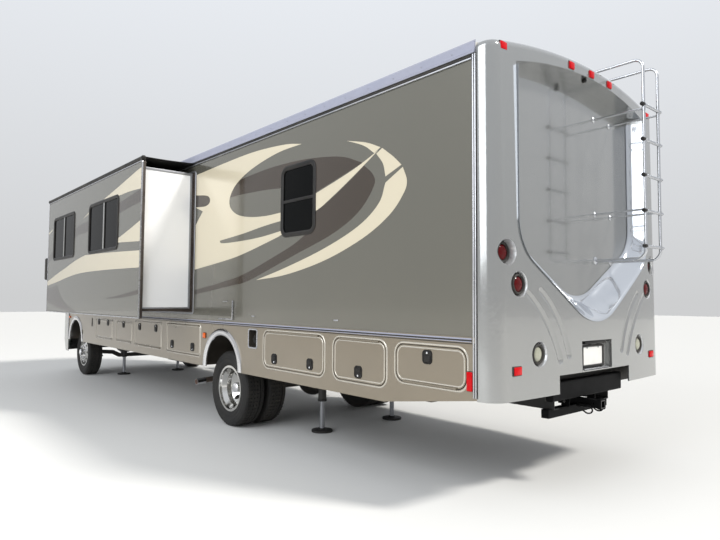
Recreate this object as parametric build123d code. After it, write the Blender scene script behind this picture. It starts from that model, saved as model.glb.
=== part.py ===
from build123d import *
import math
import os

# A class A motorhome on a front-engined gas chassis, parked with its slide-out room open
# and its levelling jacks down. Sizes are in millimetres. While it is drawn, X points to
# the driver's side, Y points to the rear from the rear edge of the side walls, and Z is up
# from the ground. At the end the model is moved so that the middle of its base is the origin.

# Body shell
HALF_WIDTH = 1295.0
WALL_LENGTH = 9900.0
WALL_T = 45.0
WALL_TOP = 3180.0
ROOF_EDGE_Z = WALL_TOP + 60.0
ROOF_CROWN_Z = WALL_TOP + 195.0
ROOF_T = 75.0
FLOOR_TOP = 1260.0
FLOOR_T = 80.0
BELT_Z = 1180.0
BELT_H = 40.0
BELT_PROUD = 8.0
SKIRT_T = 12.0
SKIRT_Z = 650.0
SKIRT_TAIL_Z = 775.0
SKIRT_BREAK_Y = -910.0
CAP_T = 12.0
CAP_EDGE_R = 55.0
CAP_TOP_Z = ROOF_CROWN_Z + 45.0
FRONT_Y = -WALL_LENGTH

# Running gear
WHEELBASE = 5790.0
REAR_AXLE_Y = -3600.0
TYRE_R = 425.0
TYRE_W = 245.0
BEAD_R = 248.0
RIM_LIP = 12.0
FRONT_TYRE_X = 1042.0
REAR_OUTER_TYRE_X = 1085.0
DUAL_SPACING = 285.0
KINGPIN_X = 880.0
KINGPIN_R = 22.0
SPINDLE_R = 40.0
RUNNING_FIT = 0.05
ARCH_R = 400.0
ARCH_Z = 655.0
FLARE_W = 54.0
FLARE_INSET = 15.0

# Chassis
RAIL_X = 432.0
RAIL_BOTTOM = 620.0
RAIL_H = 230.0
RAIL_FLANGE = 75.0
RAIL_T = 8.0
RAIL_FRONT_Y = FRONT_Y - 400.0
RAIL_REAR_Y = 60.0
BEAM_H = 45.0
BEAM_W = 50.0
SEAT_GAP = 0.3
JACK_X = 535.0
JACK_STATIONS = (-8950.0, -2700.0)
RECEIVER_Z = 640.0
RECEIVER_BORE = 51.0
RECEIVER_WALL = 6.35
RECEIVER_MOUTH_Y = 230.0
HITCH_PIN_R = 8.0
HITCH_PIN_Y = RECEIVER_MOUTH_Y - 65.0

# Slide-out room
SLIDE_OUT = 684.0
SLIDE_FRONT = -8600.0
SLIDE_REAR = -4400.0
SLIDE_FLOOR_Z = 1300.0
SLIDE_TOP = 3020.0
SLIDE_WALL_T = 40.0
SLIDE_GAP = 10.0
SLIDE_TAIL = 60.0
FASCIA_LAP = 60.0
FASCIA_LOW_Z = 1215.0
SEAL_GAP = 12.0

# Doors
DOOR_T = 30.0
DOOR_GAP = 6.0
HINGE_R = 7.5
HINGE_PROUD = 5.0
ENTRY_DOOR_T = 40.0
ENTRY_FRONT = -8600.0
ENTRY_REAR = -7900.0
ENTRY_LOW_Z = 800.0
ENTRY_TOP = 2900.0
STEP_TRAVEL = 280.0
STAIR_INNER_X = -700.0
STAIR_STEP_Z = 1035.0

WHEEL_STATIONS = (REAR_AXLE_Y - WHEELBASE, REAR_AXLE_Y)

# Side windows: side, front edge, rear edge, sill, head, corner radius
SIDE_WINDOWS = (
    ("left", FRONT_Y + 150.0, FRONT_Y + 1050.0, 1560.0, 2380.0, 90.0),
    ("left", -2390.0, -1855.0, 2080.0, 2740.0, 75.0),
    ("right", FRONT_Y + 150.0, FRONT_Y + 1050.0, 1560.0, 2380.0, 90.0),
    ("right", -7250.0, -6250.0, 2080.0, 2740.0, 75.0),
    ("right", -5500.0, -4500.0, 2080.0, 2740.0, 75.0),
    ("right", -2500.0, -1700.0, 2080.0, 2740.0, 75.0),
)
# Windows of the slide-out room: front edge, rear edge, sill, head, corner radius
SLIDE_WINDOWS = (
    (-8270.0, -7090.0, 2090.0, 2760.0, 60.0),
    (-6330.0, -5130.0, 2090.0, 2760.0, 60.0),
)
# Storage doors: side, front edge, rear edge, bottom, top, corner radius, hinged edge, bay floor
STORAGE_DOORS = (
    ("left", -8190.0, -7340.0, 780.0, 1090.0, 35.0, "bottom", 700.0),
    ("left", -7140.0, -6450.0, 780.0, 1085.0, 35.0, "bottom", 700.0),
    ("left", -6330.0, -5330.0, 765.0, 1120.0, 35.0, "bottom", 700.0),
    ("left", -5150.0, -4150.0, 755.0, 1125.0, 35.0, "top", 700.0),
    ("left", -2700.0, -1685.0, 763.0, 1126.0, 80.0, "top", 700.0),
    ("left", -1550.0, -885.0, 765.0, 1122.0, 80.0, "top", 700.0),
    ("left", -775.0, -85.0, 830.0, 1118.0, 80.0, "bottom", 790.0),
    ("right", -7640.0, -6640.0, 765.0, 1120.0, 35.0, "top", 700.0),
    ("right", -6440.0, -4240.0, 765.0, 1120.0, 35.0, "top", 700.0),
    ("right", -2900.0, -1300.0, 765.0, 1120.0, 80.0, "top", 700.0),
)
BAY_MARGIN = 40.0
BAY_T = 8.0
BAY_INNER_X = 620.0
BAY_TOP = FLOOR_TOP - FLOOR_T - BEAM_H - BAY_T
# The fuel filler's recess in the left skirt: front edge, rear edge, bottom, top, corner radius
FILLER = (-3000.0, -2840.0, 943.0, 1126.0, 20.0)
FILLER_DEPTH = 70.0
FILLER_T = 4.0
LINER_R = 470.0
LINER_T = 4.0
LINER_INNER_X = 640.0
LIP_R = ARCH_R + FLARE_W

parts = {}


def block(x0, x1, y0, y1, z0, z1):
    """A block between two opposite corners."""
    middle = Pos((x0 + x1) / 2, (y0 + y1) / 2, (z0 + z1) / 2)
    return middle * Box(abs(x1 - x0), abs(y1 - y0), abs(z1 - z0))


def rod(start, end, radius):
    """A round bar from one point to another."""
    run = Vector(*end) - Vector(*start)
    return extrude(Plane(origin=start, z_dir=run) * Circle(radius), amount=run.length)


def along_x(sketch, x0, x1):
    """A sketch in Y and Z, drawn out from x0 to x1."""
    return extrude(Plane.YZ.offset(x0) * sketch, amount=x1 - x0)


def along_y(sketch, y0, y1):
    """A sketch in X and Z, drawn out from y0 to y1."""
    plane = Plane(origin=(0, y1, 0), x_dir=(1, 0, 0), z_dir=(0, -1, 0))
    return extrude(plane * sketch, amount=y1 - y0)


def rounded(a0, a1, b0, b1, radius):
    """A rounded rectangle between two corners of the sketch plane."""
    return Pos((a0 + a1) / 2, (b0 + b1) / 2) * RectangleRounded(a1 - a0, b1 - b0, radius)


def to_right(shape):
    """The same shape on the passenger's side."""
    return mirror(shape, about=Plane.YZ)


def both_sides(shape):
    """A shape and its mirror image, as separate solids."""
    return Compound([*shape.solids(), *to_right(shape).solids()])


def turned(points, x_mid):
    """A closed outline of radius and width points, spun about the wheel's axle."""
    outline = make_face(Polyline(*[(x_mid + wide, radius) for radius, wide in points], close=True))
    plane = Plane(origin=(0, 0, 0), x_dir=(1, 0, 0), z_dir=(0, -1, 0))
    return revolve(plane * outline, axis=Axis.X)


def storage_doors(side):
    """The rows of the door table for one side, with their numbers from the front."""
    return list(enumerate([row[1:] for row in STORAGE_DOORS if row[0] == side], start=1))


# Side walls, with their window and door openings
def side_wall(side):
    panel = Pos(-WALL_LENGTH / 2, (BELT_Z + WALL_TOP) / 2) * Rectangle(WALL_LENGTH, WALL_TOP - BELT_Z)
    for place, y0, y1, z0, z1, radius in SIDE_WINDOWS:
        if place == side:
            panel -= rounded(y0, y1, z0, z1, radius)
    if side == "left":
        opening_low = SLIDE_FLOOR_Z - SLIDE_GAP
        panel -= rounded(SLIDE_FRONT - SLIDE_GAP, SLIDE_REAR + SLIDE_GAP,
                         opening_low, SLIDE_TOP + SLIDE_GAP, 5)
    else:
        panel -= rounded(ENTRY_FRONT, ENTRY_REAR, ENTRY_LOW_Z, ENTRY_TOP, 60)
    wall = along_x(panel, HALF_WIDTH - WALL_T, HALF_WIDTH)
    return wall if side == "left" else to_right(wall)


# Skirts below the belt line, with the belt moulding, the lips of the wheel arches and their liners
def filler_cup():
    """The cup behind the fuel filler's opening, with the neck and its cap."""
    y0, y1, z0, z1, radius = FILLER
    x0 = HALF_WIDTH - SKIRT_T - FILLER_DEPTH
    x1 = HALF_WIDTH - SKIRT_T - SEAT_GAP
    t = FILLER_T
    cup = along_x(rounded(y0 - t, y1 + t, z0 - t, z1 + t, radius + t), x0 - t, x1)
    cup -= along_x(rounded(y0, y1, z0, z1, radius), x0, HALF_WIDTH + 1)
    middle = ((y0 + y1) / 2, (z0 + z1) / 2 - 10)
    cup += rod((x0 - 1, *middle), (x0 + 22, *middle), 40)
    return cup + rod((x0 + 21, *middle), (x0 + 40, *middle), 46)


def arch_liner(y):
    """Left liner over a wheel: half a drum, and the wall that closes its inner end."""
    half = Pos(0, LINER_R) * Rectangle(4 * LINER_R, 2 * LINER_R)
    outer = Pos(y, ARCH_Z) * (Circle(LINER_R + LINER_T) & half)
    inner = Pos(y, ARCH_Z) * Circle(LINER_R)
    end = along_x(outer, LINER_INNER_X, LINER_INNER_X + LINER_T)
    drum = along_x(outer - inner, LINER_INNER_X + LINER_T + SEAT_GAP, HALF_WIDTH - SKIRT_T - SEAT_GAP)
    return [*end.solids(), *drum.solids()]


def skirt_seams(side):
    """Stations midway between neighbouring openings, where one skirt panel meets the next."""
    spans = [(row[0], row[1]) for number, row in storage_doors(side)]
    spans += [(y - LIP_R, y + LIP_R) for y in WHEEL_STATIONS]
    spans.append((ENTRY_FRONT, ENTRY_REAR) if side == "right" else FILLER[:2])
    spans.sort()
    return [(low[1] + high[0]) / 2 for low, high in zip(spans, spans[1:])]


def side_skirt(side):
    outline = Polyline((-WALL_LENGTH, SKIRT_Z), (SKIRT_BREAK_Y, SKIRT_Z), (0, SKIRT_TAIL_Z),
                       (0, BELT_Z), (-WALL_LENGTH, BELT_Z), close=True)
    panel = make_face(outline)
    lip = Sketch()
    for y in WHEEL_STATIONS:
        panel -= Pos(y, ARCH_Z) * Circle(ARCH_R)
        ring = Circle(LIP_R) - Circle(ARCH_R - FLARE_INSET)
        upper = Pos(0, ARCH_R) * Rectangle(4 * ARCH_R, 2 * ARCH_R)
        lip += Pos(y, ARCH_Z) * (ring & upper)
    for number, (y0, y1, z0, z1, radius, hinge, floor_z) in storage_doors(side):
        panel -= rounded(y0, y1, z0, z1, radius)
    belt = Pos(-WALL_LENGTH / 2, BELT_Z) * Rectangle(WALL_LENGTH, BELT_H)
    if side == "right":
        entry = rounded(ENTRY_FRONT, ENTRY_REAR, ENTRY_LOW_Z, ENTRY_TOP, 60)
        panel -= entry
        belt -= rounded(ENTRY_FRONT - 10, ENTRY_REAR + 10, ENTRY_LOW_Z, ENTRY_TOP, 60)
    else:
        panel -= rounded(*FILLER)
    for y in skirt_seams(side):
        panel -= Pos(y, 0) * Rectangle(SEAT_GAP, 2 * BELT_Z)
    skirt = along_x(panel, HALF_WIDTH - SKIRT_T, HALF_WIDTH)
    skirt += along_x(lip, HALF_WIDTH - SKIRT_T, HALF_WIDTH + BELT_PROUD)
    solids = [*skirt.solids(), *along_x(belt, HALF_WIDTH + SEAT_GAP, HALF_WIDTH + BELT_PROUD).solids()]
    if side == "left":
        solids += filler_cup().solids()
    for y in WHEEL_STATIONS:
        solids += arch_liner(y)
    return Compound(solids if side == "left" else [to_right(solid) for solid in solids])


# Storage doors: flush slabs, each on a long round hinge along its top or bottom edge
def storage_door(y0, y1, z0, z1, radius, hinge):
    outline = rounded(y0 + DOOR_GAP, y1 - DOOR_GAP, z0 + DOOR_GAP, z1 - DOOR_GAP, radius)
    door = along_x(outline, HALF_WIDTH - DOOR_T, HALF_WIDTH)
    edge_z = storage_hinge_z(z0, z1, hinge)
    inset = DOOR_GAP + radius
    x = HALF_WIDTH + HINGE_PROUD
    return door + rod((x, y0 + inset, edge_z), (x, y1 - inset, edge_z), HINGE_R)


def storage_hinge_z(z0, z1, hinge):
    return z0 + DOOR_GAP if hinge == "bottom" else z1 - DOOR_GAP


# Storage bays: boxes of sheet-metal panels behind the doors, open on the outside
def bay_panels(y0, y1, floor_z):
    """Floor, top, back and two ends of one bay on the left side."""
    x0 = BAY_INNER_X
    x1 = HALF_WIDTH - SKIRT_T
    t = BAY_T
    inside_x = x0 + t + SEAT_GAP
    low = floor_z + t + SEAT_GAP
    high = BAY_TOP - SEAT_GAP
    return [
        block(x0, x1, y0, y1, floor_z, floor_z + t),
        block(x0, x1, y0, y1, BAY_TOP, BAY_TOP + t),
        block(x0, x0 + t, y0, y1, low, high),
        block(inside_x, x1, y0, y0 + t, low, high),
        block(inside_x, x1, y1 - t, y1, low, high),
    ]


def storage_bays():
    bays = []
    for side in ("left", "right"):
        for number, (y0, y1, z0, z1, radius, hinge, floor_z) in storage_doors(side):
            for panel in bay_panels(y0 - BAY_MARGIN, y1 + BAY_MARGIN, floor_z):
                bays += (panel if side == "left" else to_right(panel)).solids()
    return Compound(bays)


# Roof: a crowned panel that sits on the walls, and the rails that cover its edges
def crown(half, edge_z, crown_z, low_z):
    """A closed outline in X and Z with a crowned top."""
    top = ThreePointArc((-half, edge_z), (0, crown_z), (half, edge_z))
    rest = Polyline((half, edge_z), (half, low_z), (-half, low_z), (-half, edge_z))
    return make_face([top, rest])


def roof_z(x):
    """Height of the roof's outer face at x."""
    rise = ROOF_CROWN_Z - ROOF_EDGE_Z
    radius = (HALF_WIDTH ** 2 + rise ** 2) / (2 * rise)
    return ROOF_CROWN_Z - radius + math.sqrt(radius ** 2 - x ** 2)


def roof():
    inner_half = HALF_WIDTH - WALL_T
    outer = crown(HALF_WIDTH, ROOF_EDGE_Z, ROOF_CROWN_Z, WALL_TOP)
    inner = crown(inner_half, WALL_TOP + 1, ROOF_CROWN_Z - ROOF_T, WALL_TOP - 1)
    return along_y(outer - inner, -WALL_LENGTH, 0)


def roof_rails():
    rail = Polyline((HALF_WIDTH, WALL_TOP - 8), (HALF_WIDTH + 16, WALL_TOP - 16),
                    (HALF_WIDTH + 20, WALL_TOP - 6), (HALF_WIDTH + 14, WALL_TOP + 6),
                    (HALF_WIDTH + 14, ROOF_EDGE_Z + 4), (HALF_WIDTH, ROOF_EDGE_Z + 20), close=True)
    return both_sides(along_y(make_face(rail), -WALL_LENGTH, 0))


# Floor: sandwich panels, the engine cover on them, and the stairwell under them
CAB_FLOOR_X = 1050.0
CAB_FLOOR_L = 330.0
COVER_X = 340.0
COVER_H = 150.0
COVER_FRONT_Y = FRONT_Y - 300.0
COVER_REAR_Y = FRONT_Y + 450.0


def floor_panels():
    """The slab in the panels it is laid from: rear, beside the stairwell, front and cab."""
    half = HALF_WIDTH - WALL_T
    seam = SEAT_GAP
    front_y = FRONT_Y + 10
    spans = (
        (-half, half, ENTRY_REAR, -10),
        (STAIR_INNER_X, half, ENTRY_FRONT + seam, ENTRY_REAR - seam),
        (-half, half, front_y, ENTRY_FRONT),
        (-CAB_FLOOR_X, CAB_FLOOR_X, FRONT_Y - CAB_FLOOR_L, front_y - seam),
    )
    return [block(*span, FLOOR_TOP - FLOOR_T, FLOOR_TOP).solid() for span in spans]


def engine_cover():
    z = FLOOR_TOP + SEAT_GAP
    cover = block(-COVER_X, COVER_X, COVER_FRONT_Y, COVER_REAR_Y, z, FLOOR_TOP + COVER_H)
    return fillet(cover.edges().group_by(Axis.Z)[-1], 40)


def stairwell():
    """A folded sheet of two treads and two risers between a front and a rear cheek."""
    t = SKIRT_T
    x0 = -HALF_WIDTH + WALL_T
    x1 = STAIR_INNER_X
    middle_x = (x0 + x1) / 2
    low = ENTRY_LOW_Z
    top = FLOOR_TOP - FLOOR_T - SEAT_GAP
    steps = Polyline((x0, low), (middle_x, low), (middle_x, STAIR_STEP_Z), (x1, STAIR_STEP_Z), (x1, top),
                     (x1 + t, top), (x1 + t, STAIR_STEP_Z - t), (middle_x + t, STAIR_STEP_Z - t),
                     (middle_x + t, low - t), (x0, low - t), close=True)
    cheek = Polyline((x0, low - t), (middle_x + t, low - t), (middle_x + t, STAIR_STEP_Z - t),
                     (x1 + t, STAIR_STEP_Z - t), (x1 + t, top), (x0, top), close=True)
    well = along_y(make_face(steps), ENTRY_FRONT, ENTRY_REAR)
    well += along_y(make_face(cheek), ENTRY_FRONT - t, ENTRY_FRONT)
    return well + along_y(make_face(cheek), ENTRY_REAR, ENTRY_REAR + t)


def floor():
    return Compound([*floor_panels(), *engine_cover().solids(), *stairwell().solids()])


# Moulded end caps: ruled skins through a few level sections, under the roof's crown
def cap_section(z, edge_y, tip_y, bulge, corner, inset):
    """One level section: a bowed end with rounded corners, open towards the side walls."""
    out = 1 if tip_y > edge_y else -1
    half = HALF_WIDTH - inset
    tip = tip_y - out * inset
    shoulder = tip - out * bulge
    base = edge_y - out * min(inset, 1)
    end = ThreePointArc((half, shoulder), (0, tip), (-half, shoulder))
    rest = Polyline((-half, shoulder), (-half, base), (half, base), (half, shoulder))
    face = make_face([end, rest])
    corners = [v for v in face.vertices() if abs(v.Y - shoulder) < 0.5]
    return Pos(0, 0, z) * fillet(corners, corner - inset)


def cap_body(rows, edge_y, inset):
    """The solid inside a cap's outer skin, drawn in by an inset."""
    low = rows[0][0]
    sections = [cap_section(z, edge_y, tip, bulge, corner, inset) for z, tip, bulge, corner in rows]
    reach = max(abs(row[1] - edge_y) for row in rows) + 10
    wide = HALF_WIDTH + 60
    lid = crown(wide, roof_z(wide) - inset, ROOF_CROWN_Z - inset, low - 1)
    body = loft(sections, ruled=True) & along_y(lid, edge_y - reach, edge_y + reach)
    top = body.faces().sort_by(Axis.Z)[-1]
    rim = [edge for edge in top.edges() if abs(edge.center().Y - edge_y) > 5]
    return fillet(rim, CAP_EDGE_R - inset)


# Rear cap. Columns: height, rearmost Y, bow across the width, corner radius
REAR_BOW = 50.0
REAR_ROWS = ((770.0, 195.0, REAR_BOW, 140.0), (CAP_TOP_Z, 170.0, REAR_BOW, 105.0))
# The recess: half width, height of the side's foot, height of the point, depth, corner radius
RECESS_FACE = (1035.0, 1803.0, 1193.0, 360.0, 590.0)
RECESS_BACK = (985.0, 1930.0, 1385.0, 330.0, 540.0)
RECESS_DEPTH = 185.0
BROW_SIDE_Z = WALL_TOP - 44.0
BROW_MID_Z = WALL_TOP + 82.0
LAMP_PODS = ((1141.0, 1782.0), (1020.0, 1564.0), (800.0, 1071.0))
LAMP_R = 75.0
POD_R = 92.0
POD_DEPTH = 38.0
# The plate recess: half width, bottom, top, depth, and the slope of its sill and head
PLATE_RECESS = (240.0, 928.0, 1138.0, 50.0, 0.3)
# Flutes that fan out beside the plate, each through three points of X and height
FLUTES = (
    ((780.0, 1520.0), (555.0, 1300.0), (430.0, 1050.0)),
    ((930.0, 1500.0), (690.0, 1270.0), (545.0, 1020.0)),
)
FLUTE_R = 60.0
FLUTE_DEPTH = 14.0
# The cap's lower edge is cut higher above the hitch: half width and height
UNDERCUT = (560.0, 905.0)


def shield(size, y):
    """The recess outline: straight sides, and a rounded point at the bottom."""
    half, foot_z, point_z, corner, nose = size
    top_z = ROOF_CROWN_Z
    face = make_face(Polyline((-half, top_z), (-half, foot_z), (0, point_z), (half, foot_z),
                              (half, top_z), close=True))
    feet = [v for v in face.vertices() if abs(v.Y - foot_z) < 0.5]
    face = fillet(feet, corner)
    point = [v for v in face.vertices() if abs(v.Y - point_z) < 0.5]
    return Plane(origin=(0, y, 0), x_dir=(1, 0, 0), z_dir=(0, -1, 0)) * fillet(point, nose)


def recess(extra):
    """The space of the recess, grown by an extra thickness on its sides and back."""
    face = (RECESS_FACE[0] + extra, RECESS_FACE[1] - extra * 0.5, RECESS_FACE[2] - extra,
            RECESS_FACE[3], RECESS_FACE[4])
    back = (RECESS_BACK[0] + extra, RECESS_BACK[1] - extra * 0.5, RECESS_BACK[2] - extra,
            RECESS_BACK[3], RECESS_BACK[4])
    mouth_y = REAR_ROWS[0][1] + 5
    space = loft([shield(face, mouth_y), shield(back, mouth_y - 5 - RECESS_DEPTH - extra)], ruled=True)
    half = HALF_WIDTH
    brow = make_face([ThreePointArc((-RECESS_FACE[0], BROW_SIDE_Z + extra), (0, BROW_MID_Z + extra),
                                    (RECESS_FACE[0], BROW_SIDE_Z + extra)),
                      Polyline((RECESS_FACE[0], BROW_SIDE_Z + extra), (half, BROW_SIDE_Z + extra),
                               (half, 0), (-half, 0), (-half, BROW_SIDE_Z + extra),
                               (-RECESS_FACE[0], BROW_SIDE_Z + extra))])
    return space & along_y(brow, -500, 500)


def face_y(x):
    """Y of the cap's bowed face, near its lower edge."""
    return REAR_ROWS[0][1] - REAR_BOW * (x / HALF_WIDTH) ** 2


def pod_face(x):
    """Y of the cap's face at a lamp pod; the outermost pods lie further in, at the corner."""
    return face_y(x) - (35 if x > 1100 else 0)


def plate_recess(extra):
    """The space of the plate recess, grown by an extra thickness."""
    half, low, high, depth, slope = PLATE_RECESS
    back_y = face_y(0) - depth - extra
    mouth_y = face_y(0) + 100
    flare = slope * (mouth_y - back_y)
    space = Polyline((back_y, low - extra), (mouth_y, low - extra - flare),
                     (mouth_y, high + extra + flare / 4), (back_y, high + extra), close=True)
    return along_x(make_face(space), -half - extra, half + extra)


def flute(points, radius):
    """A round-ended bar bent along one flute, on both sides of the cap."""
    above = FLUTE_R - FLUTE_DEPTH
    start, middle, end = [(x, face_y(x) + above, z) for x, z in points]
    path = ThreePointArc(start, middle, end)
    bar = sweep(Plane(path @ 0, z_dir=path % 0) * Circle(radius), path=path)
    bar += Pos(*start) * Sphere(radius) + Pos(*end) * Sphere(radius)
    return both_sides(bar)


def rear_cap():
    shell = cap_body(REAR_ROWS, 0, 0) - recess(0)
    inside = cap_body(REAR_ROWS, 0, CAP_T) - recess(CAP_T)
    for x, z in LAMP_PODS:
        for side in (-1, 1):
            foot_y = pod_face(x) - POD_DEPTH
            shell -= rod((side * x, 400, z), (side * x, foot_y, z), POD_R)
            inside -= rod((side * x, 400, z), (side * x, foot_y - CAP_T, z), POD_R + CAP_T)
    shell -= plate_recess(0)
    inside -= plate_recess(CAP_T)
    for points in FLUTES:
        shell -= flute(points, FLUTE_R)
        inside -= flute(points, FLUTE_R + CAP_T)
    half, high = UNDERCUT
    return shell - inside - block(-half, half, 0, 400, 700, high)


# Front cap. Columns: height, foremost Y, bow across the width, corner radius
FRONT_ROWS = (
    (420.0, FRONT_Y - 430.0, 70.0, 260.0),
    (640.0, FRONT_Y - 580.0, 80.0, 300.0),
    (1120.0, FRONT_Y - 600.0, 80.0, 320.0),
    (1430.0, FRONT_Y - 555.0, 80.0, 320.0),
    (2620.0, FRONT_Y - 335.0, 60.0, 220.0),
    (CAP_TOP_Z, FRONT_Y - 110.0, 20.0, 75.0),
)
GLASS_T = 8.0
GLASS_INSET = 3.0


def screen_outline(grow):
    low = 1490.0 - grow
    high = 2570.0 + grow
    foot = 1165.0 + grow
    head = 1110.0 + grow
    face = make_face(Polyline((-foot, low), (foot, low), (head, high), (-head, high), close=True))
    return fillet(face.vertices(), 110)


def front_prism(outline):
    """An outline seen from the front, drawn back as far as the curved cap reaches."""
    return along_y(outline, FRONT_Y - 800, FRONT_Y - 60)


def grille_outline(grow):
    return rounded(-430 - grow, 430 + grow, 700 - grow, 1110 + grow, 60)


def headlamp_outline(grow):
    lamp = rounded(640 - grow, 1060 + grow, 820 - grow, 1010 + grow, 60)
    return lamp + mirror(lamp, about=Plane.YZ)


def front_cap():
    cap = cap_body(FRONT_ROWS, FRONT_Y, 0) - cap_body(FRONT_ROWS, FRONT_Y, CAP_T)
    cap -= front_prism(screen_outline(0))
    cap -= front_prism(grille_outline(0))
    cap -= front_prism(headlamp_outline(0))
    return cap


def front_layer(inset, thickness):
    """A skin parallel to the front cap, at an inset behind its outer face."""
    return cap_body(FRONT_ROWS, FRONT_Y, inset) - cap_body(FRONT_ROWS, FRONT_Y, inset + thickness)


def windshield():
    return front_layer(GLASS_INSET, GLASS_T) & front_prism(screen_outline(-SEAT_GAP))


def grille():
    frame = grille_outline(-SEAT_GAP) - grille_outline(-26)
    for row in range(5):
        frame += Pos(0, 765 + row * 72) * Rectangle(840, 26)
    return front_layer(10, 30) & front_prism(frame)


def headlamps():
    return front_layer(4, 40) & front_prism(headlamp_outline(-SEAT_GAP))


# Window glass: one pane for each side window, set near the wall's outer face
def window_glass():
    panes = []
    for side, y0, y1, z0, z1, radius in SIDE_WINDOWS:
        pane = along_x(rounded(y0 + SEAT_GAP, y1 - SEAT_GAP, z0 + SEAT_GAP, z1 - SEAT_GAP, radius),
                       HALF_WIDTH - 14, HALF_WIDTH - 14 + GLASS_T)
        panes += (pane if side == "left" else to_right(pane)).solids()
    return Compound(panes)


# Chassis: two channel rails, the cross-members between them, and floor beams on short posts
BEAM_STATIONS = (FRONT_Y + 40.0, -8750.0, -7760.0, -6390.0, -5240.0, -4100.0, -2950.0, -1620.0, -830.0,
                 -60.0)
CROSS_STATIONS = (FRONT_Y - 350.0, -8350.0, -6900.0, -5400.0, -4500.0, -2800.0, -1150.0, -40.0)


def frame_rail():
    """The left rail, a channel that opens inwards."""
    x = RAIL_X
    z0 = RAIL_BOTTOM
    z1 = RAIL_BOTTOM + RAIL_H
    t = RAIL_T
    channel = Polyline((x, z0), (x, z1), (x - RAIL_FLANGE, z1), (x - RAIL_FLANGE, z1 - t), (x - t, z1 - t),
                       (x - t, z0 + t), (x - RAIL_FLANGE, z0 + t), (x - RAIL_FLANGE, z0), close=True)
    return along_y(make_face(channel), RAIL_FRONT_Y, RAIL_REAR_Y)


def chassis_frame():
    solids = both_sides(frame_rail()).solids()
    reach = RAIL_X - RAIL_T - SEAT_GAP
    for y in CROSS_STATIONS:
        solids += block(-reach, reach, y - 30, y + 30, RAIL_BOTTOM + 60,
                        RAIL_BOTTOM + RAIL_H - 50).solids()
    half = HALF_WIDTH - SKIRT_T - SEAT_GAP
    beam_z = FLOOR_TOP - FLOOR_T - BEAM_H
    post_z = RAIL_BOTTOM + RAIL_H + SEAT_GAP
    for y in BEAM_STATIONS:
        y0 = y - BEAM_W / 2
        y1 = y + BEAM_W / 2
        solids += block(-half, half, y0, y1, beam_z, beam_z + BEAM_H - SEAT_GAP).solids()
        solids += both_sides(block(RAIL_X - 50, RAIL_X, y0, y1, post_z, beam_z - SEAT_GAP)).solids()
    return Compound(solids)


# Hitch: a cross tube under the rail ends, the square receiver and its pin hole, and the tail beam
# on the rails' ends with two gussets down to the cross tube
TAIL_BEAM = (545.0, 60.0, 145.0)
GUSSET_X = 200.0
GUSSET_T = 10.0


def hitch_receiver():
    z = RECEIVER_Z
    bore = RECEIVER_BORE / 2
    outer = bore + RECEIVER_WALL
    hitch = block(-RAIL_X - 30, RAIL_X + 30, -32, 32, z - 85, RAIL_BOTTOM)
    hitch += block(-outer, outer, -140, RECEIVER_MOUTH_Y, z - outer, z + outer)
    hitch -= block(-bore, bore, -120, RECEIVER_MOUTH_Y + 1, z - bore, z + bore)
    hitch -= rod((-60, HITCH_PIN_Y, z), (60, HITCH_PIN_Y, z), HITCH_PIN_R)
    half, depth, height = TAIL_BEAM
    high = RAIL_BOTTOM + RAIL_H - 5
    beam_y = RAIL_REAR_Y + SEAT_GAP
    beam = block(-half, half, beam_y, beam_y + depth, high - height, high)
    beam = fillet(beam.edges().filter_by(Axis.X), 12)
    cross_y = CROSS_STATIONS[-1] + 30 + SEAT_GAP
    gusset = block(GUSSET_X, GUSSET_X + GUSSET_T, cross_y, RAIL_REAR_Y, RAIL_BOTTOM + SEAT_GAP, high)
    return Compound([*hitch.solids(), *beam.solids(), *both_sides(gusset).solids()])


# Wheels and tyres
TYRE_SECTION = ((BEAD_R, -93), (BEAD_R + 15, -93), (BEAD_R + 32, -110), (345, -TYRE_W / 2), (400, -112),
                (417, -98), (TYRE_R, -80), (TYRE_R, 80), (417, 98), (400, 112), (345, TYRE_W / 2),
                (BEAD_R + 32, 110), (BEAD_R + 15, 93), (BEAD_R, 93), (BEAD_R, 75), (300, 84), (345, 108),
                (392, 96), (405, 70), (405, -70), (392, -96), (345, -108), (300, -84), (BEAD_R, -75))
BARREL_SECTION = ((BEAD_R, -95), (BEAD_R + RIM_LIP, -95), (BEAD_R + RIM_LIP, -103), (236, -103),
                  (236, -52), (210, -32), (210, 22), (236, 75), (236, 103), (BEAD_R + RIM_LIP, 103),
                  (BEAD_R + RIM_LIP, 95), (BEAD_R, 95), (BEAD_R, 75), (222, 22), (222, -32),
                  (BEAD_R, -52))
HUB_R = 78.0
DISC_T = 12.0
HAND_HOLES = 8
HAND_HOLE_R = 26.0
HAND_HOLE_AT = 188.0


def tyre(x_mid, y):
    return Pos(0, y, TYRE_R) * turned(TYRE_SECTION, x_mid)


def dish(x_mid, rim_at, face_at):
    """A wheel disc: a cone from the rim's well to a flat mounting face, with hand holes."""
    t = math.copysign(DISC_T, face_at)
    plate = turned(((226, rim_at), (152, face_at), (HUB_R - 10, face_at), (HUB_R - 10, face_at - t),
                    (152, face_at - t), (226, rim_at - t)), x_mid)
    for step in range(HAND_HOLES):
        turn = 2 * math.pi * step / HAND_HOLES
        y = HAND_HOLE_AT * math.cos(turn)
        z = HAND_HOLE_AT * math.sin(turn)
        plate -= rod((x_mid + rim_at - 2 * t, y, z), (x_mid + face_at, y, z), HAND_HOLE_R)
    return plate


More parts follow.
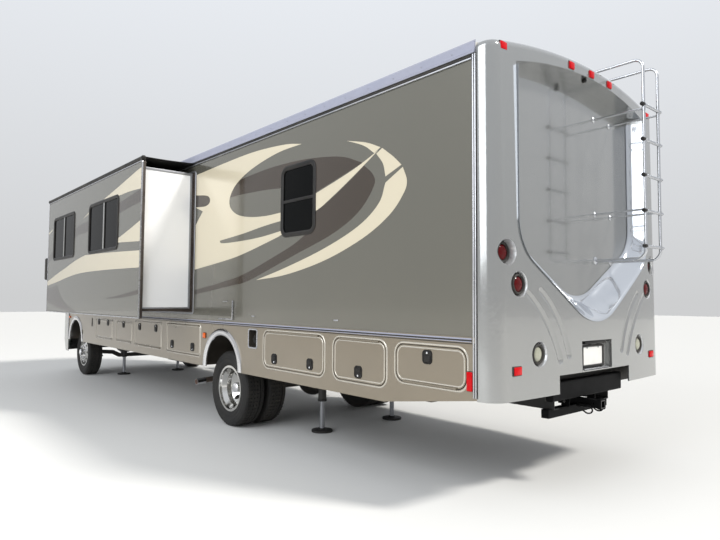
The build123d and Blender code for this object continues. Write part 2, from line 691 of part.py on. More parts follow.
def front_wheel():
    """Left front wheel: rim, a disc that bulges outwards, and the hub with its cap."""
    x = FRONT_TYRE_X
    face_x = x + 112
    wheel = turned(BARREL_SECTION, x) + dish(x, 50, 112)
    wheel += rod((x - 40, 0, 0), (face_x, 0, 0), HUB_R)
    wheel += rod((face_x - 1, 0, 0), (face_x + 45, 0, 0), 58)
    wheel -= rod((x - 80, 0, 0), (x + 60, 0, 0), SPINDLE_R + RUNNING_FIT)
    return Pos(0, WHEEL_STATIONS[0], TYRE_R) * wheel


def rear_wheels():
    """Left twin wheels: two rims whose dished discs meet, and the long hub through them."""
    outer_x = REAR_OUTER_TYRE_X
    inner_x = outer_x - DUAL_SPACING
    face = DUAL_SPACING / 2
    wheel = turned(BARREL_SECTION, outer_x) + dish(outer_x, -45, -face)
    wheel += turned(BARREL_SECTION, inner_x) + dish(inner_x, 62, face)
    wheel += rod((inner_x - 40, 0, 0), (outer_x - face + 70, 0, 0), HUB_R)
    wheel += rod((outer_x - face + 69, 0, 0), (outer_x + 25, 0, 0), 58)
    wheel -= rod((inner_x - 70, 0, 0), (outer_x - 80, 0, 0), SPINDLE_R + RUNNING_FIT)
    return Pos(0, REAR_AXLE_Y, TYRE_R) * wheel


def rear_tyres():
    solids = [*tyre(REAR_OUTER_TYRE_X, REAR_AXLE_Y).solids(),
              *tyre(REAR_OUTER_TYRE_X - DUAL_SPACING, REAR_AXLE_Y).solids()]
    return Compound(solids)


# Front axle: a drop-centre beam with a kingpin eye at each end, and the steering knuckles
EYE_R = 45.0
EYE_H = 110.0


def front_axle():
    y = WHEEL_STATIONS[0]
    z = TYRE_R
    beam = Polyline((-KINGPIN_X, z + 30), (-600, z + 5), (-470, z - 60), (470, z - 60), (600, z + 5),
                    (KINGPIN_X, z + 30), (KINGPIN_X, z - 40), (620, z - 65), (500, z - 130),
                    (-500, z - 130), (-620, z - 65), (-KINGPIN_X, z - 40), close=True)
    axle = along_y(make_face(beam), y - 45, y + 45)
    for side in (-1, 1):
        x = side * KINGPIN_X
        axle += rod((x, y, z - EYE_H / 2), (x, y, z + EYE_H / 2), EYE_R)
        axle -= rod((x, y, z - EYE_H), (x, y, z + EYE_H), KINGPIN_R + RUNNING_FIT)
        axle += block(side * 365, side * 435, y - 60, y + 60, z - 61, z - 40)
    return axle


def knuckle():
    """Left steering knuckle: a fork over the axle's eye, its kingpin, spindle and arm."""
    y = WHEEL_STATIONS[0]
    z = TYRE_R
    x = KINGPIN_X
    gap = 1.0
    body = rod((x, y, z - EYE_H / 2 - 35), (x, y, z + EYE_H / 2 + 35), KINGPIN_R)
    for side in (-1, 1):
        foot = z + side * (EYE_H / 2 + gap)
        body += rod((x, y, foot), (x, y, foot + side * 30), 42)
        body += block(x, x + 75, y - 38, y + 38, foot, foot + side * 30)
    body += block(x + 52, x + 78, y - 60, y + 60, z - EYE_H / 2 - 31, z + EYE_H / 2 + 31)
    body += rod((x + 70, y, z), (FRONT_TYRE_X + 55, y, z), SPINDLE_R)
    body += block(x - 30, x + 60, y + 38, y + 190, z - EYE_H / 2 - 31, z - EYE_H / 2 - 6)
    return body


# Rear axle: a banjo housing, its tubes and spindles
def rear_axle():
    y = REAR_AXLE_Y
    z = TYRE_R
    inner_x = REAR_OUTER_TYRE_X - DUAL_SPACING
    axle = rod((-inner_x + 80, y, z), (inner_x - 80, y, z), 62)
    axle += Pos(0, y, z) * Sphere(190)
    axle += rod((0, y - PINION_L, z), (0, y, z), 75)
    axle += rod((-REAR_OUTER_TYRE_X + 90, y, z), (REAR_OUTER_TYRE_X - 90, y, z), SPINDLE_R)
    for side in (-1, 1):
        axle += block(side * 465, side * 545, y - 70, y + 70, z + 40, z + 70)
    return axle


# Leaf springs: bowed packs under the rails, with hangers at both ends
# Columns: X of the spring, station, seat height, half length
SPRING_ROWS = (
    (400.0, WHEEL_STATIONS[0], TYRE_R - 40.0, 620.0),
    (505.0, WHEEL_STATIONS[1], TYRE_R + 70.0, 720.0),
)


def leaf_springs():
    solids = []
    for x, y, seat_z, half in SPRING_ROWS:
        end_z = RAIL_BOTTOM - 40
        low = ThreePointArc((y - half, end_z - 20), (y, seat_z), (y + half, end_z - 20))
        high = ThreePointArc((y + half, end_z + 10), (y, seat_z + 60), (y - half, end_z + 10))
        pack = make_face([low, Line((y + half, end_z - 20), (y + half, end_z + 10)), high,
                          Line((y - half, end_z + 10), (y - half, end_z - 20))])
        spring = along_x(pack, x - 35, x + 35)
        spring += block(x - 45, x + 45, y - 70, y + 70, seat_z, seat_z + 75)
        spring -= block(x - 46, x + 46, y - 71, y + 71, seat_z - 200, seat_z)
        for end in (-1, 1):
            y_end = y + end * half
            spring += block(x - 40, x + 40, y_end - 35, y_end + 35, end_z - 30, RAIL_BOTTOM)
        if x > RAIL_X:
            for end in (-1, 1):
                y_end = y + end * half
                spring += block(RAIL_X, x + 40, y_end - 35, y_end + 35, end_z, RAIL_BOTTOM + 80)
        solids += spring.solids() + to_right(spring).solids()
    return Compound(solids)


# Engine, gearbox and drive shaft
ENGINE = (-300.0, 300.0, FRONT_Y - 250.0, FRONT_Y + 380.0, 560.0, 1120.0)
GEARBOX_Y = -8650.0
GEARBOX_Z = 615.0
SHAFT_JOINT = (0.0, -6300.0, 575.0)
SHAFT_R = 45.0
YOKE_L = 80.0
PINION_L = 300.0


def engine():
    motor = fillet(block(*ENGINE).edges().filter_by(Axis.Z), 60)
    bell = Plane.XZ.offset(-ENGINE[3]) * Pos(0, 760) * RectangleRounded(420, 380, 80)
    tail = Plane.XZ.offset(-GEARBOX_Y) * Pos(0, GEARBOX_Z + 25) * RectangleRounded(240, 220, 60)
    return motor + loft([bell, tail], ruled=True)


def drive_shaft():
    front = (0, GEARBOX_Y + YOKE_L, GEARBOX_Z)
    rear = (0, REAR_AXLE_Y - PINION_L - YOKE_L, TYRE_R)
    shaft = rod((0, GEARBOX_Y, GEARBOX_Z), front, SHAFT_R + 10)
    shaft += rod(front, SHAFT_JOINT, SHAFT_R) + rod(SHAFT_JOINT, rear, SHAFT_R)
    shaft += rod(rear, (0, REAR_AXLE_Y - PINION_L, TYRE_R), SHAFT_R + 10)
    return shaft + Pos(*SHAFT_JOINT) * Sphere(SHAFT_R + 15)


def fuel_tank():
    reach = RAIL_X - RAIL_FLANGE - SEAT_GAP
    tank = block(-reach, reach, -2600, -1300, 480, 790)
    return fillet(tank.edges().filter_by(Axis.Y), 60)


# Exhaust: pipe, silencer and the tail pipe that ends ahead of the left rear wheel
def exhaust():
    x = 310.0
    z = 500.0
    start_y = ENGINE[3]
    lead = FilletPolyline((250, start_y, z + 100), (250, start_y + 150, z + 100),
                          (x, start_y + 420, z + 10), (x, -8300, z), (x, -7300, z), radius=60)
    pipe = sweep(Plane(lead @ 0, z_dir=lead % 0) * Circle(32), path=lead)
    pipe += rod((x, -7301, z), (x, -6300, z), 105)
    tail = FilletPolyline((x, -6302, z), (x, -4750, z), (620, -4480, z - 50), (1200, -4430, 410), radius=90)
    return pipe + sweep(Plane(tail @ 0, z_dir=tail % 0) * Circle(34), path=tail)


# Levelling jacks: four upright cylinders on the rails, with their rams down on the ground
def levelling_jacks():
    solids = []
    for y in JACK_STATIONS:
        jack = rod((JACK_X, y, 330), (JACK_X, y, 860), 45)
        jack += block(RAIL_X, JACK_X, y - 70, y + 70, 640, 840)
        jack += rod((JACK_X, y, 18), (JACK_X, y, 340), 27)
        jack += rod((JACK_X, y, 0), (JACK_X, y, 20), 115)
        solids += jack.solids() + to_right(jack).solids()
    return Compound(solids)


# Ladder on the rear cap: two bent tubes, their rungs and stand-offs
LADDER_X = (-620.0, -340.0)
LADDER_Y = 440.0
LADDER_R = 12.5
RUNG_HEIGHTS = (1900.0, 2190.0, 2480.0, 2775.0, 3065.0)
LADDER_TOP_Z = ROOF_CROWN_Z + 75.0
RECESS_BACK_Y = REAR_ROWS[0][1] - RECESS_DEPTH


def ladder():
    frame = Part()
    for x in LADDER_X:
        route = FilletPolyline((x, RECESS_BACK_Y, 1800), (x, LADDER_Y, 1800), (x, LADDER_Y, LADDER_TOP_Z),
                               (x, -220, LADDER_TOP_Z), (x, -220, roof_z(abs(x) - LADDER_R)), radius=75)
        frame += sweep(Plane(route @ 0, z_dir=route % 0) * Circle(LADDER_R), path=route)
        for z in (2200.0, 3030.0):
            frame += rod((x, RECESS_BACK_Y, z), (x, LADDER_Y, z), 9)
    for z in RUNG_HEIGHTS:
        frame += rod((LADDER_X[0] - 45, LADDER_Y, z), (LADDER_X[1] + 30, LADDER_Y, z), LADDER_R)
    return frame


# Round lamps in the rear cap's pods
def rear_lamps():
    lamps = []
    for x, z in LAMP_PODS:
        y = pod_face(x)
        lamp = rod((x, y - POD_DEPTH, z), (x, y - 12, z), LAMP_R)
        lamps += lamp.solids() + to_right(lamp).solids()
    return Compound(lamps)


# Mirrors: an arm from the cap's side and a tall head
def mirrors():
    y = FRONT_Y - 340
    head_x = HALF_WIDTH + 265
    arm = rod((HALF_WIDTH - 30, FRONT_Y - 120, 2050), (head_x, y, 2050), 16)
    arm -= cap_body(FRONT_ROWS, FRONT_Y, 0)
    head = fillet(block(head_x - 110, head_x + 110, y - 50, y + 40, 1800, 2230).edges(), 30)
    return both_sides(arm + head)


# Roof units: two air conditioners and two vents
def roof_units():
    units = []
    for y in (-7600.0, -2900.0):
        base = roof_z(370) - 2
        cover = block(-370, 370, y - 520, y + 520, ROOF_CROWN_Z - 40, ROOF_CROWN_Z + 300)
        cover = fillet(cover.edges().filter_by(Axis.Z), 120)
        cover = fillet(cover.faces().sort_by(Axis.Z)[-1].edges(), 70)
        units += (cover - roof()).solids()
    for y in (-5600.0, -1500.0):
        vent = block(-230, 230, y - 230, y + 230, ROOF_CROWN_Z - 40, ROOF_CROWN_Z + 110)
        vent = fillet(vent.faces().sort_by(Axis.Z)[-1].edges(), 40)
        units += (vent - roof()).solids()
    units = [u for u in units if u.bounding_box().max.Z > ROOF_CROWN_Z]
    return Compound(units)


# Patio awning on the passenger's side: roller, and arms folded against the wall
def patio_awning():
    x = -HALF_WIDTH - 75
    z = WALL_TOP - 100
    roller = rod((x, -7700, z), (x, -2500, z), 48)
    for y in (-7700.0, -2560.0):
        roller += block(-HALF_WIDTH - 60, -HALF_WIDTH, y, y + 60, 1500, z + 20)
        roller += block(x - 30, -HALF_WIDTH, y, y + 60, z - 40, z + 30)
    return roller


# Cab: dashboard, steering wheel and the two seats
SEAT_X = 560.0


def dashboard():
    y = FRONT_Y
    outline = Polyline((y - 330, FLOOR_TOP), (y - 330, 1480), (y - 220, 1520), (y + 50, 1490),
                       (y + 100, 1400), (y, 1330), (y - 60, FLOOR_TOP), close=True)
    shelf = along_x(make_face(outline), -1000, 1000)
    arch_z = FLOOR_TOP + COVER_H + 1
    return shelf - block(-COVER_X - 1, COVER_X + 1, y - 340, y + 200, FLOOR_TOP - 1, arch_z)


def steering_wheel():
    tilt = Plane(origin=(SEAT_X, FRONT_Y + 180, 1560), x_dir=(1, 0, 0), z_dir=(0, 0.62, 0.78))
    wheel = tilt * Torus(215, 16)
    wheel += tilt * Pos(0, 0, -10) * Cylinder(55, 40)
    wheel += tilt * Box(430, 40, 14)
    hub = tilt.origin
    column = rod((SEAT_X, FRONT_Y + 40, 1440), (hub.X, hub.Y, hub.Z), 25)
    return wheel + (column - dashboard())


def cab_seats():
    y = FRONT_Y + 750
    x = SEAT_X
    z = FLOOR_TOP
    seat = block(x - 180, x + 180, y - 180, y + 180, z, z + 260)
    cushion = fillet(block(x - 270, x + 270, y - 280, y + 260, z + 250, z + 400).edges(), 50)
    back = fillet(block(x - 260, x + 260, y + 180, y + 320, z + 330, z + 1060).edges(), 50)
    return both_sides(seat + cushion + back)


# Fixed furniture: galley on the passenger's side, bedroom wall and bed
def furniture():
    galley = block(-1240, -640, -7500, -5700, FLOOR_TOP, FLOOR_TOP + 910)
    fridge = block(-1240, -560, -5690, -4700, FLOOR_TOP, FLOOR_TOP + 1800)
    wall = block(-200, 1240, -4100, -4050, FLOOR_TOP, WALL_TOP - 30)
    bed = block(-760, 760, -2100, -250, FLOOR_TOP, FLOOR_TOP + 560)
    bed = fillet(bed.edges().group_by(Axis.Z)[-1], 60)
    return Compound([*galley.solids(), *fridge.solids(), *wall.solids(), *bed.solids()])


# Slide-out room: floor, roof, two ends and the outer wall with its lapping edges
def slide_room():
    outer_x = HALF_WIDTH + SLIDE_OUT
    inner_x = HALF_WIDTH - WALL_T - SLIDE_TAIL
    t = SLIDE_WALL_T
    room = block(inner_x, outer_x - t, SLIDE_FRONT, SLIDE_REAR, SLIDE_FLOOR_Z, SLIDE_TOP)
    room -= block(inner_x - 1, outer_x, SLIDE_FRONT + t, SLIDE_REAR - t, SLIDE_FLOOR_Z + t, SLIDE_TOP - t)
    fascia = rounded(SLIDE_FRONT - FASCIA_LAP, SLIDE_REAR + FASCIA_LAP, FASCIA_LOW_Z,
                     SLIDE_TOP + FASCIA_LAP, 20)
    for y0, y1, z0, z1, radius in SLIDE_WINDOWS:
        fascia -= rounded(y0, y1, z0, z1, radius)
    return room + along_x(fascia, outer_x - t, outer_x)


def slide_windows():
    outer_x = HALF_WIDTH + SLIDE_OUT
    panes = []
    for y0, y1, z0, z1, radius in SLIDE_WINDOWS:
        pane = rounded(y0 + SEAT_GAP, y1 - SEAT_GAP, z0 + SEAT_GAP, z1 - SEAT_GAP, radius)
        panes += along_x(pane, outer_x - 14, outer_x - 14 + GLASS_T).solids()
    return Compound(panes)


def sofa():
    x = HALF_WIDTH + SLIDE_OUT - SLIDE_WALL_T - 10
    z = SLIDE_FLOOR_Z + SLIDE_WALL_T
    seat = block(x - 620, x, -6500, -4700, z, z + 420)
    back = block(x - 200, x, -6500, -4700, z + 400, z + 780)
    couch = fillet((seat + back).edges().filter_by(Axis.Y), 50)
    table = block(x - 560, x, -7900, -7000, z + 680, z + 715)
    table += block(x - 320, x - 240, -7500, -7400, z, z + 690)
    return Compound([*couch.solids(), *table.solids()])


# Awning over the slide-out room: roller on the room, fabric from the wall to the roller
ROLLER_R = 28.0
ROLLER_X = HALF_WIDTH + SLIDE_OUT - 14.0
ROLLER_Z = SLIDE_TOP + FASCIA_LAP + ROLLER_R + SEAT_GAP


def topper_roller():
    x = ROLLER_X
    y0 = SLIDE_FRONT - FASCIA_LAP
    y1 = SLIDE_REAR + FASCIA_LAP
    roller = rod((x, y0, ROLLER_Z), (x, y1, ROLLER_Z), ROLLER_R)
    for y in (y0, y1 - 30):
        roller += block(x - 28, x + 14, y, y + 30, SLIDE_TOP + FASCIA_LAP, ROLLER_Z)
    return roller


def topper_fabric():
    top_z = ROLLER_Z + ROLLER_R + 0.5
    sheet = Polyline((HALF_WIDTH, WALL_TOP - 22), (ROLLER_X, top_z + 4), (ROLLER_X, top_z),
                     (HALF_WIDTH, WALL_TOP - 30), close=True)
    return along_y(make_face(sheet), SLIDE_FRONT, SLIDE_REAR)


# Entry door with its window opening, on a round hinge along its front edge
def entry_door():
    y0 = ENTRY_FRONT + DOOR_GAP
    y1 = ENTRY_REAR - DOOR_GAP
    outline = rounded(y0, y1, ENTRY_LOW_Z + DOOR_GAP, ENTRY_TOP - DOOR_GAP, 60)
    outline -= rounded(y0 + 130, y1 - 130, 2020, 2680, 70)
    door = along_x(outline, HALF_WIDTH - ENTRY_DOOR_T, HALF_WIDTH)
    x = HALF_WIDTH + HINGE_PROUD
    door += rod((x, y0, ENTRY_LOW_Z + 100), (x, y0, ENTRY_TOP - 100), HINGE_R)
    return to_right(door)


# Pull-out step under the entry door: a tread on two side arms that slide below the stairwell
def entry_step():
    y0 = ENTRY_FRONT + 60
    y1 = ENTRY_REAR - 60
    z_rail = ENTRY_LOW_Z - SKIRT_T - SEAT_GAP
    tread_x = -HALF_WIDTH - 30
    step = fillet(block(tread_x - 250, tread_x, y0, y1, 400, 430).edges().filter_by(Axis.Z), 30)
    for y in (y0, y1 - 12):
        arm = Polyline((tread_x - 120, 401), (tread_x, 401), (-760, z_rail - 30), (-760, z_rail),
                       (-1130, z_rail), (-1250, 620), (tread_x - 120, 430), close=True)
        step += Pos(0, y + 12, 0) * extrude(Plane.XZ * make_face(arm), amount=12)
    return step


# Every piece, and the joints' places as they are printed below
parts["chassis_frame"] = chassis_frame()
parts["floor"] = floor()
parts["left_wall"] = side_wall("left")
parts["right_wall"] = side_wall("right")
parts["left_skirt"] = side_skirt("left")
parts["right_skirt"] = side_skirt("right")
parts["roof"] = roof()
parts["roof_rails"] = roof_rails()
parts["rear_cap"] = rear_cap()
parts["front_cap"] = front_cap()
parts["windshield"] = windshield()
parts["window_glass"] = window_glass()
parts["storage_bays"] = storage_bays()
parts["front_axle"] = front_axle()
parts["rear_axle"] = rear_axle()
parts["leaf_springs"] = leaf_springs()
parts["engine"] = engine()
parts["drive_shaft"] = drive_shaft()
parts["fuel_tank"] = fuel_tank()
parts["exhaust"] = exhaust()
parts["levelling_jacks"] = levelling_jacks()
parts["ladder"] = ladder()
parts["hitch_receiver"] = hitch_receiver()
parts["rear_lamps"] = rear_lamps()
parts["headlamps"] = headlamps()
parts["grille"] = grille()
parts["mirrors"] = mirrors()
parts["roof_units"] = roof_units()
parts["patio_awning"] = patio_awning()
parts["dashboard"] = dashboard()
parts["steering_wheel"] = steering_wheel()
parts["cab_seats"] = cab_seats()
parts["furniture"] = furniture()
parts["topper_fabric"] = topper_fabric()
parts["slide_room"] = slide_room()
parts["slide_windows"] = slide_windows()
parts["topper_roller"] = topper_roller()
parts["sofa"] = sofa()
parts["front_left_wheel"] = front_wheel()
parts["front_left_tyre"] = tyre(FRONT_TYRE_X, WHEEL_STATIONS[0])
parts["rear_left_wheels"] = rear_wheels()
parts["rear_left_tyres"] = rear_tyres()
parts["left_knuckle"] = knuckle()
for name in list(parts):
    if any(word in name for word in ("left_wheel", "left_tyre", "left_knuckle")):
        parts[name.replace("left", "right")] = to_right(parts[name])
parts["entry_door"] = entry_door()
parts["entry_step"] = entry_step()

joint_places = {
    "front_left_axle": (FRONT_TYRE_X, WHEEL_STATIONS[0], TYRE_R),
    "front_right_axle": (-FRONT_TYRE_X, WHEEL_STATIONS[0], TYRE_R),
    "rear_left_axle": (REAR_OUTER_TYRE_X, WHEEL_STATIONS[1], TYRE_R),
    "rear_right_axle": (-REAR_OUTER_TYRE_X, WHEEL_STATIONS[1], TYRE_R),
    "left_kingpin": (KINGPIN_X, WHEEL_STATIONS[0], TYRE_R),
    "right_kingpin": (-KINGPIN_X, WHEEL_STATIONS[0], TYRE_R),
    "entry_hinge": (-HALF_WIDTH - HINGE_PROUD, ENTRY_FRONT + DOOR_GAP, 1800.0),
    "receiver_mouth": (0.0, RECEIVER_MOUTH_Y, RECEIVER_Z),
    "hitch_pin": (0.0, HITCH_PIN_Y, RECEIVER_Z),
}
for side in ("left", "right"):
    for number, (y0, y1, z0, z1, radius, hinge, floor_z) in storage_doors(side):
        door = storage_door(y0, y1, z0, z1, radius, hinge)
        name = f"{side}_storage_door_{number}"
        parts[name] = door if side == "left" else to_right(door)
        hinge_x = HALF_WIDTH + HINGE_PROUD
        joint_places[name + "_" + hinge] = (hinge_x if side == "left" else -hinge_x, (y0 + y1) / 2,
                                            storage_hinge_z(z0, z1, hinge))

# The origin goes to the middle of the base of everything
boxes = [part.bounding_box() for part in parts.values()]
middle_x = (min(b.min.X for b in boxes) + max(b.max.X for b in boxes)) / 2
middle_y = (min(b.min.Y for b in boxes) + max(b.max.Y for b in boxes)) / 2
base_z = min(b.min.Z for b in boxes)
to_origin = Pos(-middle_x, -middle_y, -base_z)

os.makedirs("parts", exist_ok=True)
for name, part in parts.items():
    export_step(to_origin * part, f"parts/{name}.step")

print(f"moved by {-middle_x:.3f} {-middle_y:.3f} {-base_z:.3f} mm")
for name, (x, y, z) in joint_places.items():
    print(f"place {name} {x - middle_x:.3f} {y - middle_y:.3f} {z - base_z:.3f}")
print(f"slide travel {SLIDE_OUT - SLIDE_WALL_T - SEAL_GAP:.1f}, step travel {STEP_TRAVEL:.1f}")
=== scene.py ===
import bmesh
import bpy
import math
from mathutils import Matrix, Vector
from mathutils.bvhtree import BVHTree


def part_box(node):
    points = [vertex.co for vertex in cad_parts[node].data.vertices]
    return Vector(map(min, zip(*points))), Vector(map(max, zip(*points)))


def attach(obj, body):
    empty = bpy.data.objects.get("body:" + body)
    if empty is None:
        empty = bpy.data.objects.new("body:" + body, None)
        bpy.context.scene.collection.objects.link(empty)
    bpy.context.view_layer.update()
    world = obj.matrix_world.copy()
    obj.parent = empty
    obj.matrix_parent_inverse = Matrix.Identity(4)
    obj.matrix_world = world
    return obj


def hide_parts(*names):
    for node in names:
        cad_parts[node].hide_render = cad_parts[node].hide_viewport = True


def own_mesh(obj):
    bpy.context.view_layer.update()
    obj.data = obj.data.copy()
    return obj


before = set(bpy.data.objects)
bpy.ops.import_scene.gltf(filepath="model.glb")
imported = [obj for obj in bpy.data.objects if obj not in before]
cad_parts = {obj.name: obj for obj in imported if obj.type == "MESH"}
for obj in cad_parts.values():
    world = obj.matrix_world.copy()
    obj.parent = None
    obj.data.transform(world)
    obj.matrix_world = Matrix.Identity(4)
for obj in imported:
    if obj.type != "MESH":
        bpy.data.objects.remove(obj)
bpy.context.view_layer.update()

# The coach's own places, in metres: x from its centre line towards the driver's side, y from the
# rear edge of its side walls (the front is at minus y), and z from the ground.
left_low, left_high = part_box("left_wall")
right_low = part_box("right_wall")[0]
to_frame = Matrix.Translation(((left_high.x + right_low.x) / 2, left_high.y, 0))
centre_x = to_frame.translation.x
wall_x = (left_high.x - right_low.x) / 2
wall_front = left_low.y - left_high.y
wall_top = left_high.z
scene = bpy.context.scene

# Camera: it stands on the road behind the driver's side corner, a little below the belt of the
# windows, and looks slightly up along the coach.
camera_at = (4.469, 2.448, 1.450)
camera_yaw = math.radians(40.988)
camera_pitch = math.radians(2.938)
camera_roll = math.radians(0.370)
camera = bpy.data.objects.new("camera", bpy.data.cameras.new("camera"))
camera.data.lens = 28.98
camera.data.sensor_width = 36.0
look = Vector((-math.sin(camera_yaw) * math.cos(camera_pitch), -math.cos(camera_yaw) * math.cos(camera_pitch),
               math.sin(camera_pitch)))
right_hand = look.cross(Vector((0, 0, 1))).normalized()
upward = right_hand.cross(look)
tilt_right = right_hand * math.cos(camera_roll) + upward * math.sin(camera_roll)
tilt_up = upward * math.cos(camera_roll) - right_hand * math.sin(camera_roll)
camera.matrix_world = (to_frame @ Matrix.Translation(camera_at)
                       @ Matrix((tilt_right, tilt_up, -look)).transposed().to_4x4())
scene.collection.objects.link(camera)
scene.camera = camera
scene.view_settings.view_transform = "Standard"


# Floor and light: a pale studio floor, high soft sun over the rear right corner, a broad fill on
# the driver's side, and a pale surround that the camera and the gloss of the paint both see.
def rgb(red, green, blue):
    """A colour given as it looks on screen, 0 to 255, in the linear numbers that shaders use."""
    return tuple((c / 255 / 12.92 if c < 11 else ((c / 255 + 0.055) / 1.055) ** 2.4) for c in (red, green, blue))


def nodes_of(material):
    """The node tree of a new material, with its shader node."""
    material.use_nodes = True
    return material.node_tree, material.node_tree.nodes["Principled BSDF"]


def add(tree, kind, settings=None, **links):
    """A new node with its settings, and its inputs set to values or joined to sockets."""
    node = tree.nodes.new(kind)
    for name, value in (settings or {}).items():
        setattr(node, name, value)
    for name, value in links.items():
        by_number = name[0] == "n" and name[1:].isdigit()
        socket = node.inputs[int(name[1:])] if by_number else node.inputs[name.replace("_", " ")]
        if isinstance(value, bpy.types.NodeSocket):
            tree.links.new(value, socket)
        else:
            socket.default_value = value
    return node


def maths(tree, operation, *values, **settings):
    """The result of a maths node on numbers or sockets."""
    return add(tree, "ShaderNodeMath", {"operation": operation, **settings},
               **{f"n{number}": value for number, value in enumerate(values)}).outputs[0]


def ranged(tree, value, low=0.0, high=1.0, to_low=0.0, to_high=1.0):
    """A value carried from one range to another."""
    return add(tree, "ShaderNodeMapRange", Value=value, From_Min=low, From_Max=high, To_Min=to_low,
               To_Max=to_high).outputs[0]


def blended(tree, share, first, second):
    """One colour mixed towards another by a share."""
    return add(tree, "ShaderNodeMix", {"data_type": "RGBA"}, n0=share, n6=first, n7=second).outputs[2]


def brightened(tree, value, colour):
    """A colour with its brightness scaled."""
    return add(tree, "ShaderNodeHueSaturation", Value=value, Color=colour).outputs[0]


def noise(tree, place, **values):
    return add(tree, "ShaderNodeTexNoise", Vector=place, **values).outputs["Fac"]


def split(tree, vector):
    """The X, Y and Z of a vector."""
    return add(tree, "ShaderNodeSeparateXYZ", Vector=vector).outputs


floor_reach = 60.0
floor_mesh = bpy.data.meshes.new("floor")
floor_mesh.from_pydata([(-floor_reach, -floor_reach, 0), (floor_reach, -floor_reach, 0),
                        (floor_reach, floor_reach, 0), (-floor_reach, floor_reach, 0)], [], [(0, 1, 2, 3)])
floor = bpy.data.objects.new("studio_floor", floor_mesh)
scene.collection.objects.link(floor)
floor_material = bpy.data.materials.new("studio_floor")
shader = nodes_of(floor_material)[1]
shader.inputs["Base Color"].default_value = (*rgb(226, 226, 224), 1)
shader.inputs["Roughness"].default_value = 0.7
floor_mesh.materials.append(floor_material)

world = bpy.data.worlds.new("studio")
scene.world = world
world.use_nodes = True
tree = world.node_tree
light_path = add(tree, "ShaderNodeLightPath").outputs
seen = maths(tree, "MAXIMUM", light_path["Is Camera Ray"], light_path["Is Transmission Ray"])
seen = maths(tree, "MAXIMUM", seen, light_path["Is Glossy Ray"])
direction = add(tree, "ShaderNodeTexCoord").outputs["Generated"]
sky = add(tree, "ShaderNodeValToRGB", Fac=split(tree, direction)["Z"])
for stop, colour, position in zip(sky.color_ramp.elements, (rgb(206, 207, 208), rgb(236, 240, 246)), (0.0, 0.55)):
    stop.color = (*colour, 1)
    stop.position = position
plain = add(tree, "ShaderNodeBackground", Color=(0.95, 0.97, 1.0, 1), Strength=0.62)
shown = add(tree, "ShaderNodeBackground", Color=sky.outputs["Color"], Strength=1.0)
mix = add(tree, "ShaderNodeMixShader", n0=seen, n1=plain.outputs[0], n2=shown.outputs[0])
tree.links.new(mix.outputs[0], tree.nodes["World Output"].inputs["Surface"])

sun = bpy.data.objects.new("sun", bpy.data.lights.new("sun", "SUN"))
sun.data.energy = 2.7
sun.data.angle = math.radians(9)
sun.data.color = (1.0, 0.97, 0.92)
sun.rotation_euler = Vector((-0.42, 0.72, 0.85)).to_track_quat("Z", "Y").to_euler()
scene.collection.objects.link(sun)
fill = bpy.data.objects.new("fill", bpy.data.lights.new("fill", "AREA"))
fill.data.energy = 900
fill.data.size = 9.0
fill.data.color = (0.93, 0.96, 1.0)
fill.location = to_frame @ Vector((11.0, -1.5, 6.5))
fill.rotation_euler = (fill.location - to_frame @ Vector((1.0, -4.0, 1.4))).to_track_quat("Z", "Y").to_euler()
scene.collection.objects.link(fill)


# Body shell: fibreglass side walls and moulded caps in metallic pewter under a clear coat, with a
# faint orange peel and a little road dust towards the bottom. The walls are cream board inside.
def surface_group(name, **inputs):
    """A shader group with its inputs, which are numbers or colours, and the piece's own coordinates."""
    group = bpy.data.node_groups.new(name, "ShaderNodeTree")
    for title, value in inputs.items():
        kind = "Float" if isinstance(value, float) else "Color"
        group.interface.new_socket(title, in_out="INPUT", socket_type="NodeSocket" + kind).default_value = value
    for title, kind in (("Colour", "Color"), ("Roughness", "Float"), ("Height", "Float")):
        group.interface.new_socket(title, in_out="OUTPUT", socket_type="NodeSocket" + kind)
    given = group.nodes.new("NodeGroupInput").outputs
    return group, given, add(group, "ShaderNodeTexCoord").outputs["Object"]


def end_group(group, colour, roughness, height):
    """Joins a group's results to its outputs."""
    result = group.nodes.new("NodeGroupOutput")
    for socket, value in zip(result.inputs, (colour, roughness, height)):
        group.links.new(value, socket)


dust_colour = (*rgb(176, 164, 146), 1)
flake_size = (0.0008, 0.0008, 0.0008)
sprayed, given, where = surface_group("sprayed_coat", Colour=(0.5, 0.5, 0.5, 1), Dust=0.3, Flake=0.1, Gloss=0.2)
grains = add(sprayed, "ShaderNodeVectorMath", {"operation": "SNAP"}, n0=where, n1=flake_size)
flakes = add(sprayed, "ShaderNodeTexWhiteNoise", {"noise_dimensions": "3D"}, Vector=grains.outputs[0])
sparkle = ranged(sprayed, flakes.outputs["Value"], to_low=-0.5, to_high=0.5)
bright = maths(sprayed, "ADD", maths(sprayed, "MULTIPLY", sparkle, given["Flake"]), 1.0)
low_down = ranged(sprayed, split(sprayed, where)["Z"], 2.2, 0.35)
settled = maths(sprayed, "MULTIPLY", low_down, noise(sprayed, where, Scale=1.3, Detail=3.0, Roughness=0.5))
dusty = maths(sprayed, "MULTIPLY", settled, given["Dust"], use_clamp=True)
end_group(sprayed, blended(sprayed, dusty, brightened(sprayed, bright, given["Colour"]), dust_colour),
          maths(sprayed, "MULTIPLY_ADD", dusty, 0.5, given["Gloss"]), noise(sprayed, where, Scale=90.0, Detail=1.0))


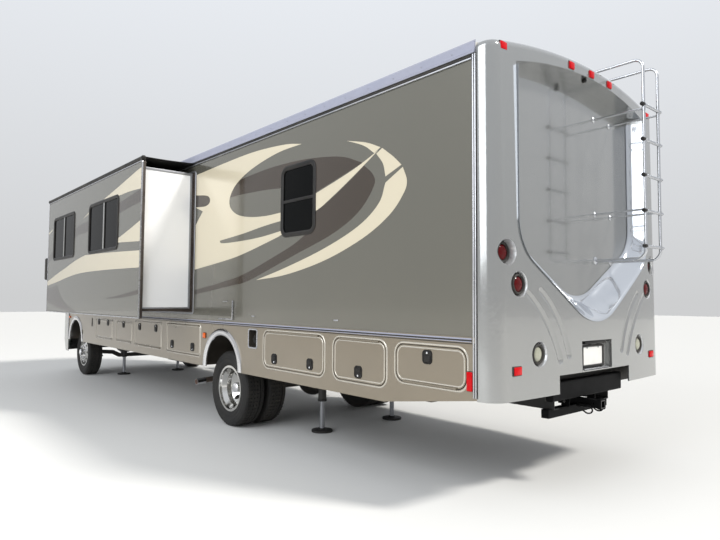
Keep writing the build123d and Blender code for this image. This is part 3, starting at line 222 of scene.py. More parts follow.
def finish_of(name, group, settings, shader_values, bump=0.0, distance=0.001):
    """A material whose colour, roughness and bump come from a shared node group."""
    material = bpy.data.materials.new(name)
    tree, shader = nodes_of(material)
    effect = tree.nodes.new("ShaderNodeGroup")
    effect.node_tree = group
    for title, value in settings.items():
        effect.inputs[title].default_value = value
    tree.links.new(effect.outputs["Colour"], shader.inputs["Base Color"])
    tree.links.new(effect.outputs["Roughness"], shader.inputs["Roughness"])
    for title, value in shader_values.items():
        shader.inputs[title].default_value = value
    if bump:
        relief = add(tree, "ShaderNodeBump", Strength=bump, Distance=distance, Height=effect.outputs["Height"])
        tree.links.new(relief.outputs[0], shader.inputs["Normal"])
    return material


def painted(name, colour, metal=0.0, flake=0.0, dust=0.3, gloss=0.22, peel=0.03, coat=0.6):
    return finish_of(name, sprayed, {"Colour": (*colour, 1), "Dust": dust, "Flake": flake, "Gloss": gloss},
                     {"Metallic": metal, "Coat Weight": coat, "Coat Roughness": 0.04}, peel)


def other_side(material, colour, metal, axis, limit, centre=0.0, mirrored=False, above=True):
    """Gives the part of a painted piece past a limit along one axis a second colour and metalness."""
    tree = material.node_tree
    shader = tree.nodes["Principled BSDF"]
    effect = next(node for node in tree.nodes if node.type == "GROUP")
    place = add(tree, "ShaderNodeTexCoord").outputs["Object"]
    offset = maths(tree, "SUBTRACT", split(tree, place)[axis], centre)
    if mirrored:
        offset = maths(tree, "ABSOLUTE", offset)
    past = maths(tree, "GREATER_THAN" if above else "LESS_THAN", offset, limit)
    colours = blended(tree, past, tuple(effect.inputs["Colour"].default_value), (*colour, 1))
    metals = ranged(tree, past, to_low=shader.inputs["Metallic"].default_value, to_high=metal)
    tree.links.new(colours, effect.inputs["Colour"])
    tree.links.new(metals, shader.inputs["Metallic"])
    return material


wall_t, room_wall_t, skirt_t = 0.044, 0.0405, 0.0125
# Painted light: the caps are a lighter silver than the walls' pewter because the sunlit rear cap looks lighter than the
# shaded side walls, and the walls' pewter and the skirts' champagne are set a little darker as painted shade of that
# shaded side.
pewter_tone, board_tone, underside_tone = rgb(110, 108, 99), rgb(214, 203, 182), rgb(28, 28, 29)
pewter_coat = {"colour": pewter_tone, "metal": 0.45, "flake": 0.025, "dust": 0.15, "gloss": 0.2}
skirt_coat = {"colour": rgb(122, 112, 95), "metal": 0.4, "flake": 0.025, "dust": 0.35, "gloss": 0.24}
pewter = painted("pewter_gel_coat", **pewter_coat)
wall_paint = other_side(painted("pewter_wall", **pewter_coat), board_tone, 0.0, "X", wall_x - wall_t, centre_x,
                        mirrored=True, above=False)
cap_silver_painted_sunlight = painted("silver_gel_coat_painted_sunlight", rgb(158, 159, 158), metal=0.72, flake=0.03, dust=0.1, gloss=0.15, coat=0.8)
taupe = painted("champagne_skirt_paint", **skirt_coat)
room_paint = other_side(painted("slide_room_shell", rgb(250, 250, 250), dust=0.0, gloss=0.26), pewter_tone, 0.45,
                        "X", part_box("slide_room")[1].x - room_wall_t)
skirt_paint = other_side(painted("champagne_skirt", **skirt_coat), underside_tone, 0.0, "X", wall_x - skirt_t, centre_x,
                         mirrored=True, above=False)


def dress(material, *names):
    """Gives rigid pieces their finish."""
    for name in names:
        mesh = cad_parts[name].data
        mesh.materials.clear()
        mesh.materials.append(material)


storage_door_nodes = [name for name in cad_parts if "storage_door" in name]
dress(wall_paint, "left_wall", "right_wall")
dress(cap_silver_painted_sunlight, "rear_cap", "front_cap")
dress(skirt_paint, "left_skirt", "right_skirt")
dress(taupe, *storage_door_nodes)
dress(pewter, "entry_door")
dress(room_paint, "slide_room")


# Stripes: cream and dark brown paint under the same clear coat. Each stripe is a closed outline of
# runs that meet at corners, on the wall's face, and the windows are cut out of it.
def flow(points, steps=6):
    """A smooth run through a few points, as a Catmull-Rom curve."""
    if len(points) == 2:
        return [Vector(p) for p in points]
    ends = [Vector(points[0]) * 2 - Vector(points[1]), *map(Vector, points),
            Vector(points[-1]) * 2 - Vector(points[-2])]
    run = []
    for a, b, c, d in zip(ends, ends[1:], ends[2:], ends[3:]):
        for step in range(steps):
            t = step / steps
            run.append(0.5 * ((2 * b) + (c - a) * t + (2 * a - 5 * b + 4 * c - d) * t * t
                              + (3 * b - a - 3 * c + d) * t * t * t))
    return run + [Vector(points[-1])]


def outline(*runs):
    """A closed outline of runs that meet at corners."""
    points = []
    for run in runs:
        for point in flow(run):
            if not points or (point - points[-1]).length > 1e-4:
                points.append(point)
    if (points[0] - points[-1]).length < 1e-4:
        points.pop()
    return points


def rounded(y0, y1, z0, z1, radius, steps=6):
    """A rectangle in y and z with round corners, anticlockwise."""
    points = []
    for y, z, start in ((y1 - radius, z1 - radius, 0), (y0 + radius, z1 - radius, 90),
                        (y0 + radius, z0 + radius, 180), (y1 - radius, z0 + radius, 270)):
        for step in range(steps + 1):
            turn = math.radians(start + 90 * step / steps)
            points.append(Vector((y + radius * math.cos(turn), z + radius * math.sin(turn))))
    return points


def slab(points, x0, x1):
    """A closed plate: an outline in y and z between two heights in x."""
    shape = bmesh.new()
    low = [shape.verts.new((x0, p[0], p[1])) for p in points]
    high = [shape.verts.new((x1, p[0], p[1])) for p in points]
    shape.faces.new(low)
    shape.faces.new(high)
    for i in range(len(points)):
        j = (i + 1) % len(points)
        shape.faces.new((low[i], low[j], high[j], high[i]))
    bmesh.ops.recalc_face_normals(shape, faces=shape.faces)
    return shape


def skinned(rings, closed=True):
    """A solid over rings of points: the last is joined to the first, or else both ends are closed."""
    shape = bmesh.new()
    rings = [[shape.verts.new(point) for point in ring] for ring in rings]
    count = len(rings[0])
    for near, far in zip(rings, rings[1:] + rings[:1] if closed else rings[1:]):
        for j in range(count):
            k = (j + 1) % count
            shape.faces.new((near[j], far[j], far[k], near[k]))
    if not closed:
        shape.faces.new(rings[0])
        shape.faces.new(list(reversed(rings[-1])))
    bmesh.ops.recalc_face_normals(shape, faces=shape.faces)
    return shape


def to_mesh(shape, name):
    """Ends a bmesh as a mesh."""
    mesh = bpy.data.meshes.new(name)
    shape.to_mesh(mesh)
    shape.free()
    return mesh


def piece(name, mesh, material, body="root", sharp=35):
    """A finished piece from a shape, shapes or a mesh: moved to the frame, smoothed up to an angle,
    and riding on its body, which is the coach's own unless another is named."""
    if isinstance(mesh, list):
        mesh = joined(mesh)
    if isinstance(mesh, bmesh.types.BMesh):
        mesh = to_mesh(mesh, name)
    mesh.transform(to_frame)
    mesh.materials.clear()
    mesh.materials.append(material)
    mesh.polygons.foreach_set("use_smooth", [True] * len(mesh.polygons))
    mesh.set_sharp_from_angle(angle=math.radians(sharp))
    made = bpy.data.objects.new(name, mesh)
    scene.collection.objects.link(made)
    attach(made, body)
    return made


def evaluated(thing):
    """The object's mesh with its modifiers applied."""
    return bpy.data.meshes.new_from_object(thing.evaluated_get(bpy.context.evaluated_depsgraph_get()))


def applied(thing):
    """The object's mesh with its modifiers applied; the object is removed."""
    bpy.context.view_layer.update()
    mesh = evaluated(thing)
    bpy.data.objects.remove(thing)
    return mesh


def cut(mesh, cutter, operation="DIFFERENCE"):
    """One mesh less another, or what the two share."""
    kept = bpy.data.objects.new("kept", mesh)
    tool = bpy.data.objects.new("tool", cutter)
    for thing in (kept, tool):
        scene.collection.objects.link(thing)
    modifier = kept.modifiers.new("cut", "BOOLEAN")
    modifier.operation = operation
    modifier.object = tool
    modifier.solver = "EXACT"
    result = applied(kept)
    bpy.data.objects.remove(tool)
    return result


cream = painted("cream_stripe", rgb(208, 198, 174), metal=0.1, flake=0.02, dust=0.08, gloss=0.2)
brown = painted("dark_brown_stripe", rgb(58, 48, 38), metal=0.2, flake=0.02, dust=0.06, gloss=0.18)
stripe_t = 0.0006

bedroom_window = (-2.39, -1.855, 2.08, 2.74, 0.075)
cab_window = (-9.75, -8.85, 1.56, 2.38, 0.09)
slide_windows = ((-8.27, -7.09, 2.09, 2.76, 0.06), (-6.33, -5.13, 2.09, 2.76, 0.06))
right_windows = ((-7.25, -6.25, 2.08, 2.74, 0.075), (-5.5, -4.5, 2.08, 2.74, 0.075), (-2.5, -1.7, 2.08, 2.74, 0.075))
door_window = (-8.464, -8.036, 2.02, 2.68, 0.07)
side_windows = {1: [bedroom_window, cab_window], -1: [*right_windows, cab_window]}
slide_near, slide_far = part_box("slide_room")
slide_x = slide_far.x - centre_x
slide_front, slide_rear = slide_near.y - to_frame.translation.y, slide_far.y - to_frame.translation.y
slide_low, slide_top = slide_near.z, slide_far.z
seam_y = slide_rear + 0.003

arc_face = {
    "cream_arc_tip": (cream, outline([(-1.39, 2.83), (-1.14, 2.765), (-0.96, 2.69)], [(-0.96, 2.69), (-1.035, 2.655)],
                                     [(-1.035, 2.655), (-1.17, 2.745), (-1.39, 2.83)])),
    "cream_arc_head": (cream, outline([(-0.94, 2.68), (-0.81, 2.585), (-0.72, 2.505)], [(-0.72, 2.505), (-0.90, 2.44)],
                                      [(-0.90, 2.44), (-0.93, 2.55), (-1.01, 2.645)])),
    "cream_arc": (cream, outline([(-0.705, 2.485), (-0.66, 2.37), (-0.70, 2.27), (-0.86, 2.12), (-1.18, 1.96),
                                  (-1.70, 1.80), (-2.32, 1.69), (-2.87, 1.65)],
                                 [(-2.87, 1.65), (-2.32, 1.76), (-1.70, 1.91), (-1.23, 2.07), (-0.98, 2.23),
                                  (-0.90, 2.39)])),
    "cream_sweep": (cream, outline([(-2.40, 2.315), (-2.10, 2.37), (-1.83, 2.43), (-1.31, 2.56), (-0.985, 2.67)],
                                   [(-0.985, 2.67), (-1.31, 2.50), (-1.60, 2.36), (-1.82, 2.27), (-2.10, 2.235),
                                    (-2.41, 2.23), (-2.76, 2.205), (-3.16, 2.164), (-3.70, 2.125)],
                                   [(-3.70, 2.125), (-3.62, 2.09), (-3.16, 2.086), (-2.75, 2.10), (-2.30, 2.14)],
                                   [(-2.30, 2.14), (-2.40, 2.09), (-2.68, 2.03), (-3.156, 1.94), (-3.544, 1.888),
                                    (seam_y, 1.812)],
                                   [(seam_y, 1.812), (seam_y, 2.37)], [(seam_y, 2.37), (-4.15, 2.52)],
                                   [(-4.15, 2.52), (seam_y, 2.585)],
                                   [(seam_y, 2.59), (-4.07, 2.575), (-3.965, 2.62), (-4.03, 2.695), (seam_y, 2.742)],
                                   [(seam_y, 2.742), (seam_y, 3.0)],
                                   [(seam_y, 3.0), (-3.68, 3.02), (-3.24, 3.03), (-2.83, 3.025), (-2.35, 2.99),
                                    (-2.07, 2.94)],
                                   [(-2.07, 2.94), (-2.45, 2.935), (-2.83, 2.885), (-3.143, 2.81), (-3.37, 2.71),
                                    (-3.48, 2.58), (-3.44, 2.47), (-3.27, 2.38), (-3.0, 2.33), (-2.68, 2.31),
                                    (-2.40, 2.315)])),
    "brown_band_end": (brown, outline([(seam_y, 2.742), (-4.03, 2.695), (-3.965, 2.62), (-4.07, 2.575),
                                       (seam_y, 2.59)], [(seam_y, 2.59), (seam_y, 2.742)])),
    "brown_eye_lid": (brown, outline([(-3.465, 2.60), (-3.36, 2.715), (-3.21, 2.775)],
                                     [(-3.21, 2.775), (-2.62, 2.80), (-2.02, 2.78), (-1.49, 2.71), (-1.19, 2.605)],
                                     [(-1.19, 2.60), (-1.31, 2.568), (-1.83, 2.44)],
                                     [(-1.83, 2.44), (-2.42, 2.56), (-3.14, 2.60), (-3.465, 2.60)])),
    "brown_eye": (brown, outline([(-1.16, 2.573), (-1.05, 2.48), (-1.04, 2.38), (-1.23, 2.19), (-1.59, 2.03),
                                  (-2.19, 1.87), (-2.85, 1.69), (-3.14, 1.626), (-3.62, 1.576), (seam_y, 1.50)],
                                 [(seam_y, 1.50), (seam_y, 1.555)],
                                 [(seam_y, 1.555), (-3.63, 1.642), (-3.15, 1.715), (-2.56, 1.87), (-2.13, 2.0),
                                  (-1.90, 2.13), (-1.86, 2.25)],
                                 [(-1.86, 2.25), (-1.60, 2.352), (-1.31, 2.492), (-1.165, 2.57)])),
}
# The same sweep goes on over the slide-out room's face, from its rear edge to its front edge.
rear_end = slide_rear - 0.001
front_end = slide_front + 0.001
room_face = {
    "cream_head": (cream, outline([(rear_end, 3.0), (-4.56, 2.97), (-5.11, 2.88), (-5.79, 2.775), (-6.38, 2.676),
                                   (-6.65, 2.617)], [(-6.65, 2.617), (-6.37, 2.66), (-5.79, 2.75), (-5.16, 2.757),
                                                     (-4.74, 2.76), (rear_end, 2.744)])),
    "brown_band": (brown, outline([(rear_end, 2.742), (-5.06, 2.67), (-6.38, 2.562), (-7.03, 2.503), (-8.34, 2.233),
                                   (front_end, 2.13)], [(front_end, 2.04), (-8.27, 2.135), (-7.01, 2.372),
                                                        (-6.365, 2.406), (-5.07, 2.53), (rear_end, 2.59)])),
    "cream_wedge": (cream, outline([(rear_end, 2.37), (-4.76, 2.28), (-5.06, 2.221), (-5.40, 2.17)],
                                   [(-5.40, 2.17), (-5.07, 2.154), (rear_end, 2.12)])),
    "cream_band": (cream, outline([(rear_end, 2.012), (-5.55, 2.051), (-6.50, 2.07)],
                                  [(-6.50, 2.07), (-7.0, 2.011), (-7.48, 1.928), (-8.0, 1.844), (front_end, 1.725)],
                                  [(front_end, 1.655), (-7.99, 1.712), (-7.21, 1.787), (-6.52, 1.82), (-5.53, 1.824),
                                   (rear_end, 1.812)])),
    "brown_crescent": (brown, outline([(front_end, 1.605), (-7.952, 1.65)],
                                      [(-7.952, 1.65), (-7.903, 1.565), (-7.738, 1.463), (-7.41, 1.352),
                                       (-7.056, 1.274), (-6.77, 1.226)],
                                      [(-6.77, 1.226), (-7.4, 1.25), (-7.935, 1.292), (front_end, 1.39)])),
    "brown_tail": (brown, outline([(rear_end, 1.555), (-5.0, 1.49), (-5.66, 1.443)],
                                  [(-5.66, 1.443), (-5.0, 1.452), (rear_end, 1.50)])),
    "cream_fleck": (cream, outline([(-8.29, 2.62), (front_end, 2.57)], [(front_end, 2.53), (-8.29, 2.62)])),
}
# Ahead of the room the bands run down towards the front cap.
bow_end = wall_front + 0.001
bow_start = slide_front - 0.004
bow_face = {
    "brown_band_fore": (brown, outline([(bow_start, 2.128), (-9.3, 1.93), (bow_end, 1.72)],
                                       [(bow_end, 1.62), (-9.3, 1.83), (bow_start, 2.038)])),
    "cream_band_fore": (cream, outline([(bow_start, 1.722), (-9.3, 1.56), (bow_end, 1.375)],
                                       [(bow_end, 1.315), (-9.3, 1.475), (bow_start, 1.652)])),
    "brown_crescent_fore": (brown, outline([(bow_start, 1.602), (-9.3, 1.435), (bow_end, 1.285)],
                                           [(bow_end, 1.225), (-9.3, 1.27), (bow_start, 1.388)])),
}
door_opening = (-8.6, -7.9, 0.8, 2.9, 0.06)
door_gap = 0.006
door_leaf = (door_opening[0] + door_gap, door_opening[1] - door_gap, door_opening[2] + door_gap,
             door_opening[3] - door_gap, door_opening[4])


def through(hole, x, side):
    """A cutter through a face at x."""
    return to_mesh(slab(rounded(*hole), side * (x - 0.05), side * (x + 0.05)), "hole")


def stripe(name, colour, points, x, side, holes, body, kept_in=None):
    """One painted stripe on a face at x, less its window openings."""
    mesh = to_mesh(slab(points, side * (x + 0.0001), side * (x + stripe_t)), name)
    for hole in holes:
        if max(p[0] for p in points) > hole[0] and min(p[0] for p in points) < hole[1]:
            mesh = cut(mesh, through(hole, x, side))
    if kept_in:
        mesh = cut(mesh, through(kept_in, x, side), "INTERSECT")
    if mesh.polygons:
        piece(name, mesh, colour, body)


for name, (colour, points) in (arc_face | bow_face).items():
    for side, word in ((1, "left_"), (-1, "right_")):
        stripe(word + name, colour, points, wall_x, side, side_windows[side], "root")
for name, (colour, points) in room_face.items():
    stripe("room_" + name, colour, points, slide_x, 1, slide_windows, "slide_out_room")
    stripe("right_" + name, colour, points, wall_x, -1, [*side_windows[-1], door_opening], "root")
    if min(p[0] for p in points) < door_opening[1]:
        stripe("door_" + name, colour, points, wall_x, -1, [door_window], "door_entry", door_leaf)


# Window glass: dark tinted panes in the side walls and the room, and a clear laminated screen with
# a faint green edge. Dust lies on it as a slight haze.
weathered, given, where = surface_group("weathered_surface", Colour=(0.5, 0.5, 0.5, 1), Roughness=0.5, Dust=0.2,
                                        Mottle=0.15, Grain=220.0)
patches = noise(weathered, where, Scale=6.0, Detail=5.0, Roughness=0.65)
swing = ranged(weathered, patches, 0.25, 0.75, -1.0, 1.0)
toned = brightened(weathered, maths(weathered, "MULTIPLY_ADD", swing, given["Mottle"], 1.0), given["Colour"])
film = ranged(weathered, noise(weathered, where, Scale=2.3, Detail=7.0, Roughness=0.7), 0.35, 0.8)
dusted = maths(weathered, "MULTIPLY", film, given["Dust"], use_clamp=True)
spread = maths(weathered, "MULTIPLY_ADD", swing, 0.06, given["Roughness"])
end_group(weathered, blended(weathered, dusted, toned, dust_colour),
          maths(weathered, "MULTIPLY_ADD", dusted, 0.5, spread, use_clamp=True),
          noise(weathered, where, Scale=given["Grain"], Detail=2.0))


def surface(name, colour, roughness, dust=0.15, mottle=0.08, grain=220.0, bump=0.1, distance=0.0006, **values):
    """A plastic, rubber, glass or metal finish from the weathered group."""
    settings = {"Colour": (*colour, 1), "Roughness": roughness, "Dust": dust, "Mottle": mottle, "Grain": grain}
    return finish_of(name, weathered, settings, {key.replace("_", " "): value for key, value in values.items()},
                     bump, distance)


tinted_glass = surface("tinted_glass", rgb(9, 11, 12), 0.04, dust=0.01, mottle=0.02, bump=0.0, IOR=1.16,
                       Transmission_Weight=0.25, Specular_IOR_Level=0.35)
screen_glass = surface("laminated_glass", rgb(208, 224, 216), 0.02, dust=0.03, mottle=0.01, bump=0.0, IOR=1.5,
                       Transmission_Weight=1.0)
dress(tinted_glass, "window_glass", "slide_windows")
dress(screen_glass, "windshield")


# Window frames: clamped rings of black anodised aluminium with round corners, a sliding sash bar
# down or across each pane, and two weep slots at the bottom.
def carried(points, profile, place):
    """A closed profile of outward offsets and rises round a closed outline, where a rule places them."""
    rings = []
    for i, point in enumerate(points):
        along = (points[(i + 1) % len(points)] - points[i - 1]).normalized()
        outward = Vector((along.y, -along.x))
        rings.append([place(point + outward * wide, rise) for wide, rise in profile])
    return skinned(rings)


def moulding(points, profile, x, side):
    """A closed moulding on a side face, from (y, z) points and (outward, rise) pairs."""
    return carried(points, profile, lambda spot, rise: (side * (x + rise), *spot))


def bar(x0, x1, y0, y1, z0, z1, bevel=0.0, segments=2):
    """A block between two corners with rounded edges."""
    shape = bmesh.new()
    bmesh.ops.create_cube(shape, size=1.0, matrix=Matrix.Translation(((x0 + x1) / 2, (y0 + y1) / 2, (z0 + z1) / 2))
                          @ Matrix.Diagonal((abs(x1 - x0), abs(y1 - y0), abs(z1 - z0), 1)))
    if bevel:
        bmesh.ops.bevel(shape, geom=shape.edges[:], offset=bevel, segments=segments, affect="EDGES", profile=0.5)
    bmesh.ops.recalc_face_normals(shape, faces=shape.faces)
    return shape


def joined(shapes):
    """Several shapes as one mesh."""
    whole = bmesh.new()
    for shape in shapes:
        mesh = shape if isinstance(shape, bpy.types.Mesh) else to_mesh(shape, "part")
        whole.from_mesh(mesh)
        bpy.data.meshes.remove(mesh)
    return to_mesh(whole, "joined")


frame_profile = [(-0.022, -0.006), (-0.022, 0.004), (-0.012, 0.010), (0.010, 0.012), (0.022, 0.006), (0.024, 0.0005),
                 (0.002, 0.0005), (0.002, -0.006)]
sash_w = 0.030
black_trim = surface("black_anodised", rgb(13, 13, 14), 0.42, dust=0.06, mottle=0.1, Specular_IOR_Level=0.3)
grey_sash = surface("grey_sash", rgb(160, 160, 158), 0.35, dust=0.1, Metallic=0.4)


def window(name, hole, x, side, body="root", bar_at=None, grey=False):
    """A window's frame on a face at x, with its sash bar at a height, or at a station, which is negative."""
    y0, y1, z0, z1, _ = hole
    shapes = [moulding(rounded(*hole, 8), frame_profile, x, side)]
    for share in (0.3, 0.7):
        weep = y0 + (y1 - y0) * share
        shapes.append(bar(side * (x + 0.011), side * (x + 0.0135), weep - 0.02, weep + 0.02, z0 - 0.012, z0 - 0.006,
                          0.001))
    depth = (side * (x - 0.010), side * (x + 0.004))
    if bar_at and bar_at > 0:
        shapes.append(bar(*depth, y0 + 0.01, y1 - 0.01, bar_at - sash_w / 2, bar_at + sash_w / 2, 0.003))
    elif bar_at:
        dark_at = bar_at + 0.034
        shapes.append(bar(*depth, dark_at - 0.012, dark_at + 0.012, z0 + 0.01, z1 - 0.01, 0.003))
        sash = bar(*depth, bar_at - 0.022, bar_at + 0.022, z0 + 0.012, z1 - 0.012, 0.004)
        piece(name + "_sash", sash, grey_sash if grey else black_trim, body)
    piece(name + "_frame", shapes, black_trim, body)


bedroom_sash_z, cab_sash_y = 2.41, -9.28
window("bedroom_window", bedroom_window, wall_x, 1, bar_at=bedroom_sash_z)
window("driver_window", cab_window, wall_x, 1, bar_at=cab_sash_y)
window("passenger_window", cab_window, wall_x, -1, bar_at=cab_sash_y)
for number, hole in enumerate(right_windows, start=1):
    sash_at = (hole[0] + hole[1]) / 2 if number < len(right_windows) else bedroom_sash_z
    window(f"right_window_{number}", hole, wall_x, -1, bar_at=sash_at)
for number, (hole, station) in enumerate(zip(slide_windows, (-7.66, -5.70)), start=1):
    window(f"slide_window_{number}", hole, slide_x, 1, "slide_out_room", bar_at=station, grey=True)
window("door_window", door_window, wall_x, -1, "door_entry")
pane = slab(rounded(*door_window, 8), -(wall_x - 0.014), -(wall_x - 0.006))
piece("door_window_pane", pane, tinted_glass, "door_entry")


# Side trim: the grey roof rail over a dark shadow line, the bright belt moulding with its vinyl
# insert and screws, and the two aluminium strips that close each joint between wall and cap.
def geometry_tree(name, **inputs):
    """An empty geometry tree with its inputs, which are vectors, counts or lengths, and a material."""
    tree = bpy.data.node_groups.new(name, "GeometryNodeTree")
    kinds = {tuple: "Vector", int: "Int", float: "Float"}
    for title, value in inputs.items():
        socket = tree.interface.new_socket(title, in_out="INPUT", socket_type="NodeSocket" + kinds[type(value)])
        socket.default_value = value
    tree.interface.new_socket("Material", in_out="INPUT", socket_type="NodeSocketMaterial")
    tree.interface.new_socket("Geometry", in_out="OUTPUT", socket_type="NodeSocketGeometry")
    return tree, tree.nodes.new("NodeGroupInput").outputs


def end_tree(tree, given, instances):
    """Closes a tree: its instances are made real and take the material."""
    real = add(tree, "GeometryNodeRealizeInstances", Geometry=instances)
    coloured = add(tree, "GeometryNodeSetMaterial", Geometry=real.outputs[0], Material=given["Material"])
    tree.links.new(coloured.outputs[0], tree.nodes.new("NodeGroupOutput").inputs["Geometry"])


def end_row(tree, given, item):
    """Closes a tree whose item stands at each step of a straight row."""
    line = add(tree, "GeometryNodeMeshLine", {"mode": "OFFSET"}, Count=given["Count"], Offset=given["Step"],
               Start_Location=given["Start"])
    placed = add(tree, "GeometryNodeInstanceOnPoints", Points=line.outputs[0], Instance=item.outputs[0],
                 Rotation=given["Turn"])
    end_tree(tree, given, placed.outputs[0])


def grown(tree, **values):
    """The mesh that a tree makes from the given values."""
    holder = bpy.data.objects.new(tree.name, bpy.data.meshes.new(tree.name))
    scene.collection.objects.link(holder)
    modifier = holder.modifiers.new("made", "NODES")
    modifier.node_group = tree
    for item in tree.interface.items_tree:
        if item.in_out == "INPUT" and item.name.lower() in values:
            modifier[item.identifier] = values[item.name.lower()]
    return applied(holder)


fastener_row, given = geometry_tree("fastener_row", Start=(0, 0, 0), Step=(0, 0.3, 0), Count=10, Radius=0.004,
                                    Rise=0.002, Sides=12, Turn=(0, 0, 0))
end_row(fastener_row, given, add(fastener_row, "GeometryNodeMeshCone", {"fill_type": "NGON"}, Vertices=given["Sides"],
                                 Depth=given["Rise"], Radius_Bottom=given["Radius"],
                                 Radius_Top=maths(fastener_row, "MULTIPLY", given["Radius"], 0.7)))
slat_row, given = geometry_tree("slat_row", Start=(0, 0, 0), Step=(0, 0.1, 0), Count=10, Size=(0.01, 0.01, 0.01),
                                Turn=(0, 0, 0))
end_row(slat_row, given, add(slat_row, "GeometryNodeMeshCube", Size=given["Size"]))

to_left = (0, math.pi / 2, 0)
to_right = (0, -math.pi / 2, 0)
to_rear = (-math.pi / 2, 0, 0)
upright = (0, 0, 0)
bright_metal = surface("bright_aluminium", rgb(186, 187, 191), 0.26, dust=0.12, mottle=0.04, grain=400.0, bump=0.04,
                       Metallic=0.95)
satin_metal = surface("satin_aluminium", rgb(160, 162, 167), 0.4, dust=0.2, mottle=0.06, grain=400.0, bump=0.05,
                      Metallic=0.8)
rail_grey = surface("roof_rail_grey", rgb(146, 149, 166), 0.36, dust=0.1, mottle=0.05, bump=0.05, Coat_Weight=0.2)
screw_metal = surface("screw_steel", rgb(150, 152, 156), 0.3, dust=0.2, Metallic=0.9)
# This black is real rubber on seals and gaskets, and also paints the shadow lines under the roof rail and the belt and
# the shade in the notch behind the hitch.
shadow_black = surface("black_rubber_and_painted_shadow", rgb(14, 14, 15), 0.65, dust=0.12, mottle=0.15, grain=500.0, bump=0.2)
dress(rail_grey, "roof_rails")


def screw_row(start, step, count, turn, radius=0.004, rise=0.002, sides=12):
    """A row of low round screw heads that face as the turn says."""
    return grown(fastener_row, start=start, step=step, count=count, radius=radius, rise=rise, sides=sides, turn=turn,
                 material=screw_metal)


both_sides = ((1, "left"), (-1, "right"))
side_turns = {1: to_left, -1: to_right}
rail_z = wall_top - 0.030
for side, word in both_sides:
    shadow = bar(side * wall_x, side * (wall_x + 0.010), wall_front, -0.03, rail_z - 0.006, rail_z + 0.006, 0.002)
    piece(f"{word}_rail_shadow", shadow, shadow_black)
    track = bar(side * (wall_x + 0.001), side * (wall_x + 0.014), wall_front, -0.03, rail_z - 0.024, rail_z - 0.012,
                0.003)
    piece(f"{word}_awning_track", track, satin_metal)
    screws = screw_row((side * (wall_x + 0.0155), -9.8, wall_top + 0.026), (0, 0.30, 0), 33, side_turns[side], 0.0045,
                       0.003)
    piece(f"{word}_rail_screws", screws, screw_metal)

belt_z = 1.18
belt_x = wall_x + 0.008
belt_screw_step = 0.32
belt_runs = {1: [(wall_front + 0.02, -0.035)], -1: [(wall_front + 0.02, -8.615), (-7.885, -0.035)]}
for side, word in both_sides:
    near, far = side * (belt_x - 0.002), side * (belt_x + 0.0035)
    insert_far = far - 0.001 if side > 0 else far
    strips, lines = [], []
    for y0, y1 in belt_runs[side]:
        strips += [bar(near, far, y0, y1, belt_z + 0.002, belt_z + 0.013, 0.0018),
                   bar(near, far, y0, y1, belt_z - 0.015, belt_z - 0.009, 0.0018)]
        lines += [bar(side * wall_x, side * (wall_x + 0.004), y0, y1, belt_z - 0.027, belt_z - 0.0205, 0.001),
                  bar(near, insert_far, y0, y1, belt_z - 0.009, belt_z + 0.002)]
    piece(f"{word}_belt_trim", strips, rail_grey)
    piece(f"{word}_belt_shadow", lines, shadow_black)
    first, last = belt_runs[side][-1]
    screws = screw_row((side * (belt_x + 0.0005), first + 0.06, belt_z - 0.0045), (0, belt_screw_step, 0),
                       int((last - first) / belt_screw_step), side_turns[side], 0.0032)
    piece(f"{word}_belt_screws", screws, screw_metal)
    for end, station, low_z in (("rear", -0.012, 0.79), ("front", wall_front + 0.012, 0.66)):
        strips = [bar(side * (wall_x - 0.001), side * (wall_x + 0.0105), station + shift - 0.0065,
                      station + shift + 0.0065, low_z, wall_top - 0.018, 0.0035) for shift in (-0.009, 0.009)]
        piece(f"{word}_{end}_joint_trim", strips, bright_metal)
        seal = bar(side * (wall_x - 0.001), side * (wall_x + 0.005), station - 0.018, station + 0.018, low_z,
                   wall_top - 0.02)
        piece(f"{word}_{end}_joint_seal", seal, shadow_black)


# Service hatches on the driver's side: a raised cover for the power cord with bright metal strips on its right,
# bottom and top edges as a painted highlight, an upright vent slot near the front and two small vents above the belt.
cord_hatch = slab(rounded(-3.66, -3.345, 1.225, 1.43, 0.012), wall_x, wall_x + 0.016)
piece("cord_hatch", cord_hatch, pewter)
# Bright strips on the cover's right and bottom edges and near its top: a painted highlight where its edges catch the
# light.
hatch_painted_highlight = [bar(wall_x + 0.002, wall_x + 0.022, -3.347, -3.335, 1.222, 1.432, 0.003),
             bar(wall_x + 0.002, wall_x + 0.020, -3.66, -3.336, 1.219, 1.229, 0.003),
             bar(wall_x + 0.016, wall_x + 0.022, -3.56, -3.45, 1.417, 1.424, 0.002)]
piece("cord_hatch_painted_highlight", hatch_painted_highlight, bright_metal)
slot_rim = moulding(rounded(-8.425, -8.395, 0.955, 1.095, 0.008),
                    [(-0.004, 0.0), (-0.004, 0.003), (0.004, 0.004), (0.007, 0.0005)], wall_x, 1)
slot_back = slab(rounded(-8.421, -8.399, 0.959, 1.091, 0.006), wall_x + 0.0002, wall_x + 0.001)
piece("vent_slot", [slot_rim, slot_back], shadow_black)
vents = [bar(wall_x, wall_x + 0.006, y - 0.03, y + 0.03, 1.262, 1.276, 0.003) for y in (-2.92, -1.52)]
piece("side_vents", vents, bright_metal)


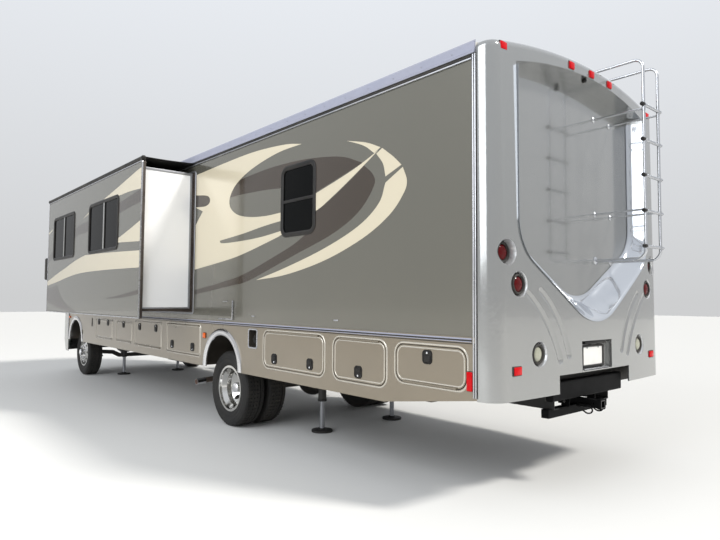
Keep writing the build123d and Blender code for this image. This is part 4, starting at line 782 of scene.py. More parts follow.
# Storage doors: flush painted slabs in a raised aluminium ring, a dark rubber seal in the gap, and
# black paddle latches with a bright lock. The tall hinge rods are the CAD's own.
# A row is a door's side, its four edges, corner radius, latch stations and height, and the lock's end.
storage_doors = (
    (1, -8.19, -7.34, 0.78, 1.09, 0.035, (-8.03, -7.56), 1.047, 1),
    (1, -7.14, -6.45, 0.78, 1.085, 0.035, (-6.82,), 1.043, 1),
    (1, -6.33, -5.33, 0.765, 1.12, 0.035, (-6.14, -5.53), 1.036, 1),
    (1, -5.15, -4.15, 0.755, 1.125, 0.035, (-4.97, -4.36), 0.853, -1),
    (1, -2.70, -1.685, 0.763, 1.126, 0.08, (-2.50, -1.90), 0.855, -1),
    (1, -1.55, -0.885, 0.765, 1.122, 0.08, (-1.22,), 0.85, -1),
    (1, -0.775, -0.085, 0.83, 1.118, 0.08, (-0.448,), 1.035, 1),
    (-1, -7.64, -6.64, 0.765, 1.12, 0.035, (-7.45, -6.83), 0.853, -1),
    (-1, -6.44, -4.24, 0.765, 1.12, 0.035, (-6.2, -5.34, -4.48), 0.853, -1),
    (-1, -2.90, -1.30, 0.765, 1.12, 0.08, (-2.70, -1.50), 0.855, -1),
)
ring_profile = [(0.004, 0.0005), (0.006, 0.004), (0.013, 0.0045), (0.018, 0.0005)]
leaf_profile = [(-0.026, 0.0), (-0.023, 0.0025), (-0.018, 0.0025), (-0.015, 0.0)]
seal_profile = [(-0.0050, -0.010), (-0.0050, -0.004), (-0.0006, -0.002), (-0.0006, -0.010)]
rim_paint = painted("skirt_rim", rgb(196, 190, 178), metal=0.5, flake=0.05, dust=0.25, gloss=0.22)
paddle_black = surface("paddle_black", rgb(9, 9, 10), 0.45, dust=0.05, mottle=0.1, grain=600.0, bump=0.05,
                       Specular_IOR_Level=0.3)
lock_chrome = surface("lock_chrome", rgb(224, 225, 228), 0.12, dust=0.04, mottle=0.02, bump=0.0, Metallic=1.0)


def turned(profile, centre, turn, steps=24):
    """A profile of radii and heights, spun about an axis that points as the turn says: a solid
    where both its ends lie on the axis, and otherwise a ring."""
    shape = bmesh.new()
    rings = []
    for radius, rise in profile:
        if radius < 1e-6:
            rings.append([shape.verts.new((0, 0, rise))])
        else:
            rings.append([shape.verts.new((radius * math.cos(2 * math.pi * i / steps),
                                           radius * math.sin(2 * math.pi * i / steps), rise)) for i in range(steps)])
    pairs = list(zip(rings, rings[1:]))
    if min(profile[0][0], profile[-1][0]) > 1e-6:
        pairs.append((rings[-1], rings[0]))
    for near, far in pairs:
        for i in range(steps):
            j = (i + 1) % steps
            ring = [near[i % len(near)], near[j % len(near)], far[j % len(far)], far[i % len(far)]]
            shape.faces.new(list(dict.fromkeys(ring)))
    from_axis = Matrix.Translation(centre) @ turn
    bmesh.ops.transform(shape, matrix=from_axis, verts=shape.verts)
    bmesh.ops.recalc_face_normals(shape, faces=shape.faces)
    return shape


def turn_to(way):
    """The turn that points a spun shape along a way."""
    return way.to_track_quat("Z", "Y").to_matrix().to_4x4()


left_way = Matrix.Rotation(math.pi / 2, 4, "Y")
right_way = Matrix.Rotation(-math.pi / 2, 4, "Y")
rear_way = Matrix.Rotation(-math.pi / 2, 4, "X")
front_way = Matrix.Rotation(math.pi / 2, 4, "X")
up_way = Matrix.Identity(4)
side_ways = {1: left_way, -1: right_way}


def paddle(side, y, z, lock):
    """A recessed paddle latch in three shapes, and its lock at the top or bottom."""
    x = wall_x
    half_w, half_h = 0.045, 0.049
    dish = moulding(rounded(y - half_w, y + half_w, z - half_h, z + half_h, 0.026),
                    [(-0.008, 0.001), (-0.005, 0.006), (0.001, 0.006), (0.004, 0.0)], x, side)
    plate = slab(rounded(y - half_w + 0.006, y + half_w - 0.006, z - half_h + 0.006, z + half_h - 0.006, 0.021),
                 side * x, side * (x + 0.0025))
    grip_z = z - lock * 0.014
    grip = bar(side * (x + 0.001), side * (x + 0.008), y - 0.031, y + 0.031, grip_z - 0.026, grip_z + 0.022, 0.004)
    barrel = turned([(0, 0), (0.0085, 0), (0.0085, 0.0055), (0.007, 0.007), (0, 0.007)],
                    (side * (x + 0.001), y, z + lock * 0.030), side_ways[side], 16)
    return [dish, plate, grip], barrel


for side, word in both_sides:
    rows = [row for row in storage_doors if row[0] == side]
    rings = []
    for number, (_, *edges, radius, stations, latch_z, lock) in enumerate(rows, start=1):
        opening = rounded(*edges, radius, 8)
        rings.append(moulding(opening, ring_profile, wall_x, side))
        body = f"{word}_bay_door_{number}"
        seal = moulding(opening, seal_profile, wall_x, side)
        piece(f"{word}_bay_{number}_seal", seal, shadow_black)
        edge = moulding(opening, leaf_profile, wall_x, side)
        piece(f"{word}_bay_{number}_edge", edge, rim_paint, body)
        blacks, locks = [], []
        for y in stations:
            black, barrel = paddle(side, y, latch_z, lock)
            blacks += black
            locks.append(barrel)
        piece(f"{word}_bay_{number}_latches", blacks, paddle_black, body)
        piece(f"{word}_bay_{number}_locks", locks, lock_chrome, body)
    piece(f"{word}_bay_rings", rings, rim_paint)


# Fuel filler: the CAD's cup behind an opening in the skirt, with a bright pressed rim and a black
# quarter-turn cap that has a grip bar.
filler = (-3.0, -2.84, 0.943, 1.126, 0.02)
filler_rim = moulding(rounded(*filler, 8), [(-0.002, -0.004), (-0.002, 0.003), (0.004, 0.0055), (0.012, 0.0045),
                                            (0.014, 0.0005), (0.0, 0.0003)], wall_x, 1)
piece("filler_rim", filler_rim, bright_metal)
cap_x, cap_y, cap_z = wall_x - 0.042, -2.92, 1.0245
cap_disc = turned([(0, 0), (0.047, 0), (0.047, 0.010), (0.043, 0.014), (0, 0.014)], (cap_x - 0.001, cap_y, cap_z),
                  left_way, 32)
cap_grip = bar(cap_x + 0.01, cap_x + 0.026, cap_y - 0.034, cap_y + 0.034, cap_z - 0.007, cap_z + 0.007, 0.004)
piece("filler_cap", [cap_disc, cap_grip], paddle_black)


# Side markers: amber and red lenses with moulded ribs, each in a thin black gasket.
def waves(group, where, axes, pitch):
    """A sine wave along each axis."""
    parts = split(group, where)
    return [maths(group, "SINE", maths(group, "MULTIPLY", parts[axis], pitch)) for axis in axes]


ribbed, given, where = surface_group("ribbed_lens", Colour=(0.5, 0.1, 0.02, 1), Pitch=700.0)
ribs = waves(ribbed, where, "YZX", given["Pitch"])
crossed = maths(ribbed, "ADD", maths(ribbed, "ADD", ribs[0], ribs[1]), ribs[2])
depth = ranged(ribbed, crossed, -3.0, 3.0)
shade = ranged(ribbed, depth, to_low=0.72, to_high=1.2)
end_group(ribbed, brightened(ribbed, shade, given["Colour"]), ranged(ribbed, depth, to_low=0.06, to_high=0.16), depth)


def lens(name, colour, pitch=900.0, bump=0.25, **values):
    return finish_of(name, ribbed, {"Colour": (*colour, 1), "Pitch": pitch},
                     {key.replace("_", " "): value for key, value in values.items()}, bump, 0.001)


red_lens = lens("red_lens", rgb(200, 2, 14), Specular_IOR_Level=0.15, Coat_Weight=0.05, Coat_Roughness=0.06)
deep_red = lens("deep_red_lens", rgb(82, 0, 2), 700.0, Specular_IOR_Level=0.15, Coat_Weight=0.05,
                Coat_Roughness=0.05)
amber_lens = lens("amber_lens", rgb(224, 96, 10), Specular_IOR_Level=0.25, Coat_Weight=0.2, Coat_Roughness=0.05)
clear_lens = lens("clear_lens", rgb(158, 158, 140), 600.0, Coat_Weight=0.5, Coat_Roughness=0.03)


def side_marker(name, y0, y1, z0, z1, side, material):
    """A domed lens on a black gasket on the wall."""
    dome = bar(side * (wall_x + 0.001), side * (wall_x + 0.016), y0, y1, z0, z1, 0.005, 3)
    piece(name, dome, material)
    gasket = bar(side * wall_x, side * (wall_x + 0.005), y0 - 0.004, y1 + 0.004, z0 - 0.004, z1 + 0.004, 0.002)
    piece(name + "_gasket", gasket, shadow_black)


for side, word in both_sides:
    side_marker(f"{word}_amber_marker", -4.061, -3.999, 0.982, 1.044, side, amber_lens)
    side_marker(f"{word}_front_marker", -9.85, -9.775, 1.062, 1.102, side, amber_lens)
    side_marker(f"{word}_rear_reflector", -0.078, -0.03, 0.835, 0.965, side, red_lens)


# Wheel arches: polished stainless lips pressed over the moulded flare, with a rolled inner edge
# and small screws. They come down to the skirt's edge at both ends.
polished_steel = surface("polished_stainless", rgb(214, 214, 216), 0.14, dust=0.12, mottle=0.05, grain=60.0, bump=0.04,
                         Metallic=1.0)
arch_centre_z = 0.655
arch_inner = 0.385
arch_outer = 0.454
arch_steps = 40


def arch_lip(station, side):
    """Half a ring, swept with a rounded section over the flare."""
    section = [(arch_inner - 0.004, -0.006), (arch_inner - 0.004, 0.009), (arch_inner + 0.002, 0.013),
               (arch_inner + 0.022, 0.0165), (arch_outer - 0.018, 0.0155), (arch_outer + 0.001, 0.010),
               (arch_outer + 0.003, 0.001), (arch_inner + 0.002, 0.0005)]
    rings = []
    for step in range(arch_steps + 1):
        turn = math.pi * step / arch_steps
        rings.append([(side * (wall_x + rise), station + radius * math.cos(turn),
                       arch_centre_z + radius * math.sin(turn)) for radius, rise in section])
    return skinned(rings, closed=False)


front_axle_y, rear_axle_y = -9.39, -3.6
screw_reach = (arch_inner + arch_outer) / 2
for side, word in both_sides:
    lips, heads = [], []
    for station in (front_axle_y, rear_axle_y):
        lips.append(arch_lip(station, side))
        for step in range(7):
            angle = math.radians(15 + 25 * step)
            heads.append(turned([(0, 0), (0.005, 0), (0.004, 0.0025), (0, 0.003)],
                                (side * (wall_x + 0.0155), station + screw_reach * math.cos(angle),
                                 arch_centre_z + screw_reach * math.sin(angle)), side_ways[side], 12))
    piece(f"{word}_arch_lips", lips, polished_steel)
    piece(f"{word}_arch_screws", heads, screw_metal)


# Rear cap: its lamps in moulded pods with black bezels, red lenses above and clear ones below, low
# reflectors, five clearance lamps on the brow, a camera under it, and the blank plate in its recess.
def faces_of(mesh):
    """A mesh's faces as a tree for rays."""
    return BVHTree.FromPolygons([v.co for v in mesh.vertices], [tuple(p.vertices) for p in mesh.polygons])


cap_surface = faces_of(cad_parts["rear_cap"].data)


def cap_face_y(x, z):
    """The rear cap's outer face at x and a height, found by a ray from behind."""
    hit = cap_surface.ray_cast(to_frame @ Vector((x, 1.0, z)), Vector((0, -1, 0)))[0]
    return hit.y - to_frame.translation.y


def pod_ring(x, floor_y, z, steps=48):
    """The pod wall, a cone from the black ring up to the cap's face, painted paler than the cap as a painted highlight.
    """
    rings = []
    for step in range(steps):
        across, up = math.cos(2 * math.pi * step / steps), math.sin(2 * math.pi * step / steps)
        edge_y = cap_face_y(x + 0.094 * across, z + 0.094 * up) - 0.0008
        rings.append([(x + radius * across, y, z + radius * up) for radius, y in (
            (0.0738, floor_y - 0.002), (0.0738, floor_y + 0.003), (0.0905, edge_y), (0.0916, edge_y),
            (0.0916, floor_y - 0.002))])
    return skinned(rings)


lamp_pods = ((1.141, 1.782, deep_red), (1.020, 1.564, deep_red), (0.800, 1.071, clear_lens))
bezels, pod_rings = [], []
for x, z, glass in lamp_pods:
    for side in (-1, 1):
        at = (side * x, cap_face_y(side * x, z), z)
        bezels.append(turned([(0, -0.002), (0.0735, -0.002), (0.0735, 0.014), (0.071, 0.024), (0.066, 0.028),
                              (0.059, 0.026), (0.055, 0.020), (0.054, 0.010), (0, 0.010)], at, rear_way, 48))
        pod_rings.append(pod_ring(*at))
        domed = turned([(0, 0.006), (0.0535, 0.006), (0.0535, 0.014), (0.048, 0.0195), (0.034, 0.0235), (0.017, 0.0255),
                        (0, 0.026)], at, rear_way, 48)
        piece(f"{'left' if side > 0 else 'right'}_lamp_{round(z * 1000)}", domed, glass)
gasket = piece("lamp_bezels", bezels, shadow_black)
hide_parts("rear_lamps")
# The pod walls are the cap's silver painted paler: a painted highlight where they face the sky.
pod_painted_highlight = surface("lamp_pod_painted_highlight", rgb(206, 207, 208), 0.22, dust=0.03, mottle=0.03, bump=0.02, Metallic=0.55,
                     Coat_Weight=0.6)
piece("lamp_pod_rings", pod_rings, pod_painted_highlight)

low_reflectors, pads = [], []
for side in (-1, 1):
    x = side * 1.06
    y = min(cap_face_y(x - 0.043, 0.97), cap_face_y(x + 0.043, 0.97))
    low_reflectors.append(bar(x - 0.043, x + 0.043, y - 0.006, y + 0.014, 0.944, 1.0, 0.004, 2))
    pads.append(bar(x - 0.048, x + 0.048, y - 0.008, y + 0.007, 0.939, 1.005, 0.002))
piece("low_reflectors", low_reflectors, red_lens)
piece("low_reflector_gaskets", pads, shadow_black)

lamps, pads = [], []
for x, z in ((-1.15, 3.215), (-0.31, 3.292), (0.0, 3.30), (0.31, 3.292), (1.15, 3.215)):
    y = min(cap_face_y(x, z - 0.03), cap_face_y(x, z + 0.03))
    lamps.append(bar(x - 0.036, x + 0.036, y - 0.008, y + 0.014, z - 0.029, z + 0.029, 0.009, 3))
    pads.append(bar(x - 0.039, x + 0.039, y - 0.010, y + 0.003, z - 0.032, z + 0.032, 0.003))
piece("clearance_lamps", lamps, red_lens)
piece("clearance_lamp_gaskets", pads, shadow_black)
soffit_z = 3.258
camera_shell = [bar(0.035, 0.065, 0.118, 0.150, soffit_z - 0.026, soffit_z + 0.004, 0.005),
                turned([(0, 0), (0.009, 0), (0.009, 0.006), (0, 0.007)], (0.05, 0.149, soffit_z - 0.012), rear_way, 24)]
piece("rear_camera", camera_shell, paddle_black)

plate_back_y = cap_face_y(0.0, 1.02)
frame_profile_thin = [(-0.010, 0.0), (-0.010, 0.010), (-0.006, 0.013), (0.004, 0.013), (0.007, 0.009), (0.007, 0.0)]


def on_rear(shape, y):
    """Turns a shape that was drawn on a side face at x = 0 so that it lies on a rear face at y."""
    bmesh.ops.transform(shape, matrix=Matrix(((0, -1, 0, 0), (1, 0, 0, y), (0, 0, 1, 0), (0, 0, 0, 1))),
                        verts=shape.verts)
    return shape


plate_hole = rounded(-0.165, 0.165, 0.937, 1.098, 0.008)
piece("plate_frame", on_rear(moulding(plate_hole, frame_profile_thin, 0.0, 1), plate_back_y), black_trim)
plate = on_rear(slab(plate_hole, 0.001, 0.005), plate_back_y)
plate_white = surface("plate_enamel", rgb(232, 232, 228), 0.35, dust=0.1, bump=0.03, Coat_Weight=0.3)
piece("blank_plate", plate, plate_white)
bolts = [turned([(0, 0), (0.007, 0), (0.007, 0.004), (0.004, 0.006), (0, 0.006)], (x, plate_back_y + 0.004, 1.083),
                rear_way, 12) for x in (-0.09, 0.09)]
piece("plate_bolts", bolts, screw_metal)
lamp_bar = [bar(x - half, x + half, plate_back_y + back, plate_back_y + front, z0, z1, bevel)
            for x, half, back, front, z0, z1, bevel in ((0.0, 0.17, -0.002, 0.034, 1.112, 1.140, 0.006),
                                                        (-0.07, 0.018, 0.010, 0.030, 1.106, 1.113, 0.002),
                                                        (0.07, 0.018, 0.010, 0.030, 1.106, 1.113, 0.002))]
piece("plate_lamp", lamp_bar, paddle_black)
sill = bar(-0.195, 0.195, plate_back_y - 0.002, plate_back_y + 0.043, 0.917, 0.925, 0.003)
piece("plate_sill", sill, bright_metal)


# The recess in the rear cap: its sides and the crescent ledge under it are one smooth moulded
# surface, from a small cove at the back panel to a crisp edge on the cap's bowed face. It is pushed
# a little clear of the CAD's facets, which lie under it.
def corner_arc(before, here, after, radius, steps):
    """The round at a corner that stands between two others."""
    here = Vector(here)
    back, ahead = (Vector(before) - here).normalized(), (Vector(after) - here).normalized()
    half = back.angle(ahead) / 2
    reach = radius / math.tan(half)
    middle = here + (back + ahead).normalized() * (radius / math.sin(half))
    first, final = here + back * reach - middle, here + ahead * reach - middle
    sweep = math.atan2(first.x * final.y - first.y * final.x, first.dot(final))
    turns = [sweep * step / steps for step in range(steps + 1)]
    return [middle + Vector((first.x * math.cos(turn) - first.y * math.sin(turn),
                             first.x * math.sin(turn) + first.y * math.cos(turn))) for turn in turns]


def filleted(corners, radii, arc_steps=14, side_steps=8):
    """An open run through corners in x and z, with a round at each inner corner."""
    run = [Vector(corners[0])]
    for i, radius in enumerate(radii, start=1):
        arc = corner_arc(*corners[i - 1:i + 2], radius, arc_steps)
        last = run[-1]
        run += [last.lerp(arc[0], step / side_steps) for step in range(1, side_steps)] + arc
    last = run[-1]
    return run + [last.lerp(Vector(corners[-1]), step / side_steps) for step in range(1, side_steps + 1)]


def shield_run(half, foot, point, corner, nose, top=3.115):
    """The recess outline from its left top corner down round the point to the right one."""
    return filleted([(-half, top), (-half, foot), (0.0, point), (half, foot), (half, top)], [corner, nose, corner])


mouth_run = shield_run(1.035, 1.803, 1.193, 0.360, 0.590)
back_run = shield_run(0.985, 1.930, 1.385, 0.330, 0.540)
mouth_y, back_y, cap_bow, cap_half = 0.195, 0.010, 0.050, 1.295
cove = (0.0, 0.02, 0.05, 0.09, 0.14, 0.20, 0.30, 0.45, 0.60, 0.75, 0.90, 1.0)
ledge = bmesh.new()
upper, lower = [], []
for i, (front, behind) in enumerate(zip(mouth_run, back_run)):
    along = (back_run[min(i + 1, len(back_run) - 1)] - back_run[max(i - 1, 0)]).normalized()
    inward = Vector((-along.y, along.x))
    reach = (mouth_y - cap_bow * (front.x / cap_half) ** 2 - back_y) / (mouth_y - back_y) - 0.004
    tops, unders = [], []
    for share in cove:
        part = share * reach
        flat = behind.lerp(front, part) + inward * (0.0022 + 0.030 * math.exp(-share * 14))
        spot = Vector((flat.x, back_y + (mouth_y - back_y) * part + 0.0015, flat.y))
        for _ in range(2):
            wall, out, _, _ = cap_surface.find_nearest(to_frame @ spot)
            short = (0.0015 if share == 1.0 else 0.0035) - ((to_frame @ spot) - wall).dot(out)
            if short > 0:
                spot = spot + out * short
        tops.append(ledge.verts.new(spot))
        unders.append(ledge.verts.new(spot - Vector((inward.x, 0, inward.y)) * 0.0012))
    upper.append(tops)
    lower.append(unders)
for rows in (upper, lower):
    for near, far in zip(rows, rows[1:]):
        for j in range(len(cove) - 1):
            ledge.faces.new((near[j], far[j], far[j + 1], near[j + 1]))
for rim_of in (lambda rows: [row[0] for row in rows], lambda rows: [row[-1] for row in rows],
               lambda rows: rows[0], lambda rows: rows[-1]):
    high, low = rim_of(upper), rim_of(lower)
    for a, b, c, d in zip(high, high[1:], low[1:], low):
        ledge.faces.new((a, b, c, d))
bmesh.ops.recalc_face_normals(ledge, faces=ledge.faces)
# The ledge is painted a lighter silver than the cap around it: a painted highlight for the light its upward face
# catches.
ledge_painted_highlight = painted("ledge_gel_coat_painted_highlight", rgb(196, 200, 206), metal=0.8, flake=0.03, dust=0.03, gloss=0.1, coat=0.8)
piece("recess_ledge", ledge, ledge_painted_highlight, sharp=50)


# Slide-out room: a white shell whose pewter outer wall laps over the opening. The wall carries an
# aluminium flange and a rubber bulb; the room carries edge trims, wiper seals and corner angles.
seal_brown = surface("brown_seal_rubber", rgb(46, 36, 31), 0.6, dust=0.15, mottle=0.12, grain=400.0, bump=0.15)
room_lap = 0.060
opening = rounded(slide_front + room_lap - 0.010, slide_rear - room_lap + 0.010, 1.29, 3.03, 0.005, 2)
flange_profile = [(0.001, 0.0004), (0.001, 0.0035), (0.030, 0.0035), (0.034, 0.0004)]
piece("slide_flange", moulding(opening, flange_profile, wall_x, 1), satin_metal)
piece("slide_bulb", moulding(opening, [(-0.004, 0.002), (-0.0045, 0.006), (-0.001, 0.0095), (0.006, 0.0098),
                                       (0.010, 0.007), (0.011, 0.003)], wall_x, 1), seal_brown)
flange_screws = [screw_row((wall_x + 0.0045, y, 1.36), (0, 0, 0.2), 9, to_left, sides=10)
                 for y in (slide_front + 0.028, slide_rear - 0.028)]
piece("slide_flange_screws", flange_screws, screw_metal)

lap = rounded(slide_front, slide_rear, slide_low, slide_top, 0.02, 6)
room_edge = [(-0.013, 0.0003), (-0.012, 0.0022), (0.0016, 0.0022), (0.0016, -0.011), (0.0003, -0.011), (0.0003, 0.0003)]
piece("slide_edge_trim", moulding(lap, room_edge, slide_x, 1), bright_metal, "slide_out_room")
edge_seal = [moulding(lap, profile, slide_x, 1)
             for profile in ([(-0.0185, 0.0003), (-0.0180, 0.0014), (-0.0140, 0.0014), (-0.0135, 0.0003)],
                             [(0.0004, -0.0385), (0.0016, -0.0385), (0.0016, -0.0120), (0.0004, -0.0120)],
                             [(-0.012, -0.0405), (-0.012, -0.0445), (-0.003, -0.0445), (-0.003, -0.0405)])]
piece("slide_edge_seal", edge_seal, seal_brown, "slide_out_room")

shell_front, shell_rear = slide_front + room_lap, slide_rear - room_lap
shell_low, shell_top = 1.30, 3.02
wall_back = slide_x - room_wall_t
wiper_x, angle_x = 1.327, 1.354
angles, wipers = [], []
for end_y, out in ((shell_front, -1), (shell_rear, 1)):
    lap_y = (end_y, end_y + out * 0.003)
    angles += [bar(1.328, angle_x, *lap_y, shell_low + 0.030, shell_top, 0.0008),
               bar(angle_x, wall_back, *lap_y, shell_top - 0.032, shell_top, 0.0008),
               bar(angle_x, wall_back, *lap_y, shell_low + 0.030, shell_low + 0.044, 0.0008)]
    wipe_y = (end_y, end_y + out * 0.0025)
    wipers += [bar(1.302, wiper_x, *wipe_y, shell_low, shell_top, 0.0008),
               bar(wiper_x, wall_back, *wipe_y, shell_low, shell_low + 0.029, 0.0008)]
wipers.append(bar(1.215, slide_x - 0.041, shell_front + 0.01, shell_rear - 0.01, shell_low - 0.003, shell_low + 0.001))
piece("slide_corner_angles", angles, satin_metal, "slide_out_room")
piece("slide_wipers", wipers, seal_brown, "slide_out_room")
angle_screws = [screw_row((1.341, shell_rear + 0.0035, 1.42), (0, 0, 0.18), 9, to_rear, 0.0036, sides=10),
                screw_row((1.42, shell_rear + 0.0035, shell_top - 0.016), (0.12, 0, 0), 5, to_rear, 0.0036, sides=10)]
piece("slide_angle_screws", angle_screws, screw_metal, "slide_out_room")


# Topper: black vinyl-coated cloth from a rail on the wall to a spring roller on the room's top
# edge. It is stretched and sags a little between its hems.
woven, given, where = surface_group("woven_cloth", Colour=(0.02, 0.02, 0.02, 1), Roughness=0.6, Thread=1500.0, Fade=0.2)
threads = waves(woven, where, "XYZ", given["Thread"])
crossed = maths(woven, "MAXIMUM", maths(woven, "MAXIMUM", threads[0], threads[1]), threads[2])
weave = ranged(woven, crossed, -1.0, 1.0)
worn = ranged(woven, noise(woven, where, Scale=2.2, Detail=4.0, Roughness=0.6), 0.4, 0.75)
faded = maths(woven, "MULTIPLY", worn, given["Fade"], use_clamp=True)
toned = brightened(woven, ranged(woven, weave, to_low=0.82, to_high=1.12), given["Colour"])
end_group(woven, blended(woven, faded, toned, (*rgb(150, 146, 140), 1)),
          maths(woven, "MULTIPLY_ADD", faded, 0.3, given["Roughness"], use_clamp=True), weave)


def cloth(name, colour, roughness=0.7, thread=1500.0, fade=0.15, bump=0.35, **values):
    """A woven finish with threads in both directions and a little fading."""
    return finish_of(name, woven, {"Colour": (*colour, 1), "Roughness": roughness, "Thread": thread, "Fade": fade},
                     {key.replace("_", " "): value for key, value in values.items()}, bump, 0.0008)


def sheet_along(path_at, y0, y1, steps, thick):
    """A thin sheet: a run of points in x and z for each station in y, with a back that follows it."""
    shape = bmesh.new()
    grid = []
    for step in range(steps + 1):
        y = y0 + (y1 - y0) * step / steps
        grid.append([shape.verts.new((x, y, z)) for x, z in path_at(y)])
    for near, far in zip(grid, grid[1:]):
        for j in range(len(near) - 1):
            shape.faces.new((near[j], far[j], far[j + 1], near[j + 1]))
    bmesh.ops.recalc_face_normals(shape, faces=shape.faces)
    if shape.faces[0].normal.z < 0:
        bmesh.ops.reverse_faces(shape, faces=shape.faces)
    bmesh.ops.solidify(shape, geom=shape.faces[:], thickness=thick)
    bmesh.ops.recalc_face_normals(shape, faces=shape.faces)
    return shape


topper_wall_x, topper_roller_x = wall_x + 0.011, 1.965
topper_wall_z, topper_fall, topper_sag = 3.1555, 0.0145, 0.010
topper_steps = 24
topper_front, topper_rear = shell_front, shell_rear


def topper_line(y, lift=0.0):
    """The cloth's run from the wall to the roller at one station, with its sag and faint ripples."""
    run = []
    for step in range(topper_steps + 1):
        t = step / topper_steps
        sag = topper_sag * math.sin(math.pi * t) * (1.0 + 0.25 * math.sin(1.9 * y) + 0.12 * math.sin(7.3 * y))
        run.append((topper_wall_x + (topper_roller_x - topper_wall_x) * t,
                    topper_wall_z - topper_fall * t - sag + lift))
    return run


topper_black = cloth("topper_vinyl_cloth", rgb(16, 16, 17), 0.55, 1400.0, fade=0.08, Specular_IOR_Level=0.35)
topper_sheet = sheet_along(topper_line, topper_front, topper_rear, 84, 0.0009)
topper = piece("topper_cloth", topper_sheet, topper_black)
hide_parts("topper_fabric")
hems = [sheet_along(lambda y: topper_line(y, 0.0012), y0, y0 + 0.032, 2, 0.0009)
        for y0 in (topper_front, topper_rear - 0.032)]
hem = piece("topper_hems", hems, topper_black)
stitch_thread = cloth("black_thread", rgb(40, 40, 42), 0.6, 3000.0)
stitch_rows = []
for y in (topper_front + 0.006, topper_front + 0.026, topper_rear - 0.026, topper_rear - 0.006):
    for (xa, za), (xb, zb) in zip(topper_line(y, 0.0027), topper_line(y, 0.0027)[1:]):
        stitch_rows.append(grown(slat_row, start=(xa, y, za), step=((xb - xa) / 3, 0, (zb - za) / 3), count=3,
                                 size=(0.006, 0.0012, 0.001), material=stitch_thread))
stitches = piece("topper_stitches", stitch_rows, stitch_thread)
for part_of_topper in (topper, hem, stitches):
    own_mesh(part_of_topper)
roller_finish = other_side(surface("topper_roll", rgb(18, 18, 19), 0.55, dust=0.08, mottle=0.2, grain=900.0, bump=0.2,
                                   Specular_IOR_Level=0.35), rgb(38, 38, 40), 0.0, "Y", 2.128,
                           to_frame.translation.y + (slide_front + slide_rear) / 2, mirrored=True)
dress(roller_finish, "topper_roller")
roller_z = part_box("topper_roller")[1].z - 0.028
end_caps = [turned([(0, -0.002), (0.031, -0.002), (0.031, 0.003), (0.026, 0.006), (0.010, 0.006), (0.008, 0.010),
                    (0, 0.010)], (topper_roller_x, y, roller_z), way, 32)
            for y, way in ((slide_front - 0.001, front_way), (slide_rear + 0.001, rear_way))]
piece("topper_end_caps", end_caps, black_trim, "slide_out_room")


# Patio awning on the passenger's side, stowed: a roll of plain grey vinyl in a white metal
# cover, held by two folded arms of extruded aluminium that are screwed to the wall.
awning_metal = surface("awning_aluminium", rgb(214, 214, 212), 0.35, dust=0.15, mottle=0.05, grain=300.0, bump=0.05,
                       Metallic=0.3, Coat_Weight=0.2)
dress(awning_metal, "patio_awning")
awning_x, awning_z = -(wall_x + 0.075), wall_top - 0.100
awning_low, awning_high = -7.70, -2.50
cover_steps = [(awning_x + 0.0495 * math.cos(math.radians(turn)), awning_z + 0.0495 * math.sin(math.radians(turn)))
               for turn in range(60, 271, 10)]
awning_roll = sheet_along(lambda y: cover_steps, awning_low + 0.07, awning_high - 0.07, 12, 0.001)
awning_vinyl = cloth("awning_vinyl", rgb(120, 118, 112), 0.5, 1200.0, fade=0.12)
piece("awning_roll", awning_roll, awning_vinyl)
caps = [turned([(0, 0.0), (0.0475, 0.0), (0.0475, 0.002), (0.040, 0.005), (0.016, 0.005), (0.014, 0.009), (0, 0.009)],
               (awning_x, y, awning_z), way, 32) for y, way in ((awning_low, front_way), (awning_high, rear_way))]
piece("awning_end_caps", caps, black_trim)
arm_shapes = []
arm_x, pad_x = -(wall_x + 0.060), -(wall_x + 0.066)
for y in (awning_low + 0.03, -2.53):
    arm_shapes.append(bar(arm_x, pad_x, y - 0.012, y + 0.012, 1.56, 2.96, 0.002))
    arm_shapes.append(bar(pad_x, -(wall_x + 0.074), y - 0.018, y + 0.018, 1.60, 1.70, 0.004))
    for z in (1.53, 2.10, 2.70):
        arm_shapes.append(turned([(0, 0), (0.008, 0), (0.008, 0.005), (0, 0.006)], (arm_x, y, z), right_way, 6))
piece("awning_arm_fittings", arm_shapes, black_trim)


# Roof: one white rubber membrane over the crown, held at both edges by the grey rails. Beads of
# self-levelling sealant run round everything that stands on it, and dirt gathers along them.
membrane = surface("roof_membrane", rgb(222, 222, 217), 0.62, dust=0.3, mottle=0.05, grain=140.0, bump=0.15)
dress(membrane, "roof")
roof_surface = faces_of(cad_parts["roof"].data)


def roof_z(x, y):
    """Height of the roof's outer face, found by a ray from above."""
    hit = roof_surface.ray_cast(to_frame @ Vector((x, y, 5.0)), Vector((0, 0, -1)))[0]
    return hit.z


def bead(points, radius, squash_by=0.45, sides=8):
    """A flattened round bead laid on the roof along a closed outline in x and y."""
    rings = []
    for i, (x, y) in enumerate(points):
        along = (Vector(points[(i + 1) % len(points)]) - Vector(points[i - 1])).normalized()
        across = Vector((along.y, -along.x))
        wide = radius * (1.0 + 0.18 * math.sin(i * 1.7) + 0.1 * math.sin(i * 0.61))
        turns = [2 * math.pi * j / sides for j in range(sides)]
        rings.append([(x + across.x * wide * math.cos(turn), y + across.y * wide * math.cos(turn),
                       roof_z(x, y) + radius * squash_by * math.sin(turn)) for turn in turns])
    return skinned(rings)


